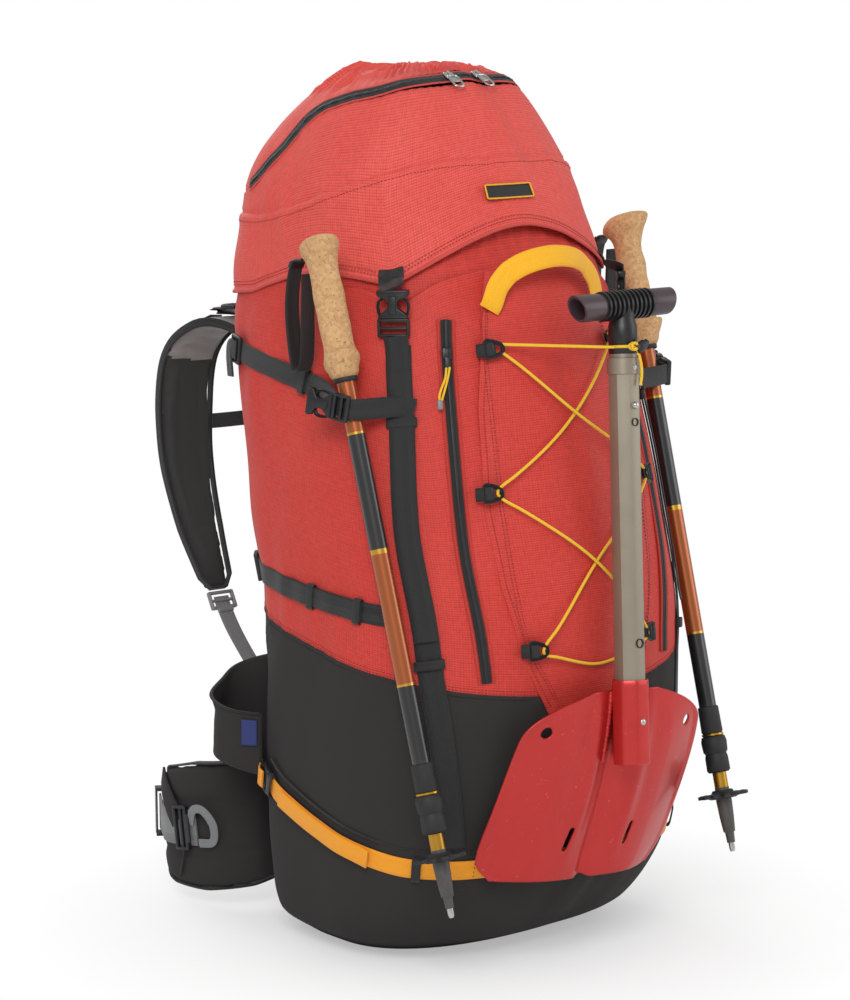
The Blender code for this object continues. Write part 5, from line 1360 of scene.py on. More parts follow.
    def seams(self) -> None:
        """The felled seam over the boot, the piping and the darts, with their thread."""
        turns = np.linspace(0, 360, 240, endpoint=False)
        height = FORM.boot_seam(turns)
        fell = tape(FORM.skin(turns, height), FORM.normal(turns, height), 4.2 * MM, 1.1 * MM, -0.5 * MM, closed=True)
        settle(fell, "boot_seam_fell", BLACK_CANVAS)
        rows = [(turns, height + lift) for lift in (3.4 * MM, 6.4 * MM)]
        settle(merge([stitches(FORM.skin(*row), FORM.normal(*row)) for row in rows]), "boot_seam_thread", RED_THREAD)
        rolls, threads = [], []
        for side in Side:
            for route, radius in ((self.dart, 0.9 * MM), (self.piping, 1.5 * MM)):
                line, normals = surface_run([(t * side.value, z) for t, z in route], 120, 0.2 * MM)
                rolls.append(sweep(line, normals, round_section(radius, 8, 0.8)))
            threads.append(stitches(*surface_run([(t * side.value, z - 0.004) for t, z in self.dart], 120)))
        settle(merge(rolls), "boot_piping", BLACK_BINDING)
        settle(merge(threads), "boot_dart_thread", DARK_THREAD)


@dataclass
class FrontPocket:
    """The big bellows pocket on the front, its curved gusset seams, zips and haul loop."""

    zip_route: tuple[Pair, ...] = ((36.5, 0.628), (41.0, 0.520), (42.5, 0.400), (39.5, 0.290))
    gusset: tuple[Pair, ...] = (
        (0.062, 0.664), (0.080, 0.617), (0.089, 0.520), (0.093, 0.430), (0.084, 0.335), (0.055, 0.268)
    )
    cord_pulls: tuple[Pair, ...] = ((0.070, 0.598), (0.094, 0.466), (0.068, 0.318))
    haul: tuple[Pair, ...] = ((-0.0680, 0.638), (-0.0580, 0.662), (-0.0350, 0.679), (0.0, 0.685))
    haul_width: float = 22 * MM

    def build(self) -> None:
        """Builds every piece of the pocket."""
        made = sheet_grid(150, 220, self.place, (0.20, 0.44))
        thicken(settle(made, "front_pocket_cloth", RED_RIPSTOP, "front_pocket", slot="red_ripstop"), 2.0 * MM)
        self.threads()
        for side in Side:
            self.zip(side)
        self.haul_loop()

    def stand(self, across: Array, z: Array) -> Array:
        """Tells how the face billows, and dips at its seams and where the cord pulls.

        Args:
            across: Share of the half width, -1 to 1.
            z: Heights.

        Returns:
            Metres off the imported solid.
        """
        x = across * FORM.pocket_width(z)
        soft = lattice(31, x * 24 + 9, z * 13) * 2.2 + lattice(32, x * 60 + 9, z * 30) * 0.7
        wrinkle = np.abs(lattice(33, x * 38 + z * 16 + 9, z * 6)) * -1.4
        seam = np.interp(z, *np.array(self.gusset)[::-1, ::-1].T)
        groove = -2.0 * hump(np.abs(x), seam, 0.0030) + 1.1 * hump(np.abs(x), seam - 0.006, 0.004)
        for half, height in self.cord_pulls:
            groove = groove - 1.6 * hump(np.hypot(np.abs(x) - half, z - height), 0.0, 0.022)
        low, high = FORM.pocket_widths[0][0], FORM.pocket_widths[-1][0]
        ends = np.sin(np.pi * np.clip((z - low) / (high - low), 0, 1)) ** 0.4
        return (soft + wrinkle + groove) * MM * (1 - np.abs(across) ** 6) * ends - 0.6 * MM

    def place(self, u: Array, v: Array) -> Array:
        """Lays out the pocket's cloth, tucked in at its edge.

        Args:
            u: Share across.
            v: Share up.

        Returns:
            The points.
        """
        low, high = FORM.pocket_widths[0][0], FORM.pocket_widths[-1][0]
        across, z = u * 2 - 1, low + (high - low) * v
        tuck = 1.6 * MM * np.clip(np.abs(across) * 1.04, 0, 1) ** 14
        return FORM.pocket_face(across * FORM.pocket_width(z), z, self.stand(across, z) - tuck)[0]

    def on_face(self, x: Array | float, z: Array | float) -> tuple[Array, Array]:
        """Points on the billowed face, and the way it looks there."""
        x, z = np.asarray(x, float), np.asarray(z, float)
        return FORM.pocket_face(x, z, self.stand(x / FORM.pocket_width(z), z))

    def threads(self) -> None:
        """Double rows of thread along the gusset seams, and one along the pocket's edge."""
        rows = []
        flat = run_curve([(x, z, 0) for x, z in self.gusset], 90)
        edge = np.linspace(0.262, 0.655, 90)
        for side in (-1, 1):
            for shift in (0.0045, 0.0075):
                rows.append(stitches(*self.on_face((flat[:, 0] - shift) * side, flat[:, 1])))
            rows.append(stitches(*self.on_face((FORM.pocket_width(edge) - 0.0045) * side, edge)))
        settle(merge(rows), "pocket_thread", RED_THREAD)

    def zip(self, side: Side) -> None:
        """Builds a long front zip: tape, coil and the folded lips of the cloth.

        Args:
            side: Which of the two zips.
        """
        route = [(turn * side.value, z) for turn, z in self.zip_route]
        line, normals = surface_run(route, 120, 0.6 * MM)
        made = tape(line, normals, 10 * MM, 1.2 * MM)
        settle(made, f"front_zip_tape_{side.word}", BLACK_BINDING, f"front_zip_{side.word}", slot="black_webbing")
        fine, up = surface_run(route, 380, 2.0 * MM)
        coil = sweep(fine, up, round_section(1.5 * MM, 8, 0.6), scale=coil_teeth(380))
        settle(coil, "front_zip_coil", BLACK_ACETAL, side=side, flip=False)
        across = np.cross(unit(np.gradient(line, axis=0)), normals) * 7.2 * MM
        for sign in (1, -1):
            lip = sweep(line + across * sign, normals, round_section(1.6 * MM, 10, 0.8))
            which = "outer" if sign * side.value > 0 else "inner"
            settle(lip, f"front_zip_lip_{side.word}_{which}", RED_RIPSTOP)

    def haul_loop(self) -> None:
        """The arched grab loop in yellow webbing."""
        outline = list(self.haul) + [(-x, z) for x, z in reversed(self.haul[:-1])]
        x, z, _ = run_curve([(x, z, 0.0) for x, z in outline], 70).T
        arch = np.sin(np.pi * np.linspace(0, 1, 70))
        face = FORM.pocket_face(x, np.minimum(z, 0.671))[0]
        line = np.stack([x, face[:, 1] - 0.0045 - 0.0190 * np.clip(arch, 0, 1) ** 0.7, z], axis=1)
        normals = unit(np.stack([x * 0.5, np.full(70, -0.10), 0.045 * arch], axis=1))
        made = tape(line, normals, self.haul_width, 2.6 * MM)
        settle(made, "haul_loop_webbing", YELLOW_WEBBING, "haul_loop", slot="yellow_webbing")


def coil_teeth(count: int) -> Array:
    """The swelling and thinning that makes a swept cord read as a zip's coil."""
    return 1 + 0.22 * np.cos(np.arange(count) * np.pi)


@dataclass
class Lid:
    """The scalloped lid: two panels, a crown zip, gathered top, bare patch and inner floor."""

    cusp_z: float = 0.660
    cusp_turn: float = 52.0
    arch: float = 0.052
    side_arch: float = 0.012
    hinge_z: float = 0.622
    zip_run: tuple[Pair, ...] = (
        (0, 0.8495), (30, 0.848), (55, 0.843), (79, 0.834), (94, 0.822), (104, 0.803), (111, 0.772), (119, 0.747),
        (128, 0.735),
    )
    zip_end: float = 128.0
    zip_width: float = 10 * MM
    top: float = 0.858
    patch_turns: Pair = (-9.4, 13.4)
    patch_z: Pair = (0.7365, 0.749)

    def edge_z(self, turn: Array) -> Array:
        """Finds the height of the lid's lower edge.

        Args:
            turn: Turns in degrees.

        Returns:
            The heights.
        """
        flat = off_front(turn)
        front = self.cusp_z + self.arch * np.cos(np.pi / 2 * np.clip(flat / self.cusp_turn, 0, 1))
        share = np.clip((flat - self.cusp_turn) / (180 - self.cusp_turn), 0, 1)
        arch = self.side_arch * np.sin(np.pi * np.minimum(share / 0.5, 1.0))
        back = self.cusp_z + (self.hinge_z + 0.003 - self.cusp_z) * step(share, 0.0, 1.0) + arch
        return np.where(flat <= self.cusp_turn, front, back)

    def zip_z(self, turn: Array) -> Array:
        """Finds the height of the zip's middle line.

        Args:
            turn: Turns in degrees.

        Returns:
            The heights.
        """
        fine = np.linspace(0, 180, 181)
        z = np.interp(fine, *np.array(self.zip_run).T)
        window = np.hanning(13)
        soft = np.convolve(np.pad(z, 5, mode="reflect"), window[1:-1] / window.sum(), mode="valid")
        return np.interp(off_front(turn), fine, soft)

    def zip_gap(self, turn: Array) -> Array:
        """Finds half of the zip's opening, measured straight up; it closes behind the zip's ends.

        Args:
            turn: Turns in degrees.

        Returns:
            The half openings.
        """
        climb = (self.zip_z(turn + 1.0) - self.zip_z(turn - 1.0)) / (2 * np.radians(1.0) * 0.14)
        shut = 1 - 0.97 * step(off_front(turn), self.zip_end - 10, self.zip_end - 4)
        return self.zip_width / 2 * np.sqrt(1 + climb**2) * shut

    def panel_z(self, turn: Array) -> Array:
        """Height of the seam between the lid's two side panels."""
        flat = off_front(turn)
        return 0.776 - 0.062 * step(flat, 20.0, 125.0) - 0.020 * step(flat, 125.0, 180.0)

    def stand(self, turn: Array, z: Array) -> Array:
        """Tells how the lid's cloth billows, rolls at its seam and puckers.

        Args:
            turn: Turns in degrees.
            z: Heights.

        Returns:
            Metres off the form.
        """
        around = (turn % 360) / 360
        soft = lattice(41, around * 16, z * 12, 16) * 2.6 + lattice(42, around * 36, z * 26, 36)
        seam, crown = self.panel_z(turn), self.zip_z(turn)
        fold = np.exp(-np.abs(z - seam) / 0.022) * np.sin(around * TAU * 34 + 3 * lattice(43, around * 20, z * 3, 20))
        roll = 1.6 * hump(z, seam - 0.004, 0.006) - 1.8 * hump(z, seam + 0.0015, 0.0022)
        ripple = np.sin(around * TAU * 58 + 2 * lattice(44, around * 30, z * 2, 30))
        pucker = np.exp(-np.abs(z - crown) / 0.012) * ripple
        drag = np.sin((z - 0.60) * 70 + 5 * lattice(45, around * 9, z * 6, 9)) * 0.8
        return (soft + 0.9 * fold + roll + 0.6 * pucker + drag + 1.0) * MM

    def skin(self, turn: Array, z: Array, out: Array | float = 0.0) -> Array:
        """Points on the lid's cloth."""
        return FORM.off(turn, z, self.stand(turn, z) + out)

    def build(self) -> None:
        """Builds every piece of the lid."""
        # The side panels and crown take the lit copy of the red cloth: painted light.
        for place, size, faces, name, finish, wall, slot in (
            (self.skirt, (1.10, 0.14), (300, 90), "lid_skirt", LIT_LID_RIPSTOP, 1.6 * MM, "red_ripstop"),
            (self.crown, (0.86, 0.20), (380, 104), "lid_crown", LIT_LID_RIPSTOP, 1.2 * MM, "red_ripstop"),
            (self.floor, (1.0, 0.16), (160, 30), "lid_floor", DARK_LINING, 0.8 * MM, ""),
        ):
            made = sheet_grid(*faces, place, size, True)
            thicken(settle(made, name + "_cloth", finish, name, body="lid", slot=slot), wall)
        self.zip()
        made = sheet_grid(60, 16, self.patch, (0.055, 0.013))
        thicken(settle(made, "lid_patch", BLACK_RUBBER, body="lid"), 1.6 * MM)
        self.patch_edge()
        self.threads()

    def skirt(self, u: Array, v: Array) -> Array:
        """Lays out the lid's side panels, from the scalloped edge to the zip.

        Args:
            u: Share round.
            v: Share up.

        Returns:
            The points.
        """
        turn = u * 360
        low, high = self.edge_z(turn), self.zip_z(turn) - self.zip_gap(turn)
        hem = 1.2 * hump(v, 0.0, 0.018) - 0.5 * hump(v, 0.05, 0.02) - 1.5 * step(v, 0.985, 1.0)
        return self.skin(turn, low + (high - low) * v, hem * MM)

    def crown(self, u: Array, v: Array) -> Array:
        """Lays out the top panel, gathered towards a shallow crumpled dome.

        Args:
            u: Share round.
            v: Share up.

        Returns:
            The points.
        """
        turn = u * 360
        low = self.zip_z(turn) + self.zip_gap(turn)
        z = low + (self.top - low) * np.clip(v / 0.45, 0, 1)
        points = self.skin(turn, z, -1.2 * MM * (1 - step(v, 0.0, 0.02)))
        share = np.clip((v - 0.45) / 0.55, 0, 1)
        left = 1 - share
        centre = np.array([0.0, 0.061, self.top])
        inner = centre + (self.skin(turn, np.full_like(turn, self.top)) - centre) * left[:, None]
        swell = 8.0 * np.sqrt(np.clip(share, 0, 1)) * (1 - 0.45 * share)
        crumple = lattice(51, u * 20, share * 4, 20) * 6.5 - np.abs(lattice(52, u * 40, share * 6, 40)) * 7.0
        inner[:, 2] += (swell + crumple * left * step(share, 0.0, 0.10)) * MM
        points = np.where(share[:, None] > 0, inner, points)
        flute = np.sin(u * TAU * 62 + 5 * lattice(54, u * 20, z * 10, 20)) * (0.6 + lattice(55, u * 30, z * 14, 30))
        tight = step(z, 0.826, 0.852) * (1 - step(share, 0.15, 0.5))
        ruck = (np.abs(lattice(53, u * 50, z * 60, 50)) * 6.0 + 2.2 * flute) * tight * step(v, 0.08, 0.40)
        slump = 5.0 * step(z, 0.775, 0.835) * step(off_front(turn), 60.0, 105.0)
        return points - FORM.normal(turn, z) * ((ruck + slump * left) * MM)[:, None]

    def floor(self, u: Array, v: Array) -> Array:
        """Lays out the inner panel that closes the lid's pocket from below.

        Args:
            u: Share round.
            v: Share of the way out.

        Returns:
            The points.
        """
        low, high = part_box("lid_floor")
        height = (low.z + high.z) / 2
        turn = u * 360
        centre = np.array([0.0, 0.055, height])
        points = centre + (FORM.off(turn, np.full_like(turn, height), -5.5 * MM) - centre) * v[:, None]
        points[:, 2] = height + 1.3 * MM * (lattice(61, u * 12, v * 4, 12) + np.sin(u * TAU * 40) * v**6) * v
        return points

    def patch(self, u: Array, v: Array) -> Array:
        """Lays out the small bare rubber patch over the front, its rim pressed down.

        Args:
            u: Share across.
            v: Share up.

        Returns:
            The points.
        """
        (low, high), (foot, head) = self.patch_turns, self.patch_z
        turn, z = low + (high - low) * (1 - u), foot + (head - foot) * v
        rim = np.minimum(np.minimum(u, 1 - u) * 12, np.minimum(v, 1 - v) * 5)
        return FORM.off(turn, z, 3.4 * MM + 0.8 * MM * (step(rim, 0.0, 0.5) - 1))

    def patch_edge(self) -> None:
        """The embroidered yellow edge of the patch."""
        (low, high), (foot, head) = self.patch_turns, self.patch_z
        across, up = np.linspace(0.04, 0.96, 24), np.linspace(0.03, 0.97, 8)
        ahead, back = low + (high - low) * across, high + (low - high) * across
        turns = np.concatenate([ahead, np.full(8, high), back, np.full(8, low)])
        z = np.concatenate([np.full(24, foot), foot + (head - foot) * up, np.full(24, head), head + (foot - head) * up])
        edge = sweep(FORM.off(turns, z, 4.0 * MM), FORM.normal(turns, z), round_section(0.9 * MM, 8), closed=True)
        settle(edge, "lid_patch_edge", YELLOW_THREAD, body="lid")

    def zip_line(self, count: int, out: float) -> tuple[Array, Array]:
        """Follows the zip.

        Args:
            count: How many points to return.
            out: How far off the cloth they lie.

        Returns:
            The points, and the way the zip looks there.
        """
        fine = np.linspace(6 - self.zip_end, self.zip_end - 6, 2000)
        far = walked(FORM.raw(fine, self.zip_z(fine)))
        turns = np.interp(np.linspace(0, far[-1], count), far, fine)
        z = self.zip_z(turns)
        lift = np.convolve(np.pad(self.stand(turns, z), 4, mode="edge"), np.ones(9) / 9, mode="valid")
        return FORM.off(turns, z, lift + out), FORM.normal(turns, z)

    def zip(self) -> None:
        """The crown zip: sunk tape, coil and the cloth's narrow lips."""
        line, normals = self.zip_line(220, -0.6 * MM)
        made = tape(line, normals, self.zip_width + 3.4 * MM, 1.3 * MM)
        settle(made, "lid_zip_tape", BLACK_BINDING, "lid_zip", body="lid", slot="black_webbing")
        coil = sweep(*self.zip_line(900, 1.0 * MM), round_section(1.3 * MM, 8, 0.5), scale=coil_teeth(900))
        settle(coil, "lid_zip_coil", BLACK_ACETAL, body="lid")
        across = np.cross(unit(np.gradient(line, axis=0)), normals)
        for name, shift in (("upper", -6.6 * MM), ("lower", 6.6 * MM)):
            lip = sweep(line + across * shift + normals * 0.7 * MM, normals, round_section(1.1 * MM, 10, 0.8))
            settle(lip, f"lid_zip_lip_{name}", LIT_LID_RIPSTOP, body="lid")

    def threads(self) -> None:
        """Thread along the scalloped edge and under the panel seam, and the edge's bound hem."""
        turns = np.linspace(-180, 180, 420, endpoint=False)
        edge = self.edge_z(turns)
        heights = (edge + 6.0 * MM, edge + 9.0 * MM, self.panel_z(turns) - 7.0 * MM)
        rows = [stitches(self.skin(turns, z), FORM.normal(turns, z)) for z in heights]
        settle(merge(rows), "lid_thread", RED_THREAD, body="lid")
        line, normals = self.skin(turns, edge, 0.4 * MM), FORM.normal(turns, edge)
        hem = sweep(line, normals, round_section(1.9 * MM, 10, 0.75), closed=True)
        settle(hem, "lid_hem", LIT_LID_RIPSTOP, body="lid")


# ------------------------------------------------------- webbing and buckles
class Fitting:
    """Moulded parts for webbing, with x across it, y along it and z out of its face; sizes are in millimetres."""

    @staticmethod
    def socket(web: float) -> Mesh:
        """Makes the female half of a side-release buckle; its mouth is at y = 0 and its bar at the far end.

        Args:
            web: Width of the webbing.

        Returns:
            The bmesh.
        """
        half = web / 2 + 3.0
        left = [
            (-half, 27), (-half, 22.5), (-half + 2, 20.5), (-5.4, 17), (-4.4, 13), (-5.4, 9.5), (-half + 4, 5.0),
            (-half + 1.6, 3.2), (-half + 1.6, 0),
        ]
        return merge([
            plate(left + [(-x, y) for x, y in reversed(left)], 7.6, 0.9),
            block((7.0, 17, 1.6), (0, 12.5, 3.9), 0.6),
            block((2 * half - 1, 3.2, 8.6), (0, 25.6, 0), 1.2),
            block((2 * half - 3, 1.8, 9.0), (0, 1.4, 0), 0.8),
        ])

    @staticmethod
    def tongue(web: float) -> Mesh:
        """Makes the male half: a ladder frame below y = 0 with grips, and two sprung prongs above it.

        Args:
            web: Width of the webbing.

        Returns:
            The bmesh.
        """
        width, half, parts = web + 6, web / 2 + 3, []
        prong = np.array(
            [(half - 4.5, -1, 0), (half - 1.6, 5, 0), (half - 0.6, 11, 0), (half - 1.6, 16, 0), (half - 5.0, 18.5, 0)]
        )
        for sign in (-1, 1):
            parts.append(block((3.0, 17, 5.2), (sign * (half - 1.5), -8.8, 0), 1.2))
            parts.append(tape(run_curve(prong * (sign, 1, 1) * MM, 22), UP, 2.6 * MM, 4.6 * MM, -2.3 * MM))
        for y, deep, high in ((-1.6, 4.0, 5.6), (-9.4, 3.2, 4.0), (-16.2, 3.4, 5.2)):
            parts.append(block((width - 1, deep, high), (0, y, 0.2), 1.1))
        return merge(parts)

    @staticmethod
    def ladder(web: float) -> Mesh:
        """Makes a ladder lock: two side rails, three bars and a lifting lip, centred on the origin.

        Args:
            web: Width of the webbing.

        Returns:
            The bmesh.
        """
        width = web + 8
        parts = [block((3.2, 19, 4.8), (sign * (width / 2 - 1.6), 0, 0), 1.2) for sign in (-1, 1)]
        parts += [
            block((width - 1.2, deep, high), (0, y, 0))
            for y, deep, high in ((-8.2, 3.4, 4.4), (0.4, 3.2, 3.6), (8.2, 3.6, 5.2))
        ]
        return merge(parts + [block((web * 0.8, 5, 2.0), (0, 11, 1.8), 0.8)])

    @staticmethod
    def keeper(web: float, high: float) -> Mesh:
        """Makes a stitched loop of tape that holds a strap's doubled end.

        Args:
            web: Width of the webbing.
            high: Its height over the strap.

        Returns:
            The bmesh.
        """
        turns = np.linspace(0, TAU, 28, endpoint=False)
        x, z = np.cos(turns), np.sin(turns)
        rise = high * MM / 2
        wide = np.sign(x) * np.abs(x) ** 0.5 * (web / 2 + 1.6) * MM
        line = np.stack([wide, np.zeros(28), np.sign(z) * np.abs(z) ** 0.6 * rise + rise], axis=1)
        return tape(line, unit(line - UP * rise), 9 * MM, 1.1 * MM, closed=True)


@dataclass
class Webbing:
    """Compression straps, keepers, ladder locks and side-release buckles."""

    wide: float = 25 * MM
    thin: float = 20 * MM
    buckle_turn: float = 52.0
    buckle_mouth_z: float = 0.628
    buckle_off: float = 8.5 * MM
    hinge: Pair = (0.2013, 0.622)
    pole_clear: float = 12.4 * MM
    front_route: tuple[Pair, ...] = (
        (52.0, 0.604), (55.0, 0.540), (58.0, 0.430), (56.0, 0.320), (52.0, 0.230), (48.5, 0.130)
    )
    base_route: tuple[Pair, ...] = ((119.0, 0.163), (100.0, 0.139), (80.0, 0.121), (62.0, 0.109), (42.0, 0.106))
    upper_front: Pair = (-0.102, 0.547)
    upper_back: Pair = (0.130, 0.583)
    lower_front: Pair = (-0.125, 0.352)
    lower_back: Pair = (0.095, 0.371)

    def build(self) -> None:
        """Builds every strap on both sides."""
        for side in Side:
            self.lid_buckle(side)
            self.front_strap(side)
            self.upper_strap(side)
            self.lower_strap(side)
        self.base_strap()

    def lid_buckle(self, side: Side) -> None:
        """Builds a lid buckle: the female half on a tab rides with the lid, and the male half stays with the pack.

        Args:
            side: Which of the two buckles.
        """
        turn = self.buckle_turn
        normal = FORM.normal(turn, self.buckle_mouth_z)
        mouth = FORM.off(turn, self.buckle_mouth_z, self.buckle_off)
        _, reach, rise = mouth - np.array([0.0, *self.hinge])
        way = unit(np.array([0.0, rise, -reach]))
        place = axes_matrix(mouth, np.cross(way, normal), way)
        shell = placed(Fitting.socket(self.wide / MM), place)
        settle(shell, "lid_buckle_shell", BLACK_ACETAL, "lid_buckle", body="lid", slot="black_acetal", side=side)
        heights = np.array([0.6765, 0.673, 0.6685, 0.6625])
        on_lid = Lid().skin(np.full(4, turn), heights, np.array([-2.6, -1.2, 1.4, 2.6]) * MM)
        turns_back = ((27.4, 2.6), (24.2, 0.0), (27.4, -3.8), (34.4, -4.0))
        round_bar = [mouth + (way * along + normal * out) * MM for along, out in turns_back]
        line = run_curve(np.vstack([on_lid, round_bar]), 44)[:30]
        tab = tape(line, normal, self.wide)
        settle(tab, "lid_tab", BLACK_WEBBING, body="lid", slot="black_webbing", side=side)
        settle(placed(Fitting.tongue(self.wide / MM), place), "lid_buckle_tongue", BLACK_ACETAL, side=side)

    def front_strap(self, side: Side) -> None:
        """Builds the long strap down a front corner, with its doubled end and its tie to the lid's buckle.

        Args:
            side: Which of the two straps.
        """
        line, normals = surface_run([(t * side.value, z) for t, z in self.front_route], 150, WEB_THICK * 0.4)
        strap = {"side": side, "flip": False}
        band = tape(line, normals, self.wide)
        settle(band, "front_strap_webbing", BLACK_WEBBING, "front_strap", slot="black_webbing", **strap)
        start = FORM.off(self.buckle_turn * side.value, 0.6115, 8.8 * MM)
        rise = run_curve([start, line[2] + normals[2] * 3.0 * MM, line[10] + normals[10] * 1.6 * MM], 16)
        settle(tape(rise, normals[4], self.wide - 2 * MM), "front_strap_tie", BLACK_WEBBING, **strap)
        tail = line[8:86] + normals[8:86] * (WEB_THICK + 0.7 * MM)
        tail[-6:] += normals[80:86] * (np.linspace(0, 1.0, 6)[:, None] ** 2 * 1.6 * MM)
        settle(tape(tail, normals[8:86], self.wide - 1 * MM), "front_strap_tail", BLACK_WEBBING, **strap)
        loops = [
            placed(Fitting.keeper(self.wide / MM, 5.0), seat(line, normals, k, -0.8 * MM, line[k - 2] - line[k + 2]))
            for k in (23, 92)
        ]
        settle(merge(loops), "front_strap_keepers", BLACK_WEBBING, **strap)

    def upper_path(self) -> tuple[Array, Array]:
        """Runs the left upper strap from the harness edge, over the pole, to the front strap.

        Returns:
            The points, and the way the strap looks at each.
        """
        pole = Pole()
        top, tip = np.array(pole.top), np.array(pole.tip)
        crossing = top + (tip - top) * (top[2] - 0.553) / (top[2] - tip[2])
        slope = (self.upper_back[1] - self.upper_front[1]) / (self.upper_back[0] - self.upper_front[0])
        on_sack = [(y, 1.2 * MM) for y in (0.130, 0.105, 0.075, 0.045, 0.015)] + [(crossing[1] + 0.045, 7.2 * MM)]
        past_pole = [(self.upper_front[0] + shift, 4.6 * MM) for shift in (0.004, -0.008)]
        points, normals = [], []
        for y, off in on_sack + past_pole:
            z = self.upper_front[1] + slope * (y - self.upper_front[0])
            turn = FORM.turn_for_y(y, z)
            points.append(FORM.off(turn, z, off))
            normals.append(FORM.normal(turn, z))
        over = []
        for turn, extra in ((26, 0.0), (0, 0.0), (-30, 1.0 * MM), (-64, 3.5 * MM)):
            out = np.array([-math.cos(math.radians(turn)), math.sin(math.radians(turn)), 0.0])
            point = crossing + out * (self.pole_clear + extra)
            point[2] = self.upper_front[1] + slope * (point[1] - self.upper_front[0])
            over.append((point, out))
        points[6:6], normals[6:6] = zip(*over)
        return np.array(points), np.array(normals)

    def upper_strap(self, side: Side) -> None:
        """Builds the upper compression strap over the pole, closed by a side-release buckle.

        Args:
            side: Which of the two straps.
        """
        points, normals = self.upper_path()
        line, count = run_curve(points, 90), len(points)
        ups = unit(read_rows(np.linspace(0, count - 1, 90), np.arange(count), normals))
        band = tape(line, ups, self.thin)
        settle(band, "upper_strap_webbing", BLACK_WEBBING, "side_strap_upper", slot="black_webbing", side=side)
        way, out = unit(points[9] - points[7]), normals[8]
        place = axes_matrix(points[8] + (out * 4.4 - way * 11.5) * MM, -np.cross(way, out), -way)
        web = self.thin / MM
        halves = [placed(make(web), place) for make in (Fitting.socket, Fitting.tongue)]
        settle(merge(halves), "upper_strap_buckle", BLACK_ACETAL, side=side)
        loop = placed(Fitting.keeper(web, 4.6), seat(line, ups, 38, -0.6 * MM))
        settle(loop, "upper_strap_keeper", BLACK_WEBBING, side=side)
        way, out = unit(points[0] - points[1]), normals[0]
        lock = placed(Fitting.ladder(web), seat(points, normals, 0, 3.0 * MM, way))
        settle(lock, "upper_strap_lock", BLACK_ACETAL, side=side)
        drop = ((5, -6, 0), (6.4, 6, 0), (5, 13, 10), (4, 12, 30))
        tail = run_curve([points[0] + (out * high + way * along - UP * fall) * MM for high, along, fall in drop], 18)
        settle(tape(tail, out, self.thin - 1 * MM), "upper_strap_tail", BLACK_WEBBING, side=side)

    def lower_strap(self, side: Side) -> None:
        """Builds the lower compression strap, behind the pole.

        Args:
            side: Which of the two straps.
        """
        ends = np.array([self.lower_front, self.lower_back])
        route = []
        for y, z in ends[0] + (ends[1] - ends[0]) * np.linspace(0, 1, 7)[:, None]:
            route.append((float(FORM.turn_for_y(y, z)) * side.value, z))
        line, normals = surface_run(route, 90, 0.5 * MM)
        strap = {"side": side, "flip": False}
        band = tape(line, normals, self.thin)
        settle(band, "lower_strap_webbing", BLACK_WEBBING, "side_strap_lower", slot="black_webbing", **strap)
        tail = line[14:60] + normals[14:60] * (WEB_THICK + 0.4 * MM)
        settle(tape(tail, normals[14:60], self.thin - 1 * MM), "lower_strap_tail", BLACK_WEBBING, **strap)
        web = self.thin / MM
        loops = [placed(Fitting.keeper(web, 4.8), seat(line, normals, k, -0.6 * MM)) for k in (16, 42)]
        settle(merge(loops), "lower_strap_keepers", BLACK_WEBBING, **strap)
        lock = placed(Fitting.ladder(web), seat(line, normals, -1, 3.0 * MM, line[-1] - line[-3]))
        settle(lock, "lower_strap_lock", BLACK_ACETAL, **strap)

    def base_strap(self) -> None:
        """The orange strap round the foot of the front, its folded ends, keepers, locks and thread."""
        route = list(self.base_route) + [(0.0, 0.108)] + [(-t, z) for t, z in reversed(self.base_route)]
        line, normals = surface_run(route, 260, 0.6 * MM)
        band = tape(line, normals, self.thin)
        settle(band, "base_strap_webbing", ORANGE_WEBBING, "base_strap", slot="orange_webbing")
        folds, keepers, threads = [], [], []
        web = self.thin / MM
        for side in Side:
            run, ups = line[::side.value], normals[::side.value]
            tail = run[10:52] + ups[10:52] * (WEB_THICK + 0.9 * MM)
            tail[-8:] += ups[44:52] * (np.linspace(0, 1, 8)[:, None] ** 2 * 2.6 * MM)
            folds.append(tape(tail, ups[10:52], self.thin - 1 * MM))
            for k in (4, 66):
                keepers.append(placed(Fitting.keeper(web, 5.4), seat(run, ups, k, -0.6 * MM)))
            way = unit(run[0] - run[3])
            lock = placed(Fitting.ladder(web), seat(run, ups, 0, 3.0 * MM, way))
            settle(lock, "base_strap_lock", BLACK_ACETAL, side=side, flip=False)
            hem = [run[0] + (ups[0] * out + way * along) * MM for out, along in ((6.2, -2), (7.5, 7), (1.0, 20))]
            folds.append(tape(run_curve(hem, 14), ups[0], self.thin))
            across = unit(np.cross(run[54] - run[50], ups[52]))
            row = run[84] + ups[84] * WEB_THICK + np.linspace(-9, 9, 9)[:, None] * MM * across
            threads.append(stitches(row, ups[84]))
        settle(merge(folds), "base_strap_folds", ORANGE_WEBBING)
        settle(merge(keepers), "base_strap_keepers", BLACK_WEBBING)
        settle(merge(threads), "base_strap_thread", DARK_THREAD)


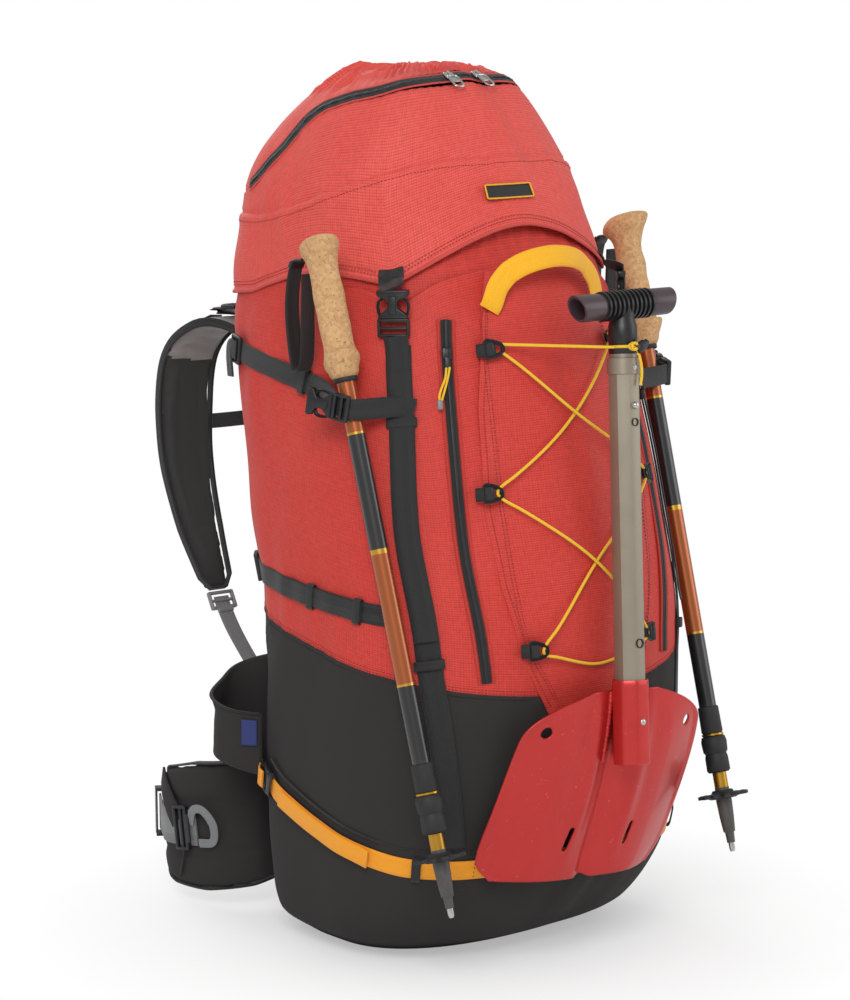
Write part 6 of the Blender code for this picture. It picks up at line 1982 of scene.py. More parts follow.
# ------------------------------------------------------- elastic and sliders
@dataclass
class Lacing:
    """Elastic cord criss-crossed over the front pocket between six webbing eyes."""

    radius: float = 1.5 * MM
    seat_off: float = 3.0 * MM
    hook_off: float = 7.0 * MM
    eye: float = 4.5 * MM
    over_neck: float = 40 * MM

    def __post_init__(self) -> None:
        """Finds the pocket and the shovel that the elastic crosses."""
        self.face, self.shovel = FrontPocket(), Shovel()
        self.hooks = self.face.cord_pulls

    def route(self) -> Array:
        """Routes the elastic's middle line: two crosses behind the shovel, then over its neck.

        Returns:
            The points to pass through.
        """
        (x1, z1), (x2, z2), (x3, z3) = self.hooks
        eye, high, over = self.eye, self.hook_off - self.seat_off, 4.2 * MM
        top, foot = (z1 + z2) / 2, (z2 + z3) / 2
        runs = [
            [(-x1 + eye, z1 - 0.003, high), (0.0, top, over), (x2 - eye, z2 + 0.004, high)],
            [(x2 - eye, z2 - 0.004, high), (0.0, foot, 0.0), (-x3 + eye, z3 + 0.004, high)],
            [(-x3 + eye, z3 - 0.004, high), (0.0, z3 - 0.020, 0.0), (x3 - eye, z3 - 0.004, high)],
            [(x3 - eye, z3 + 0.004, high), (0.0, foot, over), (-x2 + eye, z2 - 0.004, high)],
            [(-x2 + eye, z2 + 0.004, high), (0.0, top, 0.0), (x1 - eye, z1 - 0.003, high)],
        ]
        path: list[Array] = []
        for run in runs:
            x, z, off = run_curve(run, 11).T
            path.extend(FORM.pocket_face(x, z, self.seat_off + off)[0])
        path.append(FORM.pocket_face(x1 - eye, z1 + 0.004, self.hook_off)[0])
        across, _, out = self.shovel.axes()
        neck = self.shovel.point(self.over_neck)
        bend = self.shovel.neck_radius + self.radius + 0.9 * MM
        for turn in np.radians((80, 54, 27, 0, -27, -54, -80)):
            path.append(neck + (across * math.sin(turn) + out * math.cos(turn)) * bend)
        path.append(neck - across * (bend + 0.010))
        path.append(FORM.pocket_face(-x1 + eye, z1 + 0.004, self.hook_off)[0])
        return np.array(path)

    def build(self) -> None:
        """Builds the elastic, its eyes, the knot and the cord lock."""
        line = run_curve(self.route(), 620)
        cord = sweep(line, np.array([0.0, -1.0, 0.15]), round_section(self.radius, 10))
        piece = settle(cord, "lacing_elastic", YELLOW_ELASTIC, "bungee_lacing", slot="yellow_webbing")
        self.declare(piece, line, self.radius, "object", "taut")
        holders = [self.holder(half, z, sign) for half, z in self.hooks for sign in (-1, 1)]
        kinds = (("lacing_eyes", BLACK_ACETAL), ("lacing_tabs", BLACK_WEBBING), ("lacing_tab_thread", DARK_THREAD))
        for parts, (name, finish) in zip(zip(*holders), kinds):
            settle(merge(parts), name, finish)
        self.lock()

    def holder(self, half: float, z: float, sign: int) -> tuple[Mesh, Mesh, Mesh]:
        """Makes one eye, the folded tab that holds it and the tab's stitching.

        Args:
            half: How far from the middle the eye stands.
            z: Its height.
            sign: 1 or -1, for its side of the pocket.

        Returns:
            The eye, the tab and the thread.
        """
        inner, normal = FORM.pocket_face((half - self.eye) * sign, z, self.hook_off)
        outward = unit(FORM.pocket_face((half + 0.01) * sign, z)[0] - FORM.pocket_face(half * sign, z)[0])
        eye = placed(self.eye_shape(), axes_matrix(inner, np.cross(outward, normal), outward))
        base, up = self.face.on_face((half + 0.0150) * sign, z)
        fold = [
            base + (up * 0.4 - outward * 12) * MM, base + up * 0.9 * MM, inner + (outward * 12.0 + normal * 2.6) * MM,
            inner + outward * 8.6 * MM, inner + (outward * 12.0 - normal * 3.0) * MM,
            base + (up * 0.2 - outward * 8) * MM,
        ]
        tab = tape(run_curve(fold, 30), normal + outward * 0.01, 13 * MM, 1.3 * MM)
        across = np.linspace(-5.5, 5.5, 8)[:, None] * np.cross(outward, normal)
        return eye, tab, stitches(base + (across + up * 1.9 - outward * 3) * MM, up, 2.4 * MM)

    @staticmethod
    def declare(piece: bpy.types.Object, path: Array, radius: float, far_end: str, lay: str) -> None:
        """Would state a cord's real length and thickness, but does nothing.

        Args:
            piece: Not used.
            path: Not used.
            radius: Not used.
            far_end: Not used.
            lay: Not used.
        """

    def eye_shape(self) -> Mesh:
        """Makes a rounded triangular eye; the cord turns at the origin and the tab pulls along y.

        Returns:
            The bmesh.
        """
        corners = [(-7.5, 14.0), (7.5, 14.0), (5.8, 3.0), (2.6, -1.6), (-2.6, -1.6), (-5.8, 3.0), (-7.5, 14.0)]
        flat = run_curve([(x * MM, y * MM, 0) for x, y in corners], 49)[:-1]
        return merge([
            tape(flat, UP, 4.4 * MM, 5.0 * MM, -2.5 * MM, closed=True), block((13, 4.6, 4.2), (0, 7.4, 0.3), 1.3)
        ])

    def lock(self) -> None:
        """The knot, its free end and the spring cord lock, where the elastic crosses the shovel's neck."""
        across, down, out = self.shovel.axes()
        neck = self.shovel.point(self.over_neck)
        barrel = [(-7, 0), (-7, 3.6), (-6, 4.8), (4, 4.8), (5, 4.0), (5.4, 3.2), (8.4, 3.2), (9.2, 2.4), (9.2, 0)]
        place = axes_matrix(neck + (out * 19.0 + across * 6) * MM, out, across * 0.5 + down * 0.85)
        made = lathe([(z * MM, radius * MM) for z, radius in barrel], 24)
        settle(placed(made, place), "lacing_cord_lock", BLACK_ACETAL)
        turns = np.linspace(0, TAU * 1.85, 46)
        knot = np.stack([np.cos(turns) * 3.4, np.sin(turns) * 3.0, np.sin(turns * 1.5) * 2.2], axis=1) * MM
        middle = neck + (out * 18.4 - across * 3.5) * MM
        made = sweep(middle + knot @ np.stack([across, down, out]), out, round_section(1.45 * MM, 10))
        settle(made, "lacing_knot", YELLOW_ELASTIC)
        hang = [(0.0, 0.0), (5.0, 4.0), (9.0, 15.0), (10.0, 26.0), (8.0, 37.0)]
        ends = run_curve([middle + (across * a + down * b) * MM for a, b in hang], 40)
        piece = settle(sweep(ends, out, round_section(1.4 * MM, 10)), "lacing_cord_end", YELLOW_ELASTIC)
        self.declare(piece, ends, 1.4 * MM, "bare", "hanging")


@dataclass
class Sliders:
    """The zip sliders: nickel pulls on the lid, and cord loops on the front zips."""

    lid_turn: float = 15.0
    front_z: float = 0.598
    cord_radius: float = 1.15 * MM

    def build(self) -> None:
        """Builds the four sliders."""
        for side in Side:
            self.lid_slider(side)
            self.front_slider(side)

    def lid_slider(self, side: Side) -> None:
        """Builds a slider body with a bright ring pull that hangs over the lid's front.

        Args:
            side: Which of the two sliders.
        """
        turn = self.lid_turn * side.value
        z = Lid().zip_z(np.array(turn))
        normal = FORM.normal(turn, z)
        down = unit(normal * normal[2] - UP)
        outline = [
            (-3.6, 4), (3.6, 4), (5.2, 7), (5.2, 18), (3.6, 21), (0, 21.8), (-3.6, 21), (-5.2, 18), (-5.2, 7),
            (-3.6, 4),
        ]
        ring = run_curve([(x * MM, y * MM, (1.8 - y * 0.05) * MM) for x, y in outline], 61)[:-1]
        parts = [
            block((11, 9.4, 3.2), soft=1.2), block((3.4, 8, 2.0), (0, 0, 2.2), 0.8),
            tape(ring, UP, 2.4 * MM, 1.6 * MM, closed=True), block((9.4, 9.0, 1.5), (0, 9.6, 1.6), 0.6),
        ]
        place = axes_matrix(FORM.off(turn, z, 4.6 * MM), np.cross(down, normal), down)
        settle(
            placed(merge(parts), place), "lid_zip_pull", BRIGHT_STEEL, "lid_zip_slider", body="lid_slider",
            slot="bright_steel", side=side, flip=False,
        )

    def front_slider(self, side: Side) -> None:
        """Builds a slider body with a looped yellow cord and a moulded end.

        Args:
            side: Which of the two sliders.
        """
        line, normals = surface_run([(t * side.value, z) for t, z in FrontPocket().zip_route], 241, 2.2 * MM)
        k = int(np.argmin(np.abs(line[:, 2] - self.front_z)))
        way, normal = unit(line[k + 2] - line[k - 2]), normals[k]
        pair = {"body": "front_slider", "side": side, "flip": False}
        parts = [
            block((9.4, 11, 3.2), soft=1.1), block((3, 9, 1.8), (0, 0, 2.2), 0.7),
            block((5.0, 13, 1.5), (0, 9.5, 2.0), 0.6),
        ]
        made = placed(merge(parts), seat(line, normals, k, 1.2 * MM))
        settle(made, "front_zip_pull", BLACK_ACETAL, "front_zip_slider", slot="black_acetal", **pair)
        start = line[k] + (way * 14 + normal * 4.2) * MM
        lean = np.array([-1.0 * side.value, 0.0, 0.0])
        lean = unit(lean - normal * (lean @ normal))
        down = unit(way - normal * (way @ normal))
        hang = [
            (0, 1.6, 0), (10, 3.4, 0), (24, 9.5, 0.5), (32, 9.0, 0), (24, 5.5, 0), (9, 0.5, 0), (0, -1.6, 0)
        ]
        loop = run_curve([start + (down * a + lean * b + normal * c) * MM for a, b, c in hang], 60)
        made = sweep(loop, normal, round_section(self.cord_radius, 9))
        cord = settle(made, "front_zip_cord", YELLOW_ELASTIC, **pair)
        Lacing.declare(cord, loop, self.cord_radius, "object", "hanging")
        place = axes_matrix(start + (down * 34 + lean * 9.6) * MM, np.cross(down, normal), down)
        settle(placed(block((5.2, 9.5, 4.0), soft=1.4), place), "front_zip_cord_end", GREY_ACETAL, **pair)


# ------------------------------------------------------------ trekking poles
@dataclass
class Pole:
    """A telescopic pole: cork grip, wrist strap, banded tubes, collars, basket and tip."""

    top: Triple = (-0.196, -0.030, 0.706)
    tip: Triple = (-0.184, -0.213, 0.080)
    upper: float = 8.8 * MM
    lower: float = 7.0 * MM
    bore: float = 7.6 * MM
    grip: float = 0.135
    collar: float = 0.535
    collar_end: float = 0.572
    overlap: float = 0.165
    basket: float = 0.598
    basket_radius: float = 25.5 * MM
    teeth: int = 12

    @property
    def length(self) -> float:
        """From the grip's head to the carbide tip."""
        return (Vector(self.tip) - Vector(self.top)).length

    def placement(self) -> Matrix:
        """Puts a piece turned round z, heights measured down from the head, on the left pole.

        Returns:
            The placement.
        """
        down = (Vector(self.tip) - Vector(self.top)).normalized()
        away = Vector((-0.42, -0.9, 0.0))
        x = (away - down * away.dot(down)).normalized()
        return axes(x, down.cross(x), down, self.top)

    def add(
        self, made: Mesh | Sequence[Pair], name: str, finish: Finish, side: Side, *nodes: str,
        tip: bool = False, slot: str = "",
    ) -> None:
        """Puts a turned piece on one pole.

        Args:
            made: The piece, or the (height, radius) points it is turned from.
            name: Its name, without its side.
            finish: What it is made of.
            side: Which of the two poles.
            nodes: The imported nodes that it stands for.
            tip: Whether it rides on the lower section.
            slot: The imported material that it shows.
        """
        made = made if isinstance(made, Mesh) else lathe(made)
        body = "pole_tip" if tip else "pole"
        settle(placed(made, self.placement()), name, finish, *nodes, body=body, slot=slot, side=side)

    def build(self) -> None:
        """Builds both poles."""
        for side in Side:
            self.make_grip(side)
            self.make_wrist_strap(side)
            self.make_tubes(side)
            self.make_basket(side)

    def make_grip(self, side: Side) -> None:
        """Builds the cork grip, swollen for the fingers, with a flared head that leans forward.

        Args:
            side: Which of the two poles.
        """
        bore = self.upper + 0.3 * MM
        outer = [
            (0.000, 0.0), (-0.0005, 0.0100), (0.002, 0.0175), (0.006, 0.0218), (0.011, 0.0222), (0.017, 0.0186),
            (0.026, 0.0150), (0.038, 0.0140), (0.048, 0.0146), (0.057, 0.0152), (0.066, 0.0148), (0.076, 0.0148),
            (0.088, 0.0150), (0.098, 0.0146), (0.106, 0.0150), (0.113, 0.0172), (0.118, 0.0192), (0.1215, 0.0190),
            (0.127, 0.0156), (self.grip, 0.0118), (self.grip, bore),
        ]
        made = lathe(outer, 48)
        bmesh.ops.subdivide_edges(made, edges=made.edges[:], cuts=1, smooth=0.6, use_grid_fill=True)
        for vert in made.verts:
            at = vert.co.z
            press = math.exp(-(((at - 0.010) / 0.012) ** 2))
            skirt = math.exp(-(((at - 0.120) / 0.009) ** 2))
            vert.co.x *= 1 + 0.05 * press + ((0.10 * press + 0.14 * skirt) if vert.co.x > 0 else 0.0)
            vert.co.y *= 1 - 0.16 * press - 0.10 * skirt
            vert.co.z -= vert.co.x * (0.22 * press + 0.40 * skirt) if at > -0.001 else 0.0
            finger = 0.5 + 0.5 * math.sin((at - 0.030) * TAU / 0.026)
            if 0.03 < at < 0.106 and vert.co.x > 0:
                vert.co.x -= 1.1 * MM * finger * min(vert.co.x / 0.012, 1.0)
        self.add(made, "pole_cork", CORK, side, "pole_grip", slot="cork")
        ferrule = [
            (0.1335, 0.0110), (0.1342, 0.0116), (0.1385, 0.0116), (0.1392, 0.0108), (0.1392, bore), (0.1335, bore)
        ]
        self.add(ferrule, "pole_grip_ferrule", BLACK_RUBBER, side)

    def make_wrist_strap(self, side: Side) -> None:
        """Builds a padded loop that hangs plumb behind the grip, with a small clip.

        Args:
            side: Which of the two poles.
        """
        head = np.array(self.placement() @ Vector((0, 0, 0.018)))
        flat = [
            (0.0215, 0.004), (0.038, 0.010), (0.046, 0.050), (0.040, 0.098), (0.032, 0.112), (0.0235, 0.098),
            (0.0215, 0.050), (0.0205, 0.018),
        ]
        line = run_curve([head + FRONT_BACK * back - UP * down for back, down in flat], 72)
        normals = np.cross(np.cross(-UP, FRONT_BACK)[None, :], unit(np.gradient(line, axis=0)))
        swell = 1.0 + 0.10 * np.sin(np.linspace(0, np.pi, 72))
        band = sweep(line, normals, band_section(16 * MM, 2.2 * MM), -1.1 * MM, scale=swell)
        settle(band, "wrist_loop", BLACK_WEBBING, "wrist_strap", body="pole", slot="black_webbing", side=side)
        clip = placed(block((17, 8, 4.4), soft=1.2), seat(line, normals, 6, 0.2 * MM))
        settle(clip, "wrist_loop_clip", BLACK_ACETAL, body="pole", side=side)

    def make_tubes(self, side: Side) -> None:
        """Builds the lacquered upper tube with its twist lock, and the slim lower section.

        Args:
            side: Which of the two poles.
        """
        head, c, e, b, tip = 0.016, self.collar, self.collar_end, self.basket, self.length
        tube = [(head + (c - head) * k / 12, self.upper) for k in range(13)] + [(c, self.bore), (0.020, self.bore)]
        self.add(tube, "pole_tube", POLE_LACQUER, side, "pole_shaft", slot="copper_lacquer")
        lock = [
            (c - 0.030, self.upper + 0.2 * MM), (c - 0.029, 0.0104), (c - 0.004, 0.0108), (c - 0.003, 0.0098),
            (c, 0.0098), (c + 0.001, 0.0118), (c + 0.006, 0.0130), (c + 0.016, 0.0123), (c + 0.018, 0.0106),
            (c + 0.022, 0.0116), (e - 0.002, 0.0118), (e, 0.0100), (e, self.bore), (c, self.bore),
        ]
        self.add(lock, "pole_lock", BLACK_RUBBER, side)
        ring = [(c - 0.0026, 0.0100), (c - 0.0022, 0.0110), (c - 0.0004, 0.0110), (c, 0.0100)]
        self.add(ring, "pole_lock_ring", GOLD_RING, side)
        inside = e - self.overlap
        lower = [(inside, 0.0), (inside, self.lower), (b - 0.010, self.lower), (b - 0.010, 0.0)]
        self.add(lower, "pole_lower_tube", GOLD_TUBE, side, "pole_lower", tip=True)
        sheath = [
            (b - 0.0106, 0.0), (b - 0.0106, 0.0072), (b + 0.003, 0.0080), (b + 0.020, 0.0072), (b + 0.034, 0.0060),
            (b + 0.035, 0.0046), (tip - 0.009, 0.0040), (tip - 0.009, 0.0),
        ]
        self.add(sheath, "pole_sheath", GREY_SHEATH, side, tip=True)
        carbide = [
            (tip - 0.010, 0.0), (tip - 0.010, 0.0030), (tip - 0.003, 0.0030), (tip, 0.0021), (tip - 0.0012, 0.0)
        ]
        self.add(carbide, "pole_carbide", BRIGHT_STEEL, side, tip=True)

    def make_basket(self, side: Side) -> None:
        """Builds a dished basket with rounded teeth and ribs.

        Args:
            side: Which of the two poles.
        """
        b, r, hub = self.basket, self.basket_radius, 0.014
        made = lathe([
            (b - 0.0075, 0.0078), (b - 0.0080, 0.0100), (b - 0.0050, 0.0118), (b - 0.0042, 0.0160), (b - 0.0044, r),
            (b - 0.0014, r), (b - 0.0008, 0.0160), (b + 0.0006, 0.0130), (b + 0.0010, 0.0074),
        ], 120)
        for vert in made.verts:
            share = min(max((math.hypot(vert.co.x, vert.co.y) - hub) / (r - hub), 0.0), 1.0)
            tooth = 0.5 + 0.5 * math.cos(math.atan2(vert.co.y, vert.co.x) * self.teeth)
            factor = 1 - share * 0.17 * (1 - tooth) ** 2
            vert.co.x *= factor
            vert.co.y *= factor
            vert.co.z += (0.9 * tooth - 0.6) * share * MM
        self.add(made, "pole_basket_disc", BLACK_RUBBER, side, "pole_basket", tip=True, slot="black_acetal")


# ------------------------------------------------------------------- shovel
def octagon(turn: float) -> float:
    """Tells how far out an eight-sided tube stands, as a share of its corners' radius.

    Args:
        turn: The direction, in radians.

    Returns:
        The share.
    """
    return math.cos(math.pi / 8) / math.cos((turn + math.pi / 8) % (math.pi / 4) - math.pi / 8)


@dataclass
class Shovel:
    """A snow shovel lashed on the front: T grip, telescopic shaft and dished blade."""

    top: Triple = (0.040, -0.199, 0.640)
    foot: Triple = (0.010, -0.249, 0.238)
    shaft_radius: float = 15.5 * MM
    wall: float = 1.6 * MM
    shaft_start: float = 0.066
    sleeve: float = 15.5 * MM
    socket_start: float = 0.364
    socket_end: float = 0.429
    socket_wall: float = 3.0 * MM
    neck_radius: float = 13.2 * MM
    grip_half: float = 62 * MM
    grip_radius: float = 13 * MM
    ribs: int = 11
    rib_start: float = 0.034
    rib_pitch: float = 5.6 * MM
    blade_height: float = 0.178
    blade_thick: float = 2.2 * MM
    blade_dish: float = 15 * MM
    blade_lean: float = 50 * MM
    half_widths: tuple[Pair, ...] = (
        (0.00, 0.040), (0.07, 0.080), (0.16, 0.108), (0.28, 0.117), (0.60, 0.121), (0.88, 0.120), (1.00, 0.102)
    )
    holes: tuple[Pair, ...] = ((0.112, 3.4 * MM), (0.323, 3.9 * MM), (0.396, 3.9 * MM))
    buttons: tuple[tuple[str, float], ...] = (("handle", 0.096), ("blade", 0.398))

    def axes(self) -> tuple[Array, Array, Array]:
        """Gives the shovel's own directions.

        Returns:
            The ways across, down its shaft, and out from the pack.
        """
        down = unit(np.array(self.foot) - np.array(self.top))
        out = unit(-FRONT_BACK + down * down[1])
        across = np.cross(down, out)
        return (across if across[0] > 0 else -across), down, out

    def point(self, distance: float) -> Array:
        """A point of its middle line, that far below the T grip."""
        return np.array(self.top) + self.axes()[1] * distance

    def placement(self) -> Matrix:
        """Puts a piece turned round z, heights measured down the shaft, on the shovel; x faces out."""
        _, down, out = (Vector(way) for way in self.axes())
        return axes(out, down.cross(out), down, self.top)

    def facing(self, distance: float) -> Matrix:
        """Puts a piece turned round z on the shaft's middle line, its z pointing out of the front."""
        _, down, out = (Vector(way) for way in self.axes())
        return axes(down, out.cross(down), out, self.point(distance))

    def build(self) -> None:
        """Builds handle, shaft, blade and fittings."""
        self.grip()
        self.neck()
        self.shaft()
        self.blade()
        self.socket()
        self.fittings()

    def grip(self) -> None:
        """Builds the T grip: a hollow rubber tube, ribbed for one hand, its ends cut on a slant."""
        length, r, cup = self.grip_half * 2, self.grip_radius, 0.022
        profile = [(0.0, r), (0.004, r + 0.2 * MM), (0.030, r)]
        for k in range(self.ribs):
            at = self.rib_start + k * self.rib_pitch
            rib = ((0.0, -1.0), (0.5, 1.4), (2.6, 1.5), (3.2, -1.0))
            profile += [(at + along * MM, r + high * MM) for along, high in rib]
        profile += [
            (length - 0.024, r + 0.2 * MM), (length, r), (length, r - 2.4 * MM), (length - cup, r - 2.6 * MM),
            (length - cup, 0.0), (cup, 0.0), (cup, r - 2.6 * MM), (0.0, r - 2.4 * MM),
        ]
        made = spun(profile, 40, True)
        for face in made.faces:
            height = face.calc_center_median().z
            face.material_index = int(not self.rib_start - 0.001 < height < self.rib_start + self.ribs * self.rib_pitch)
        for vert in made.verts:
            slant = 0.5 + 0.5 * vert.co.x / r
            vert.co.z += (1 - min(vert.co.z / cup, 1.0)) * slant * 9 * MM
            vert.co.z -= max(1 - min((length - vert.co.z) / cup, 1.0), 0.0) * slant * 6 * MM
        across, up = Vector(self.axes()[0]), Vector((0, 0, 1))
        flat = Vector((across.x, across.y, 0)).normalized()
        place = axes(-up, up.cross(flat), flat, Vector(self.top) - flat * self.grip_half)
        piece = settle(
            placed(made, place), "shovel_grip_rubber", GRIP_RUBBER, "shovel_handle", body="handle", slot="black_acetal"
        )
        piece.data.materials.append(PLUM_NYLON.material())

    def neck(self) -> None:
        """Builds the throat under the grip and the slim anodised neck, flattened for its button."""
        r = self.neck_radius
        throat = [
            (0.004, 0.0), (0.004, 0.0125), (0.013, 0.0118), (0.020, r + 0.6 * MM), (0.026, r + 0.9 * MM),
            (0.046, r + 0.7 * MM), (0.047, r - 0.2 * MM), (0.047, 0.0),
        ]
        settle(placed(lathe(throat), self.placement()), "shovel_throat", GRIP_RUBBER, body="handle")
        rows = [(0.030 + k * 0.022, r) for k in range(14)]
        made = lathe([(0.030, 0.0), *rows, (0.338, r), (0.338, 0.0)], 48)
        for vert in made.verts:
            if vert.co.x > r * 0.955 and vert.co.z > 0.079:
                vert.co.x = 10.2 * MM
        made = placed(made, self.placement())
        settle(made, "shovel_neck", OLIVE_ALLOY, body="handle", slot="olive_anodised_alloy")

    def shaft(self) -> None:
        """Builds the drawn shaft: softly eight-sided, with a plain sleeve at its head and dark holes."""
        start, r, end = self.shaft_start, self.shaft_radius, self.socket_end - 0.006
        inner, head = r - self.wall, start - self.sleeve
        heads = [
            (head + 0.4 * MM, inner), (head, r - 0.2 * MM), (head + 0.5 * MM, r + 0.5 * MM), (start, r + 0.5 * MM),
            (start + 0.4 * MM, r + 0.05 * MM),
        ]
        rows = [(start + 0.4 * MM + (end - start) * k / 90, r) for k in range(1, 90)]
        made = squash(lathe([*heads, *rows, (end, r), (end, inner)], 64), self.faceted)
        settle(
            placed(made, self.placement()), "shovel_shaft_tube", OLIVE_ALLOY, "shovel_shaft",
            slot="olive_anodised_alloy", smooth=24.0,
        )
        plugs = []
        for distance, hole in self.holes:
            plug = [
                (r - 1.2 * MM, 0.0), (r - 1.0 * MM, hole * 0.9), (r + 0.05 * MM, hole), (r + 0.25 * MM, hole * 1.14),
                (r - 1.4 * MM, hole * 1.18), (r - 1.4 * MM, 0.0),
            ]
            plugs.append(placed(lathe(plug, 28), self.facing(distance)))
        settle(merge(plugs), "shovel_shaft_tube_holes", BLACK_ACETAL)

    def faceted(self, radius: float, turn: float, height: float) -> float:
        """Flattens the shaft's outside softly to eight sides, below its sleeve.

        Args:
            radius: How far from the axis.
            turn: The direction, in radians.
            height: How far down the shovel.

        Returns:
            The share kept of the radius.
        """
        outside = radius > self.shaft_radius - self.wall + 0.4 * MM and height > self.shaft_start
        return 1 - 0.75 * (1 - octagon(turn)) * 0.9 - 0.012 if outside else 1.0

    def fittings(self) -> None:
        """Builds the sleeve's rivet and the two snap buttons."""
        r, core = self.shaft_radius, self.neck_radius + 0.6 * MM
        rivet = [
            (r - 1 * MM, 0.0), (r - 1 * MM, 2.6 * MM), (r + 0.8 * MM, 2.6 * MM), (r + 1.6 * MM, 1.6 * MM),
            (r + 1.8 * MM, 0.0),
        ]
        settle(placed(lathe(rivet, 20), self.facing(self.shaft_start - 0.006)), "shovel_rivet", BRIGHT_STEEL)
        dome = [
            (core, 0.0), (core, 3.5 * MM), (r + 1.6 * MM, 3.5 * MM), (r + 2.7 * MM, 2.6 * MM), (r + 3.3 * MM, 1.2 * MM),
            (r + 3.35 * MM, 0.0),
        ]
        for word, distance in self.buttons:
            settle(
                placed(lathe(dome, 24), self.facing(distance)), f"shovel_button_{word}", BRIGHT_STEEL,
                f"snap_button_{word}", body=f"{word}_pin", slot="bright_steel",
            )

    def blade_half(self, v: Array) -> Array:
        """Half width of the blade; v is 0 at its shoulders and 1 at its cutting edge."""
        ends = run_curve([(v0 * 0.2, w, 0) for v0, w in self.half_widths], 120)
        return np.interp(v, ends[:, 0] / 0.2, ends[:, 1])

    def blade_point(self, u: Array, v: Array) -> Array:
        """Points of the blade's middle sheet: dished, ribbed and leaning back to its edge.

        Args:
            u: -1 to 1 across the blade.
            v: 0 to 1 down it.

        Returns:
            The points.
        """
        across, down, out = self.axes()
        x = u * self.blade_half(v)
        centre = self.point(self.socket_start + 0.004) + np.outer(self.blade_height * v, down)
        centre = centre - np.outer(0.016 * v * v, across)
        depth = 2.0 * MM - (self.blade_dish + 0.022 * v) * (x / 0.12) ** 2 - self.blade_lean * v**1.2
        ribs = np.exp(-(((np.abs(x) - 0.030) / 0.010) ** 2))
        depth += 6.0 * MM * ribs * np.sin(np.pi * np.minimum(v * 0.9 + 0.12, 1.0))
        depth -= 4.4 * MM * np.exp(-(((x + 0.003) / 0.007) ** 2)) * step(v, 0.22, 0.45)
        sink = (self.shaft_radius + self.socket_wall) * (1 - np.minimum(v / 0.5, 1.0) * 0.35)
        depth -= sink * 0.9 * np.exp(-((x / 0.040) ** 2))
        depth += 2.4 * MM * step(np.abs(u), 0.92, 1.0) * step(v, 0.05, 0.2)
        depth -= 6.0 * MM * np.maximum(np.abs(u) - 0.58, 0.0) / 0.42 * step(v, 0.0, 0.25)
        return centre + np.outer(x, across) + np.outer(depth, out)

    def cut_outs(self) -> list[tuple[Array, float, float, Array]]:
        """Lists the blade's holes: two round ones for lashing and two slots.

        Returns:
            A (middle, radius, half length, way along) tuple for each.
        """
        across, down, _ = self.axes()
        spots = []
        for u, v, radius, reach, tilt in (
            (-0.80, 0.20, 5.5, 0, 0), (0.80, 0.20, 5.5, 0, 0),
            (-0.30, 0.80, 3.0, 9.0, -0.25), (0.34, 0.80, 3.0, 9.0, -0.25),
        ):
            middle = self.blade_point(np.array([u]), np.array([v]))[0]
            spots.append((middle, radius * MM, reach * MM, unit(down + across * tilt)))
        return spots

    def aside(self, place: Vector, spot: Array, reach: float, along: Array) -> Array:
        """Measures how far a place lies beside a hole's middle line, in the blade's plane.

        Args:
            place: The place.
            spot: The hole's middle.
            reach: Half the line's length.
            along: The line's direction.

        Returns:
            The step from the line to the place.
        """
        out = self.axes()[2]
        gap = np.array(place) - spot
        gap = gap - out * (gap @ out)
        return gap - along * np.clip(gap @ along, -reach, reach)

    def blade(self) -> None:
        """Builds the pressed blade with its lashing holes and two slots."""
        made = bmesh.new()
        bmesh.ops.create_grid(made, x_segments=132, y_segments=104, size=0.5)
        shares = np.array([vert.co[:2] for vert in made.verts]) + 0.5
        u, v = shares[:, 0] * 2 - 1, 1 - shares[:, 1]
        notch = -4.0 * MM * np.exp(-((u / 0.06) ** 2)) * step(v, 0.90, 1.0)
        nose = 5.0 * MM * np.sin(np.pi * (0.5 + u / 2)) ** 0.7 * step(v, 0.86, 1.0)
        points = self.blade_point(u, v) + np.outer(notch + nose, self.axes()[1])
        for vert, point in zip(made.verts, points):
            vert.co = point
        spots = self.cut_outs()
        doomed = [
            face for face in made.faces if any(
                np.linalg.norm(self.aside(face.calc_center_median(), spot, reach, along)) < radius
                for spot, radius, reach, along in spots
            )
        ]
        bmesh.ops.delete(made, geom=doomed, context="FACES")
        for vert in (vert for vert in made.verts if vert.is_boundary):
            place = np.array(vert.co)
            for spot, radius, reach, along in spots:
                gap = self.aside(place, spot, reach, along)
                size = np.linalg.norm(gap)
                if 1e-9 < size < radius * 1.9:
                    vert.co = place + gap * (radius / size - 1)
        blade = settle(
            made, "shovel_blade_sheet", RED_ALLOY, "shovel_blade", slot="red_anodised_alloy", smooth=60.0
        )
        thicken(blade, self.blade_thick, 0.0)

    def socketed(self, radius: float, turn: float, height: float) -> float:
        """Flattens the socket's outside to eight sides; its bore stays round."""
        outside = radius > self.shaft_radius + 1.6 * MM
        return 0.30 + 0.70 * octagon(turn) - 0.004 if outside else 1.0

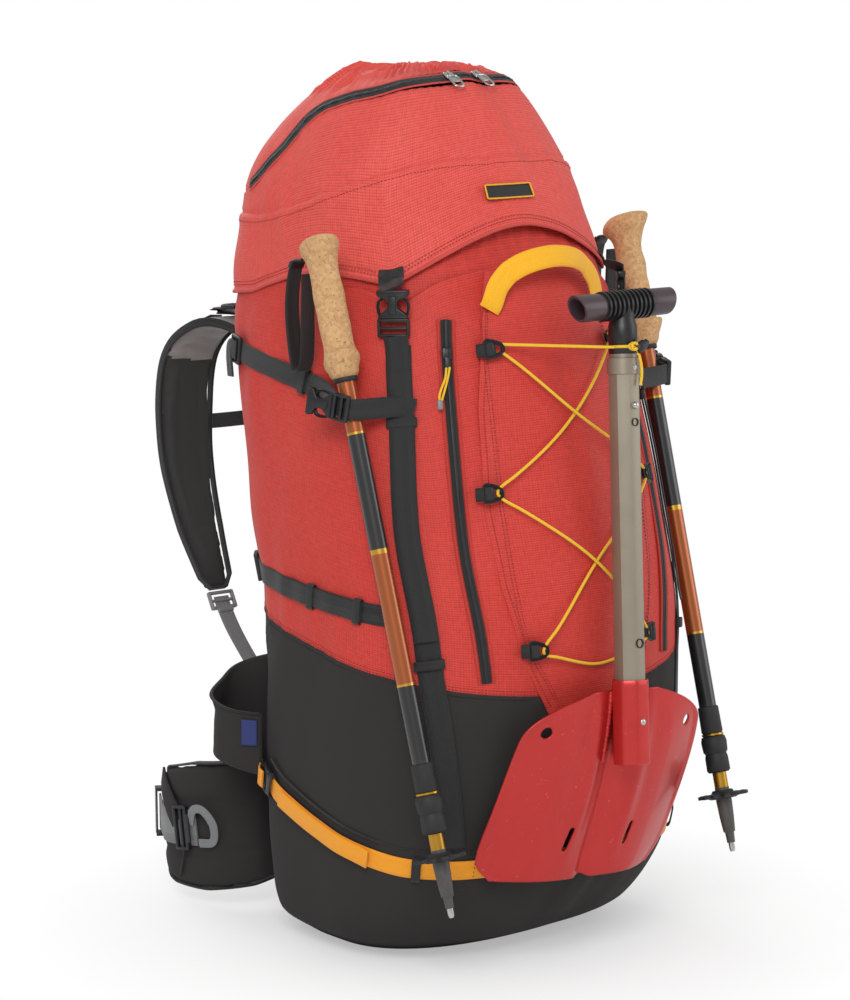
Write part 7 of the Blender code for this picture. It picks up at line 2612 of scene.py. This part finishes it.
    def socket(self) -> None:
        """Builds the blade's socket and the weld beads that hold it."""
        outer, bore = self.shaft_radius + self.socket_wall, self.shaft_radius + 0.6 * MM
        start, last = self.socket_start, self.socket_end + 0.010
        rows = [(start + (last - start) * k / 24, outer) for k in range(24)]
        made = lathe([
            (start - 0.006, bore), (start - 0.006, outer - 0.5 * MM), (start - 0.005, outer), *rows,
            (last - 0.001, outer), (last, outer - 1 * MM), (last, 0.0), (self.socket_end + 0.002, 0.0),
            (self.socket_end, bore),
        ], 64)
        settle(placed(squash(made, self.socketed), self.placement()), "shovel_socket", RED_ALLOY)
        v, out = np.linspace(0.01, 0.38, 60), self.axes()[2]
        wobble = 0.6 * MM * np.sin(np.arange(60) * 1.9)
        for sign, word in ((-1, "left"), (1, "right")):
            edge = self.blade_point(sign * (outer - 1.0 * MM) / self.blade_half(v), v)
            line = edge + np.outer(2.6 * MM + wobble, out)
            settle(sweep(line, out, round_section(2.6 * MM, 10)), f"shovel_weld_{word}", RED_ALLOY)


# ------------------------------------------------------------------ harness
def rounded(piece: bpy.types.Object) -> bpy.types.Object:
    """Rounds a piece with a subdivision surface.

    Args:
        piece: The piece.

    Returns:
        The same piece.
    """
    rounder = piece.modifiers.new("round", "SUBSURF")
    rounder.levels = rounder.render_levels = 1
    return piece


def read_mesh(mesh: bpy.types.Mesh, what: str) -> Array:
    """Reads one vector of every vertex.

    Args:
        mesh: The mesh.
        what: Which vector: "co" or "normal".

    Returns:
        One row for each vertex.
    """
    values = np.empty(len(mesh.vertices) * 3)
    mesh.vertices.foreach_get(what, values)
    return values.reshape(-1, 3)


@dataclass
class Pad:
    """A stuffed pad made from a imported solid: its place, its skin and the line that it runs along."""

    node: str
    name: str
    body: str
    softness: float

    def make(self, cap: float, pressure: float = 3.0) -> None:
        """Makes the stuffed piece by blowing the solid's remeshed skin up as cloth.

        Args:
            cap: The furthest that a point may move, in metres.
            pressure: Cloth pressure.
        """
        made = bmesh.new()
        made.from_mesh(bpy.data.objects[self.node].data)
        bmesh.ops.remove_doubles(made, verts=made.verts, dist=0.00002)
        normals = {vert: vert.normal.copy() for vert in made.verts}
        for vert in made.verts:
            vert.co -= normals[vert] * 0.8 * MM
        self.piece = settle(made, self.name, MESH_FOAM, self.node, body=self.body)
        self.apply("REMESH", mode="VOXEL", voxel_size=4.0 * MM)
        self.apply("SMOOTH", factor=0.5, iterations=5)
        self.inflate(pressure, cap)

    def apply(self, kind: str, **settings: object) -> None:
        """Runs one modifier on the piece and keeps its result as the piece's mesh.

        Args:
            kind: The modifier's type.
            settings: Its properties.
        """
        modifier = self.piece.modifiers.new("step", kind)
        for key, value in settings.items():
            setattr(modifier, key, value)
        bpy.context.view_layer.update()
        fresh = self.result()
        self.piece.modifiers.clear()
        old, self.piece.data = self.piece.data, fresh
        bpy.data.meshes.remove(old)
        self.piece.data.shade_smooth()

    def result(self) -> bpy.types.Mesh:
        """A copy of the piece's mesh with its modifiers run."""
        graph = bpy.context.evaluated_depsgraph_get()
        return bpy.data.meshes.new_from_object(self.piece.evaluated_get(graph))

    def inflate(self, pressure: float, cap: float) -> None:
        """Blows the closed skin up as cloth for 20 frames, then limits how far it moved.

        Args:
            pressure: Cloth pressure.
            cap: The furthest that a point may move, in metres.
        """
        mesh, scene = self.piece.data, bpy.context.scene
        before = read_mesh(mesh, "co")
        cloth = self.piece.modifiers.new("stuffing", "CLOTH")
        cloth.settings.quality = 4
        cloth.settings.use_pressure = True
        cloth.settings.uniform_pressure_force = pressure
        cloth.settings.tension_stiffness = cloth.settings.compression_stiffness = 8.0
        cloth.settings.effector_weights.gravity = 0.0
        cloth.collision_settings.use_collision = False
        for frame in range(1, 21):
            scene.frame_set(frame)
        blown = self.result()
        move = read_mesh(blown, "co") - before
        self.piece.modifiers.clear()
        scene.frame_set(1)
        bpy.data.meshes.remove(blown)
        size = np.linalg.norm(move, axis=1, keepdims=True)
        move *= np.minimum(1.0, cap / np.maximum(size, 1e-9))
        mesh.vertices.foreach_set("co", (before + move).ravel())
        mesh.update()

    def dress(self, line: Array, out: Array, shift: Place, front: Finish, crest: float = -1.0) -> None:
        """Lays the weave along the pad, presses its channels and dresses its outer face.

        Args:
            line: The pad's middle line.
            out: Which way its outer face looks at each point of the line.
            shift: Gives each point's push out of the face, in metres, from (across, along).
            front: Finish of the outer face.
            crest: How far along the silver-faced cloth over its head reaches, in metres.
        """
        mesh = self.piece.data
        co, normal = read_mesh(mesh, "co"), read_mesh(mesh, "normal")
        fine = run_curve(line, 240)
        shares, known = np.linspace(0, 1, 240), np.linspace(0, 1, len(out))
        ups = unit(read_rows(shares, known, out))
        nearest = np.argmin(((co[:, None, :] - fine[None, :, :]) ** 2).sum(2), axis=1)
        ahead = unit(np.gradient(fine, axis=0))[nearest]
        gap = co - fine[nearest]
        across = (gap * np.cross(ahead, ups[nearest])).sum(1)
        along = nearest / 239 * walked(fine)[-1] + (gap * ahead).sum(1)
        facing = (normal * ups[nearest]).sum(1)
        push = shift(across, along) * np.abs(facing) ** 2
        mesh.vertices.foreach_set("co", (co + normal * push[:, None]).ravel())
        corner = np.empty(len(mesh.loops), int)
        mesh.loops.foreach_get("vertex_index", corner)
        layer = mesh.uv_layers.new(name="pad")
        layer.data.foreach_set("uv", np.stack([across, along], axis=1)[corner].ravel())
        mesh.materials.clear()
        for finish in (MESH_FOAM, front):
            mesh.materials.append(finish.material())
        if crest > 0:
            mesh.materials.append(SILVER_PACKCLOTH.material())
        for polygon in mesh.polygons:
            around = list(polygon.vertices)
            outward = np.mean(facing[around])
            at_head = np.mean(along[around]) < crest and abs(outward) > 0.35
            polygon.material_index = 2 if at_head else int(outward > 0.25)
        mesh.update()
        rounded(self.piece)

    def flip(self, node: str, name: str, body: str) -> None:
        """Copies the finished left pad to the right side.

        Args:
            node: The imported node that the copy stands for.
            name: Its name.
            body: The body that carries it.
        """
        made = bmesh.new()
        made.from_mesh(self.piece.data)
        to_side(made, Side.RIGHT)
        mesh = bpy.data.meshes.new(name)
        made.to_mesh(mesh)
        made.free()
        for material in self.piece.data.materials:
            mesh.materials.append(material)
        mesh.shade_smooth()
        copy = adopt(mesh, name)
        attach(copy, body)
        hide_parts(node)
        rounded(copy)


@dataclass
class Harness:
    """Padded shoulder straps, back panel, lumbar pad, hipbelt wings and their webbing."""

    shoulder_route: tuple[Triple, ...] = (
        (-0.050, 0.2100, 0.566), (-0.064, 0.262, 0.590), (-0.078, 0.303, 0.583), (-0.088, 0.333, 0.545),
        (-0.092, 0.335, 0.460), (-0.094, 0.312, 0.385), (-0.095, 0.274, 0.312),
    )
    shoulder_widths: tuple[float, ...] = (0.052, 0.062, 0.068, 0.068, 0.062, 0.052, 0.034)
    shoulder_thick: float = 12 * MM
    wing_route: tuple[Triple, ...] = (
        (-0.100, 0.150, 0.094), (-0.142, 0.163, 0.089), (-0.168, 0.198, 0.083), (-0.170, 0.248, 0.076),
        (-0.146, 0.290, 0.070),
    )
    wing_widths: tuple[float, ...] = (0.118, 0.132, 0.134, 0.122, 0.090)
    wing_thick: float = 16 * MM
    web_end: Triple = (-0.106, 0.124, 0.178)
    # webbing widths are in millimetres, as the moulded fittings take them
    thin: float = 20
    belt_web: float = 38
    pocket_turns: tuple[float, ...] = (121.5, 123.5, 126, 129, 132, 134.5, 137, 139)
    pocket_foot: float = 0.162

    def build(self) -> None:
        """Builds the harness."""
        self.shoulders()
        self.back_pads()
        self.wings()
        for side in Side:
            self.lifter(side)
            self.shoulder_webbing(side)
            self.belt_webbing(side)
            self.belt_trim(side)
            self.side_pocket(side)
        self.pocket_tab()
        self.sternum()

    # ---- padding
    def shoulder_line(self, count: int) -> tuple[Array, Array]:
        """Middle line of the left shoulder strap, and the way its inner face looks."""
        line = run_curve(self.shoulder_route, count)
        return line, unit(-np.cross(unit(np.gradient(line, axis=0)), np.array([-1.0, 0.0, 0.0])))

    def wing_line(self, count: int) -> tuple[Array, Array]:
        """Gives the middle line of the left wing.

        Args:
            count: How many points.

        Returns:
            The points, and the way its outer face looks at each.
        """
        line = run_curve(self.wing_route, count)
        ahead = unit(np.gradient(line, axis=0))
        return line, unit(np.stack([-ahead[:, 1], ahead[:, 0], np.zeros(count)], axis=1))

    def binding(self, line: Array, normals: Array, table: Sequence[float], wide: float) -> Mesh:
        """Makes the bound edge of a pad: down one side, round its free end and up the other.

        Args:
            line: The pad's middle line.
            normals: The way its face looks, along the line.
            table: The pad's widths at even steps along the line.
            wide: Width of the binding.

        Returns:
            The binding's bmesh.
        """
        count = len(line)
        widths = np.interp(np.linspace(0, 1, count), np.linspace(0, 1, len(table)), table)
        ahead = unit(np.gradient(line, axis=0))
        side = np.cross(ahead, normals)
        half = (widths * 0.4875)[:, None]
        keep = count - max(2, int(0.22 * table[-1] / np.linalg.norm(line[-1] - line[-2])))
        end = line[-1] - ahead[-1] * 0.6 * MM
        round_end = [end + side[-1] * half[-1] * share for share in (0.55, -0.55)]
        rim = np.vstack([(line + side * half)[1:keep], round_end, (line - side * half)[1:keep][::-1]])
        near = np.linalg.norm(rim[:, None] - line[None], axis=2).argmin(axis=1)
        near = np.minimum(near, keep - 1)
        out = rim - line[near]
        out = unit(out - normals[near] * np.sum(out * normals[near], axis=1)[:, None])
        return tape(rim, out, wide, 2.3 * MM, -0.6 * MM)

    def shoulder_channels(self, across: Array, along: Array) -> Array:
        """How far a shoulder strap's seams press in, from metres across and along it."""
        return -0.9 * MM * (hump(np.abs(across), 0.012, 0.0022) + hump(along, 0.335, 0.003))

    def back_channels(self, start: float, rows: Sequence[float], across: Array, along: Array) -> Array:
        """Tells how far the seams of a back pad press in.

        Args:
            start: Height of the pad's foot.
            rows: Heights of its level seams.
            across: Metres across it.
            along: Metres up it.

        Returns:
            The push out of its face.
        """
        sunk = 2.4 * hump(np.abs(across), 0.026, 0.005)
        for row in rows:
            sunk = sunk + 2.0 * hump(along + start, row, 0.005) * (np.abs(across) > 0.026)
        return -sunk * MM

    def wing_channels(self, across: Array, along: Array) -> Array:
        """How far a wing's cloth billows and its seams press in, from metres across and along it."""
        sunk = 2.2 * hump(np.abs(np.abs(across) - 0.027), 0.0, 0.0035) * step(along, 0.02, 0.05)
        return (1.4 * lattice(71, across * 30 + 9, along * 26 + 9) - sunk) * MM

    def shoulders(self) -> None:
        """Builds both shoulder straps: foam between packcloth and mesh, bound at the edge."""
        line, normals = self.shoulder_line(60)
        pad = Pad("shoulder_strap_left", "shoulder_pad_left", "pack", 0.55)
        pad.make(3.0 * MM)
        pad.dress(line, -normals, self.shoulder_channels, BLACK_CANVAS, 0.150)
        pad.flip("shoulder_strap_right", "shoulder_pad_right", "pack")
        for side in Side:
            edge = self.binding(line, normals, self.shoulder_widths, 9.5 * MM)
            settle(edge, "shoulder_binding", BLACK_BINDING, side=side)
            daisy = tape(line[14:44] - normals[14:44] * 8.2 * MM, -normals[14:44], self.thin * MM, 1.5 * MM)
            settle(daisy, "shoulder_daisy", BLACK_WEBBING, side=side)

    def back_pads(self) -> None:
        """Builds the back panel with two sewn channels, and the lumbar pad below it."""
        for node, name, rows in (
            ("back_panel", "back_panel_pad", (0.26, 0.34, 0.42, 0.50)), ("lumbar_pad", "lumbar_pad_cover", (0.122,))
        ):
            low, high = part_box(node)
            z = np.linspace(low.z + 0.004, high.z - 0.004, 30)
            middle = FORM.raw(np.full(30, 180.0), z) + FRONT_BACK * 0.0012
            pad = Pad(node, name, "pack", 0.6)
            pad.make(4.0 * MM)
            pad.dress(middle, np.tile(FRONT_BACK, (30, 1)), partial(self.back_channels, z[0], rows), MESH_FOAM)

    def wings(self) -> None:
        """Builds both hipbelt wings: canvas outside, mesh inside, sewn channels and a bound edge."""
        line, normals = self.wing_line(50)
        pad = Pad("hipbelt_wing_left", "hip_pad_left", "wing_left", 0.6)
        pad.make(4.0 * MM)
        pad.dress(line, normals, self.wing_channels, BLACK_CANVAS)
        pad.flip("hipbelt_wing_right", "hip_pad_right", "wing_right")
        for side in Side:
            edge = self.binding(line, normals, self.wing_widths, 12 * MM)
            settle(edge, "hip_binding", BLACK_BINDING, body="wing", side=side)

    # ---- webbing
    def lifter(self, side: Side) -> None:
        """Builds a short load-lifter strap, its ladder lock and the tab that it pulls.

        Args:
            side: Which of the two.
        """
        low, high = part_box(f"load_lifter_{side.word}")
        start = np.array([-0.066 * side.value, low.y + 0.0005, high.z - 0.0018])
        end = np.array([-0.080 * side.value, high.y - 0.0005, low.z + 0.0002])
        line = run_curve([start, (start + end) / 2 + UP * 0.0008, end], 20)
        band, placed_already = tape(line, UP, self.thin * MM), {"side": side, "flip": False}
        settle(band, "lifter_webbing", BLACK_WEBBING, "load_lifter", slot="black_webbing", **placed_already)
        place = axes_matrix(line[14] + UP * 2.6 * MM, (1, 0, 0), line[16] - line[12])
        settle(placed(Fitting.ladder(self.thin), place), "lifter_lock", BLACK_ACETAL, **placed_already)
        pad, out = self.shoulder_line(60)
        grip = end * np.array([float(side.value), 1.0, 1.0])
        k = int(np.linalg.norm(pad - grip, axis=1).argmin())
        foot = pad[k - 3] - out[k - 3] * (self.shoulder_thick / 2 + 1.2 * MM)
        root = pad[k - 8] - out[k - 8] * (self.shoulder_thick / 2 + 1.0 * MM)
        fold = [grip + np.array([0.002, -0.014, 0.0004]), grip, grip + np.array([0.0, 0.003, -0.004]), foot, root]
        tab = tape(run_curve(fold, 24), np.array([0.0, -0.2, 1.0]), (self.thin - 2) * MM, 1.5 * MM)
        settle(tab, "lifter_tab", BLACK_WEBBING, side=side)

    def shoulder_webbing(self, side: Side) -> None:
        """Builds the grey webbing from the foot of the sack up to the ladder lock under a shoulder strap.

        Args:
            side: Which of the two.
        """
        path, normals = self.shoulder_line(22)
        ahead, normal, end = unit(path[-1] - path[-3]), normals[-1], np.array(self.web_end)
        lock = path[-1] + ahead * 13.5 * MM
        line = run_curve([
            lock - ahead * 4 * MM, lock + ahead * 10 * MM, lock + ahead * 45 * MM - FRONT_BACK * 0.010,
            end + np.array([0.004, 0.030, 0.020]), end,
        ], 60)
        band = tape(line, normal, (self.thin - 1) * MM, lift=-WEB_THICK / 2)
        settle(band, "shoulder_web", GREY_WEBBING, "shoulder_webbing", slot="grey_webbing", side=side)
        frame = placed(Fitting.ladder(self.thin + 4), axes_matrix(lock, np.cross(ahead, normal), ahead))
        settle(frame, "shoulder_ladder", GREY_ACETAL, side=side)

    def sternum(self) -> None:
        """Builds the chest strap, with its clip in the middle and a slider at each end."""
        low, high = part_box("sternum_strap")
        reach = high.x - 0.012
        x = np.linspace(-reach, reach, 60)
        bow = (x / reach) ** 2
        y = high.y - 0.0022 - (high.y - low.y - 0.006) * bow
        line = np.stack([x, y, (low.z + high.z) / 2 - 0.002 * (1 - bow)], axis=1)
        band = tape(line, FRONT_BACK, 16 * MM, lift=-WEB_THICK / 2)
        settle(band, "chest_strap", BLACK_WEBBING, "sternum_strap", slot="black_webbing")
        clips = [
            placed(Fitting.ladder(14), axes_matrix(line[k], (0, 0, 1), (sign, 0, 0))) for k, sign in ((1, -1), (58, 1))
        ]
        middle = axes_matrix(line[34] + FRONT_BACK * 0.002, (0, 0, 1), (1, 0, 0)) @ Matrix.Scale(0.72, 4)
        clips.append(placed(merge([Fitting.socket(12), Fitting.tongue(12)]), middle))
        settle(merge(clips), "chest_strap_clips", BLACK_ACETAL)

    def belt_webbing(self, side: Side) -> None:
        """Builds the belt webbing over a wing's outer face, free at its end to the buckle's half.

        Args:
            side: Which of the two.
        """
        path, normals = self.wing_line(17)
        points = path[8:] + normals[8:] * (self.wing_thick / 2 + 1.5 * MM)
        ahead = unit(path[-1] - path[-2])
        run = [points[-1] + ahead * (56 * MM * k / 3) for k in (1, 2, 3)]
        line = run_curve(np.vstack([points, run]), 60)
        ups = run_curve(np.vstack([normals[8:], [normals[-1]] * 3]), 60)
        band = tape(line, unit(ups), self.belt_web * MM, 2.0 * MM)
        settle(band, "belt_web", GREY_WEBBING, "belt_webbing", body="wing", slot="black_webbing", side=side)
        place = seat(line, ups, 7, 4.0 * MM, unit(line[2] - line[8]))
        settle(placed(Fitting.ladder(self.belt_web), place), "belt_ladder", BLACK_ACETAL, body="wing", side=side)

    def on_wing(self, points: Sequence[Triple], wide: float, thick: float) -> Mesh:
        """Lays a band on the left wing's outer face.

        Args:
            points: (share along, millimetres up, millimetres off the face) where it passes.
            wide: Its width, in millimetres.
            thick: Its thickness, in millimetres.

        Returns:
            The band.
        """
        line, normals = self.wing_line(101)
        up = np.cross(unit(np.gradient(line, axis=0)), normals)
        up = up * np.sign(up[:, 2:3])
        places = [(int(round(share * 100)), high * MM, out * MM) for share, high, out in points]
        path = [line[k] + up[k] * high + normals[k] * (self.wing_thick / 2 + out) for k, high, out in places]
        faces = run_curve([normals[k] for k, _, _ in places], 50)
        return tape(run_curve(path, 50), unit(faces), wide * MM, thick * MM)

    def belt_trim(self, side: Side) -> None:
        """Builds the sewn cover band, the seam and the grey stabiliser loop on a wing's outer face.

        Args:
            side: Which of the two.
        """
        curl = [
            (0.53, 4, 4.0), (0.49, 19, 7.0), (0.43, 20, 10.0), (0.39, 4, 9.0), (0.41, -14, 5.0), (0.49, -16, 2.4)
        ]
        for name, finish, points, wide, thick in (
            ("hip_cover", BLACK_CANVAS, [(0.80, 50, 1.2), (0.74, 38, 1.8), (0.68, 20, 2.0), (0.63, 6, 1.6)], 26, 2.4),
            ("hip_seam", BLACK_BINDING, [(0.60, -22, 0.8), (0.63, -38, 0.8), (0.66, -52, 0.5)], 3.0, 2.0),
            ("hip_loop", GREY_WEBBING, curl, 9, 1.6),
        ):
            settle(self.on_wing(points, wide, thick), name, finish, body="wing", side=side)

    def pocket_point(self, side: Side, u: Array, v: Array) -> Array:
        """Gives points of a side pocket's cloth, bulged at its middle.

        Args:
            side: Which of the two.
            u: 0 to 1 across it, towards the back.
            v: 0 to 1 up it.

        Returns:
            The points.
        """
        table = np.interp(np.linspace(0, 1, 57), np.linspace(0, 1, 8), self.pocket_turns)
        turn = np.interp(u, np.linspace(0, 1, 57), table)
        across = np.abs(u * 2 - 1)
        z = self.pocket_foot + (0.226 + 0.048 * u**1.5 - self.pocket_foot) * v
        bulge = (1 - across**2.6) * np.sin(np.pi / 2 * np.clip(v / 0.25, 0, 1)) ** 0.7 * 0.050
        soft = lattice(81, u * 5, v * 5) * 2.6 * MM * (1 - across**4)
        return FORM.off(turn, z, 3.2 * MM + bulge + soft) * np.array([side.value, 1.0, 1.0])

    def side_pocket(self, side: Side) -> None:
        """Builds the open-topped canvas pocket beside the harness, hemmed at its mouth.

        Args:
            side: Which of the two.
        """
        placed_already = {"side": side, "flip": False}
        made = sheet_grid(70, 50, partial(self.pocket_point, side), (0.16, 0.11))
        piece = settle(
            made, "side_pocket_cloth", BLACK_CANVAS, "side_pocket", slot="black_canvas", **placed_already
        )
        thicken(piece, 2.0 * MM)
        u = np.linspace(0.01, 0.99, 60)
        rim = self.pocket_point(side, u, np.ones(60))
        outward = unit(rim - self.pocket_point(side, u, np.full(60, 0.9)))
        settle(tape(rim, outward, 4.0 * MM, 2.4 * MM, -1.2 * MM), "side_pocket_hem", BLACK_BINDING, **placed_already)

    def tab_point(self, u: Array, v: Array) -> Array:
        """Points of the flat tab sewn on the left pocket, from shares across and up it."""
        return self.pocket_point(Side.LEFT, 0.012 + 0.070 * u, 0.50 + 0.40 * v) + np.array([-2.4, -0.6, 0.0]) * MM

    def pocket_tab(self) -> None:
        """Builds the tab on the left pocket."""
        tab = settle(sheet_grid(10, 14, self.tab_point, (0.012, 0.026)), "side_pocket_tab", NAVY_TAPE)
        thicken(tab, 1.0 * MM)


# ------------------------------------------------------------------- studio
@dataclass
class Studio:
    """A pale floor, soft lamps and a long-lens camera a little above the pack's middle."""

    aim: Triple = (0.0, 0.0, 0.430)
    azimuth: float = -40.0
    elevation: float = 9.5
    distance: float = 3.5
    lens: float = 126.0
    sensor: float = 36.0
    shift: float = -0.031
    lamps: tuple[tuple[str, Triple, float, float], ...] = (
        ("key", (-2.1, -2.0, 2.4), 1.6, 54.0),
        ("fill", (2.2, -1.9, 1.3), 2.0, 17.0),
        ("back", (0.3, 2.2, 2.2), 1.8, 22.0),
    )

    def build(self) -> None:
        """Builds camera, floor, lamps and surroundings."""
        self.camera()
        self.floor()
        for name, place, size, power in self.lamps:
            self.lamp(name, place, size, power)
        self.surround()

    def camera(self) -> None:
        """Builds the camera, aimed at the pack's middle."""
        data = bpy.data.cameras.new("camera")
        data.lens, data.sensor_width, data.shift_x = self.lens, self.sensor, self.shift
        turn, rise = math.radians(self.azimuth), math.radians(self.elevation)
        away = Vector((math.sin(turn) * math.cos(rise), -math.cos(turn) * math.cos(rise), math.sin(rise)))
        bpy.context.scene.camera = self.aimed("camera", data, Vector(self.aim) + away * self.distance, self.aim)

    def lamp(self, name: str, place: Triple, size: float, power: float) -> None:
        """Builds a round soft lamp that looks at the pack.

        Args:
            name: The lamp's name.
            place: Where it hangs.
            size: Its width, in metres.
            power: Its power, in watts.
        """
        data = bpy.data.lights.new(name, "AREA")
        data.shape, data.size, data.energy = "DISK", size, power
        self.aimed(name, data, Vector(place), (0, 0, 0.4))

    def aimed(self, name: str, data: bpy.types.ID, place: Vector, aim: Triple) -> bpy.types.Object:
        """Puts a camera or lamp in the scene, looking at a point.

        Args:
            name: Its name.
            data: Its settings.
            place: Where it stands.
            aim: What it looks at.

        Returns:
            The new object.
        """
        thing = bpy.data.objects.new(name, data)
        thing.location = place
        thing.rotation_euler = (Vector(aim) - place).to_track_quat("-Z", "Y").to_euler()
        bpy.context.scene.collection.objects.link(thing)
        return thing

    def floor(self) -> None:
        """Builds a pale floor that keeps the pack's soft shadow, and fades to white away from it."""
        made = bmesh.new()
        bmesh.ops.create_grid(made, x_segments=1, y_segments=1, size=30.0)
        bmesh.ops.translate(made, vec=(0, 0, -0.5 * MM), verts=made.verts)
        floor = finish_mesh(made, "floor", Finish("pale_floor_paint", "#f4f4f4", 0.9))
        floor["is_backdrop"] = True
        tree = floor.data.materials[0].node_tree
        shader = tree.nodes["Principled BSDF"]
        shader.inputs["Specular IOR Level"].default_value = 0.1
        seen = add_node(tree, "LightPath", out="Is Camera Ray")
        glow = add_node(tree, "Emission", {"Color": (1.0, 1.0, 1.0, 1.0), "Strength": 1.0})
        far = add_node(tree, "VectorMath LENGTH", add_node(tree, "TexCoord", out="Object"), out="Value")
        fade = add_node(tree, "Math MULTIPLY", add_node(tree, "MapRange", far, 0.14, 0.44, 0.40, 1.0), seen)
        mixed = add_node(tree, "MixShader", fade, shader.outputs[0], glow)
        tree.links.new(mixed, tree.nodes["Material Output"].inputs[0])

    def surround(self) -> None:
        """Builds an even pale surround, brighter to the camera than to the pack."""
        world = bpy.context.scene.world or bpy.data.worlds.new("surround")
        bpy.context.scene.world = world
        world.use_nodes = True
        tree = world.node_tree
        shader = tree.nodes.get("Background") or add_node(tree, "Background").node
        seen = add_node(tree, "LightPath", out="Is Camera Ray")
        strength = add_node(tree, "Math MULTIPLY_ADD", seen, 0.45, 0.55)
        feed(tree, shader, {"Color": (1.0, 1.0, 1.0, 1.0), "Strength": strength})


def corners() -> list[list[float]]:
    """The whole object's lowest and highest corners, as plain numbers."""
    return [[float(value) for value in corner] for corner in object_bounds()]


def dress_solids(nodes: dict[str, bpy.types.Object]) -> None:
    """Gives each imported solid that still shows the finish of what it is.

    Args:
        nodes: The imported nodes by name.
    """
    finishes = {"frame_sheet": WHITE_SHEET, "frame_hoop": BARE_ALLOY}
    for name, node in nodes.items():
        if not node.hide_render:
            node.data.materials.clear()
            node.data.materials.append(finishes.get(name, BLACK_ACETAL).material())


def main() -> None:
    """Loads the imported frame, sets the scene and dresses every sub-assembly."""
    logging.basicConfig(level=logging.INFO, format="%(name)s: %(message)s")
    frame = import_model()
    bpy.context.scene.view_settings.view_transform = "Standard"
    Studio().build()
    for assembly in (Sack(), FrontPocket(), Lid(), Webbing(), Lacing(), Sliders(), Pole(), Shovel(), Harness()):
        LOG.info("building %s", type(assembly).__name__)
        assembly.build()
    dress_solids(frame["nodes"])


if __name__ == "__main__":
    main()
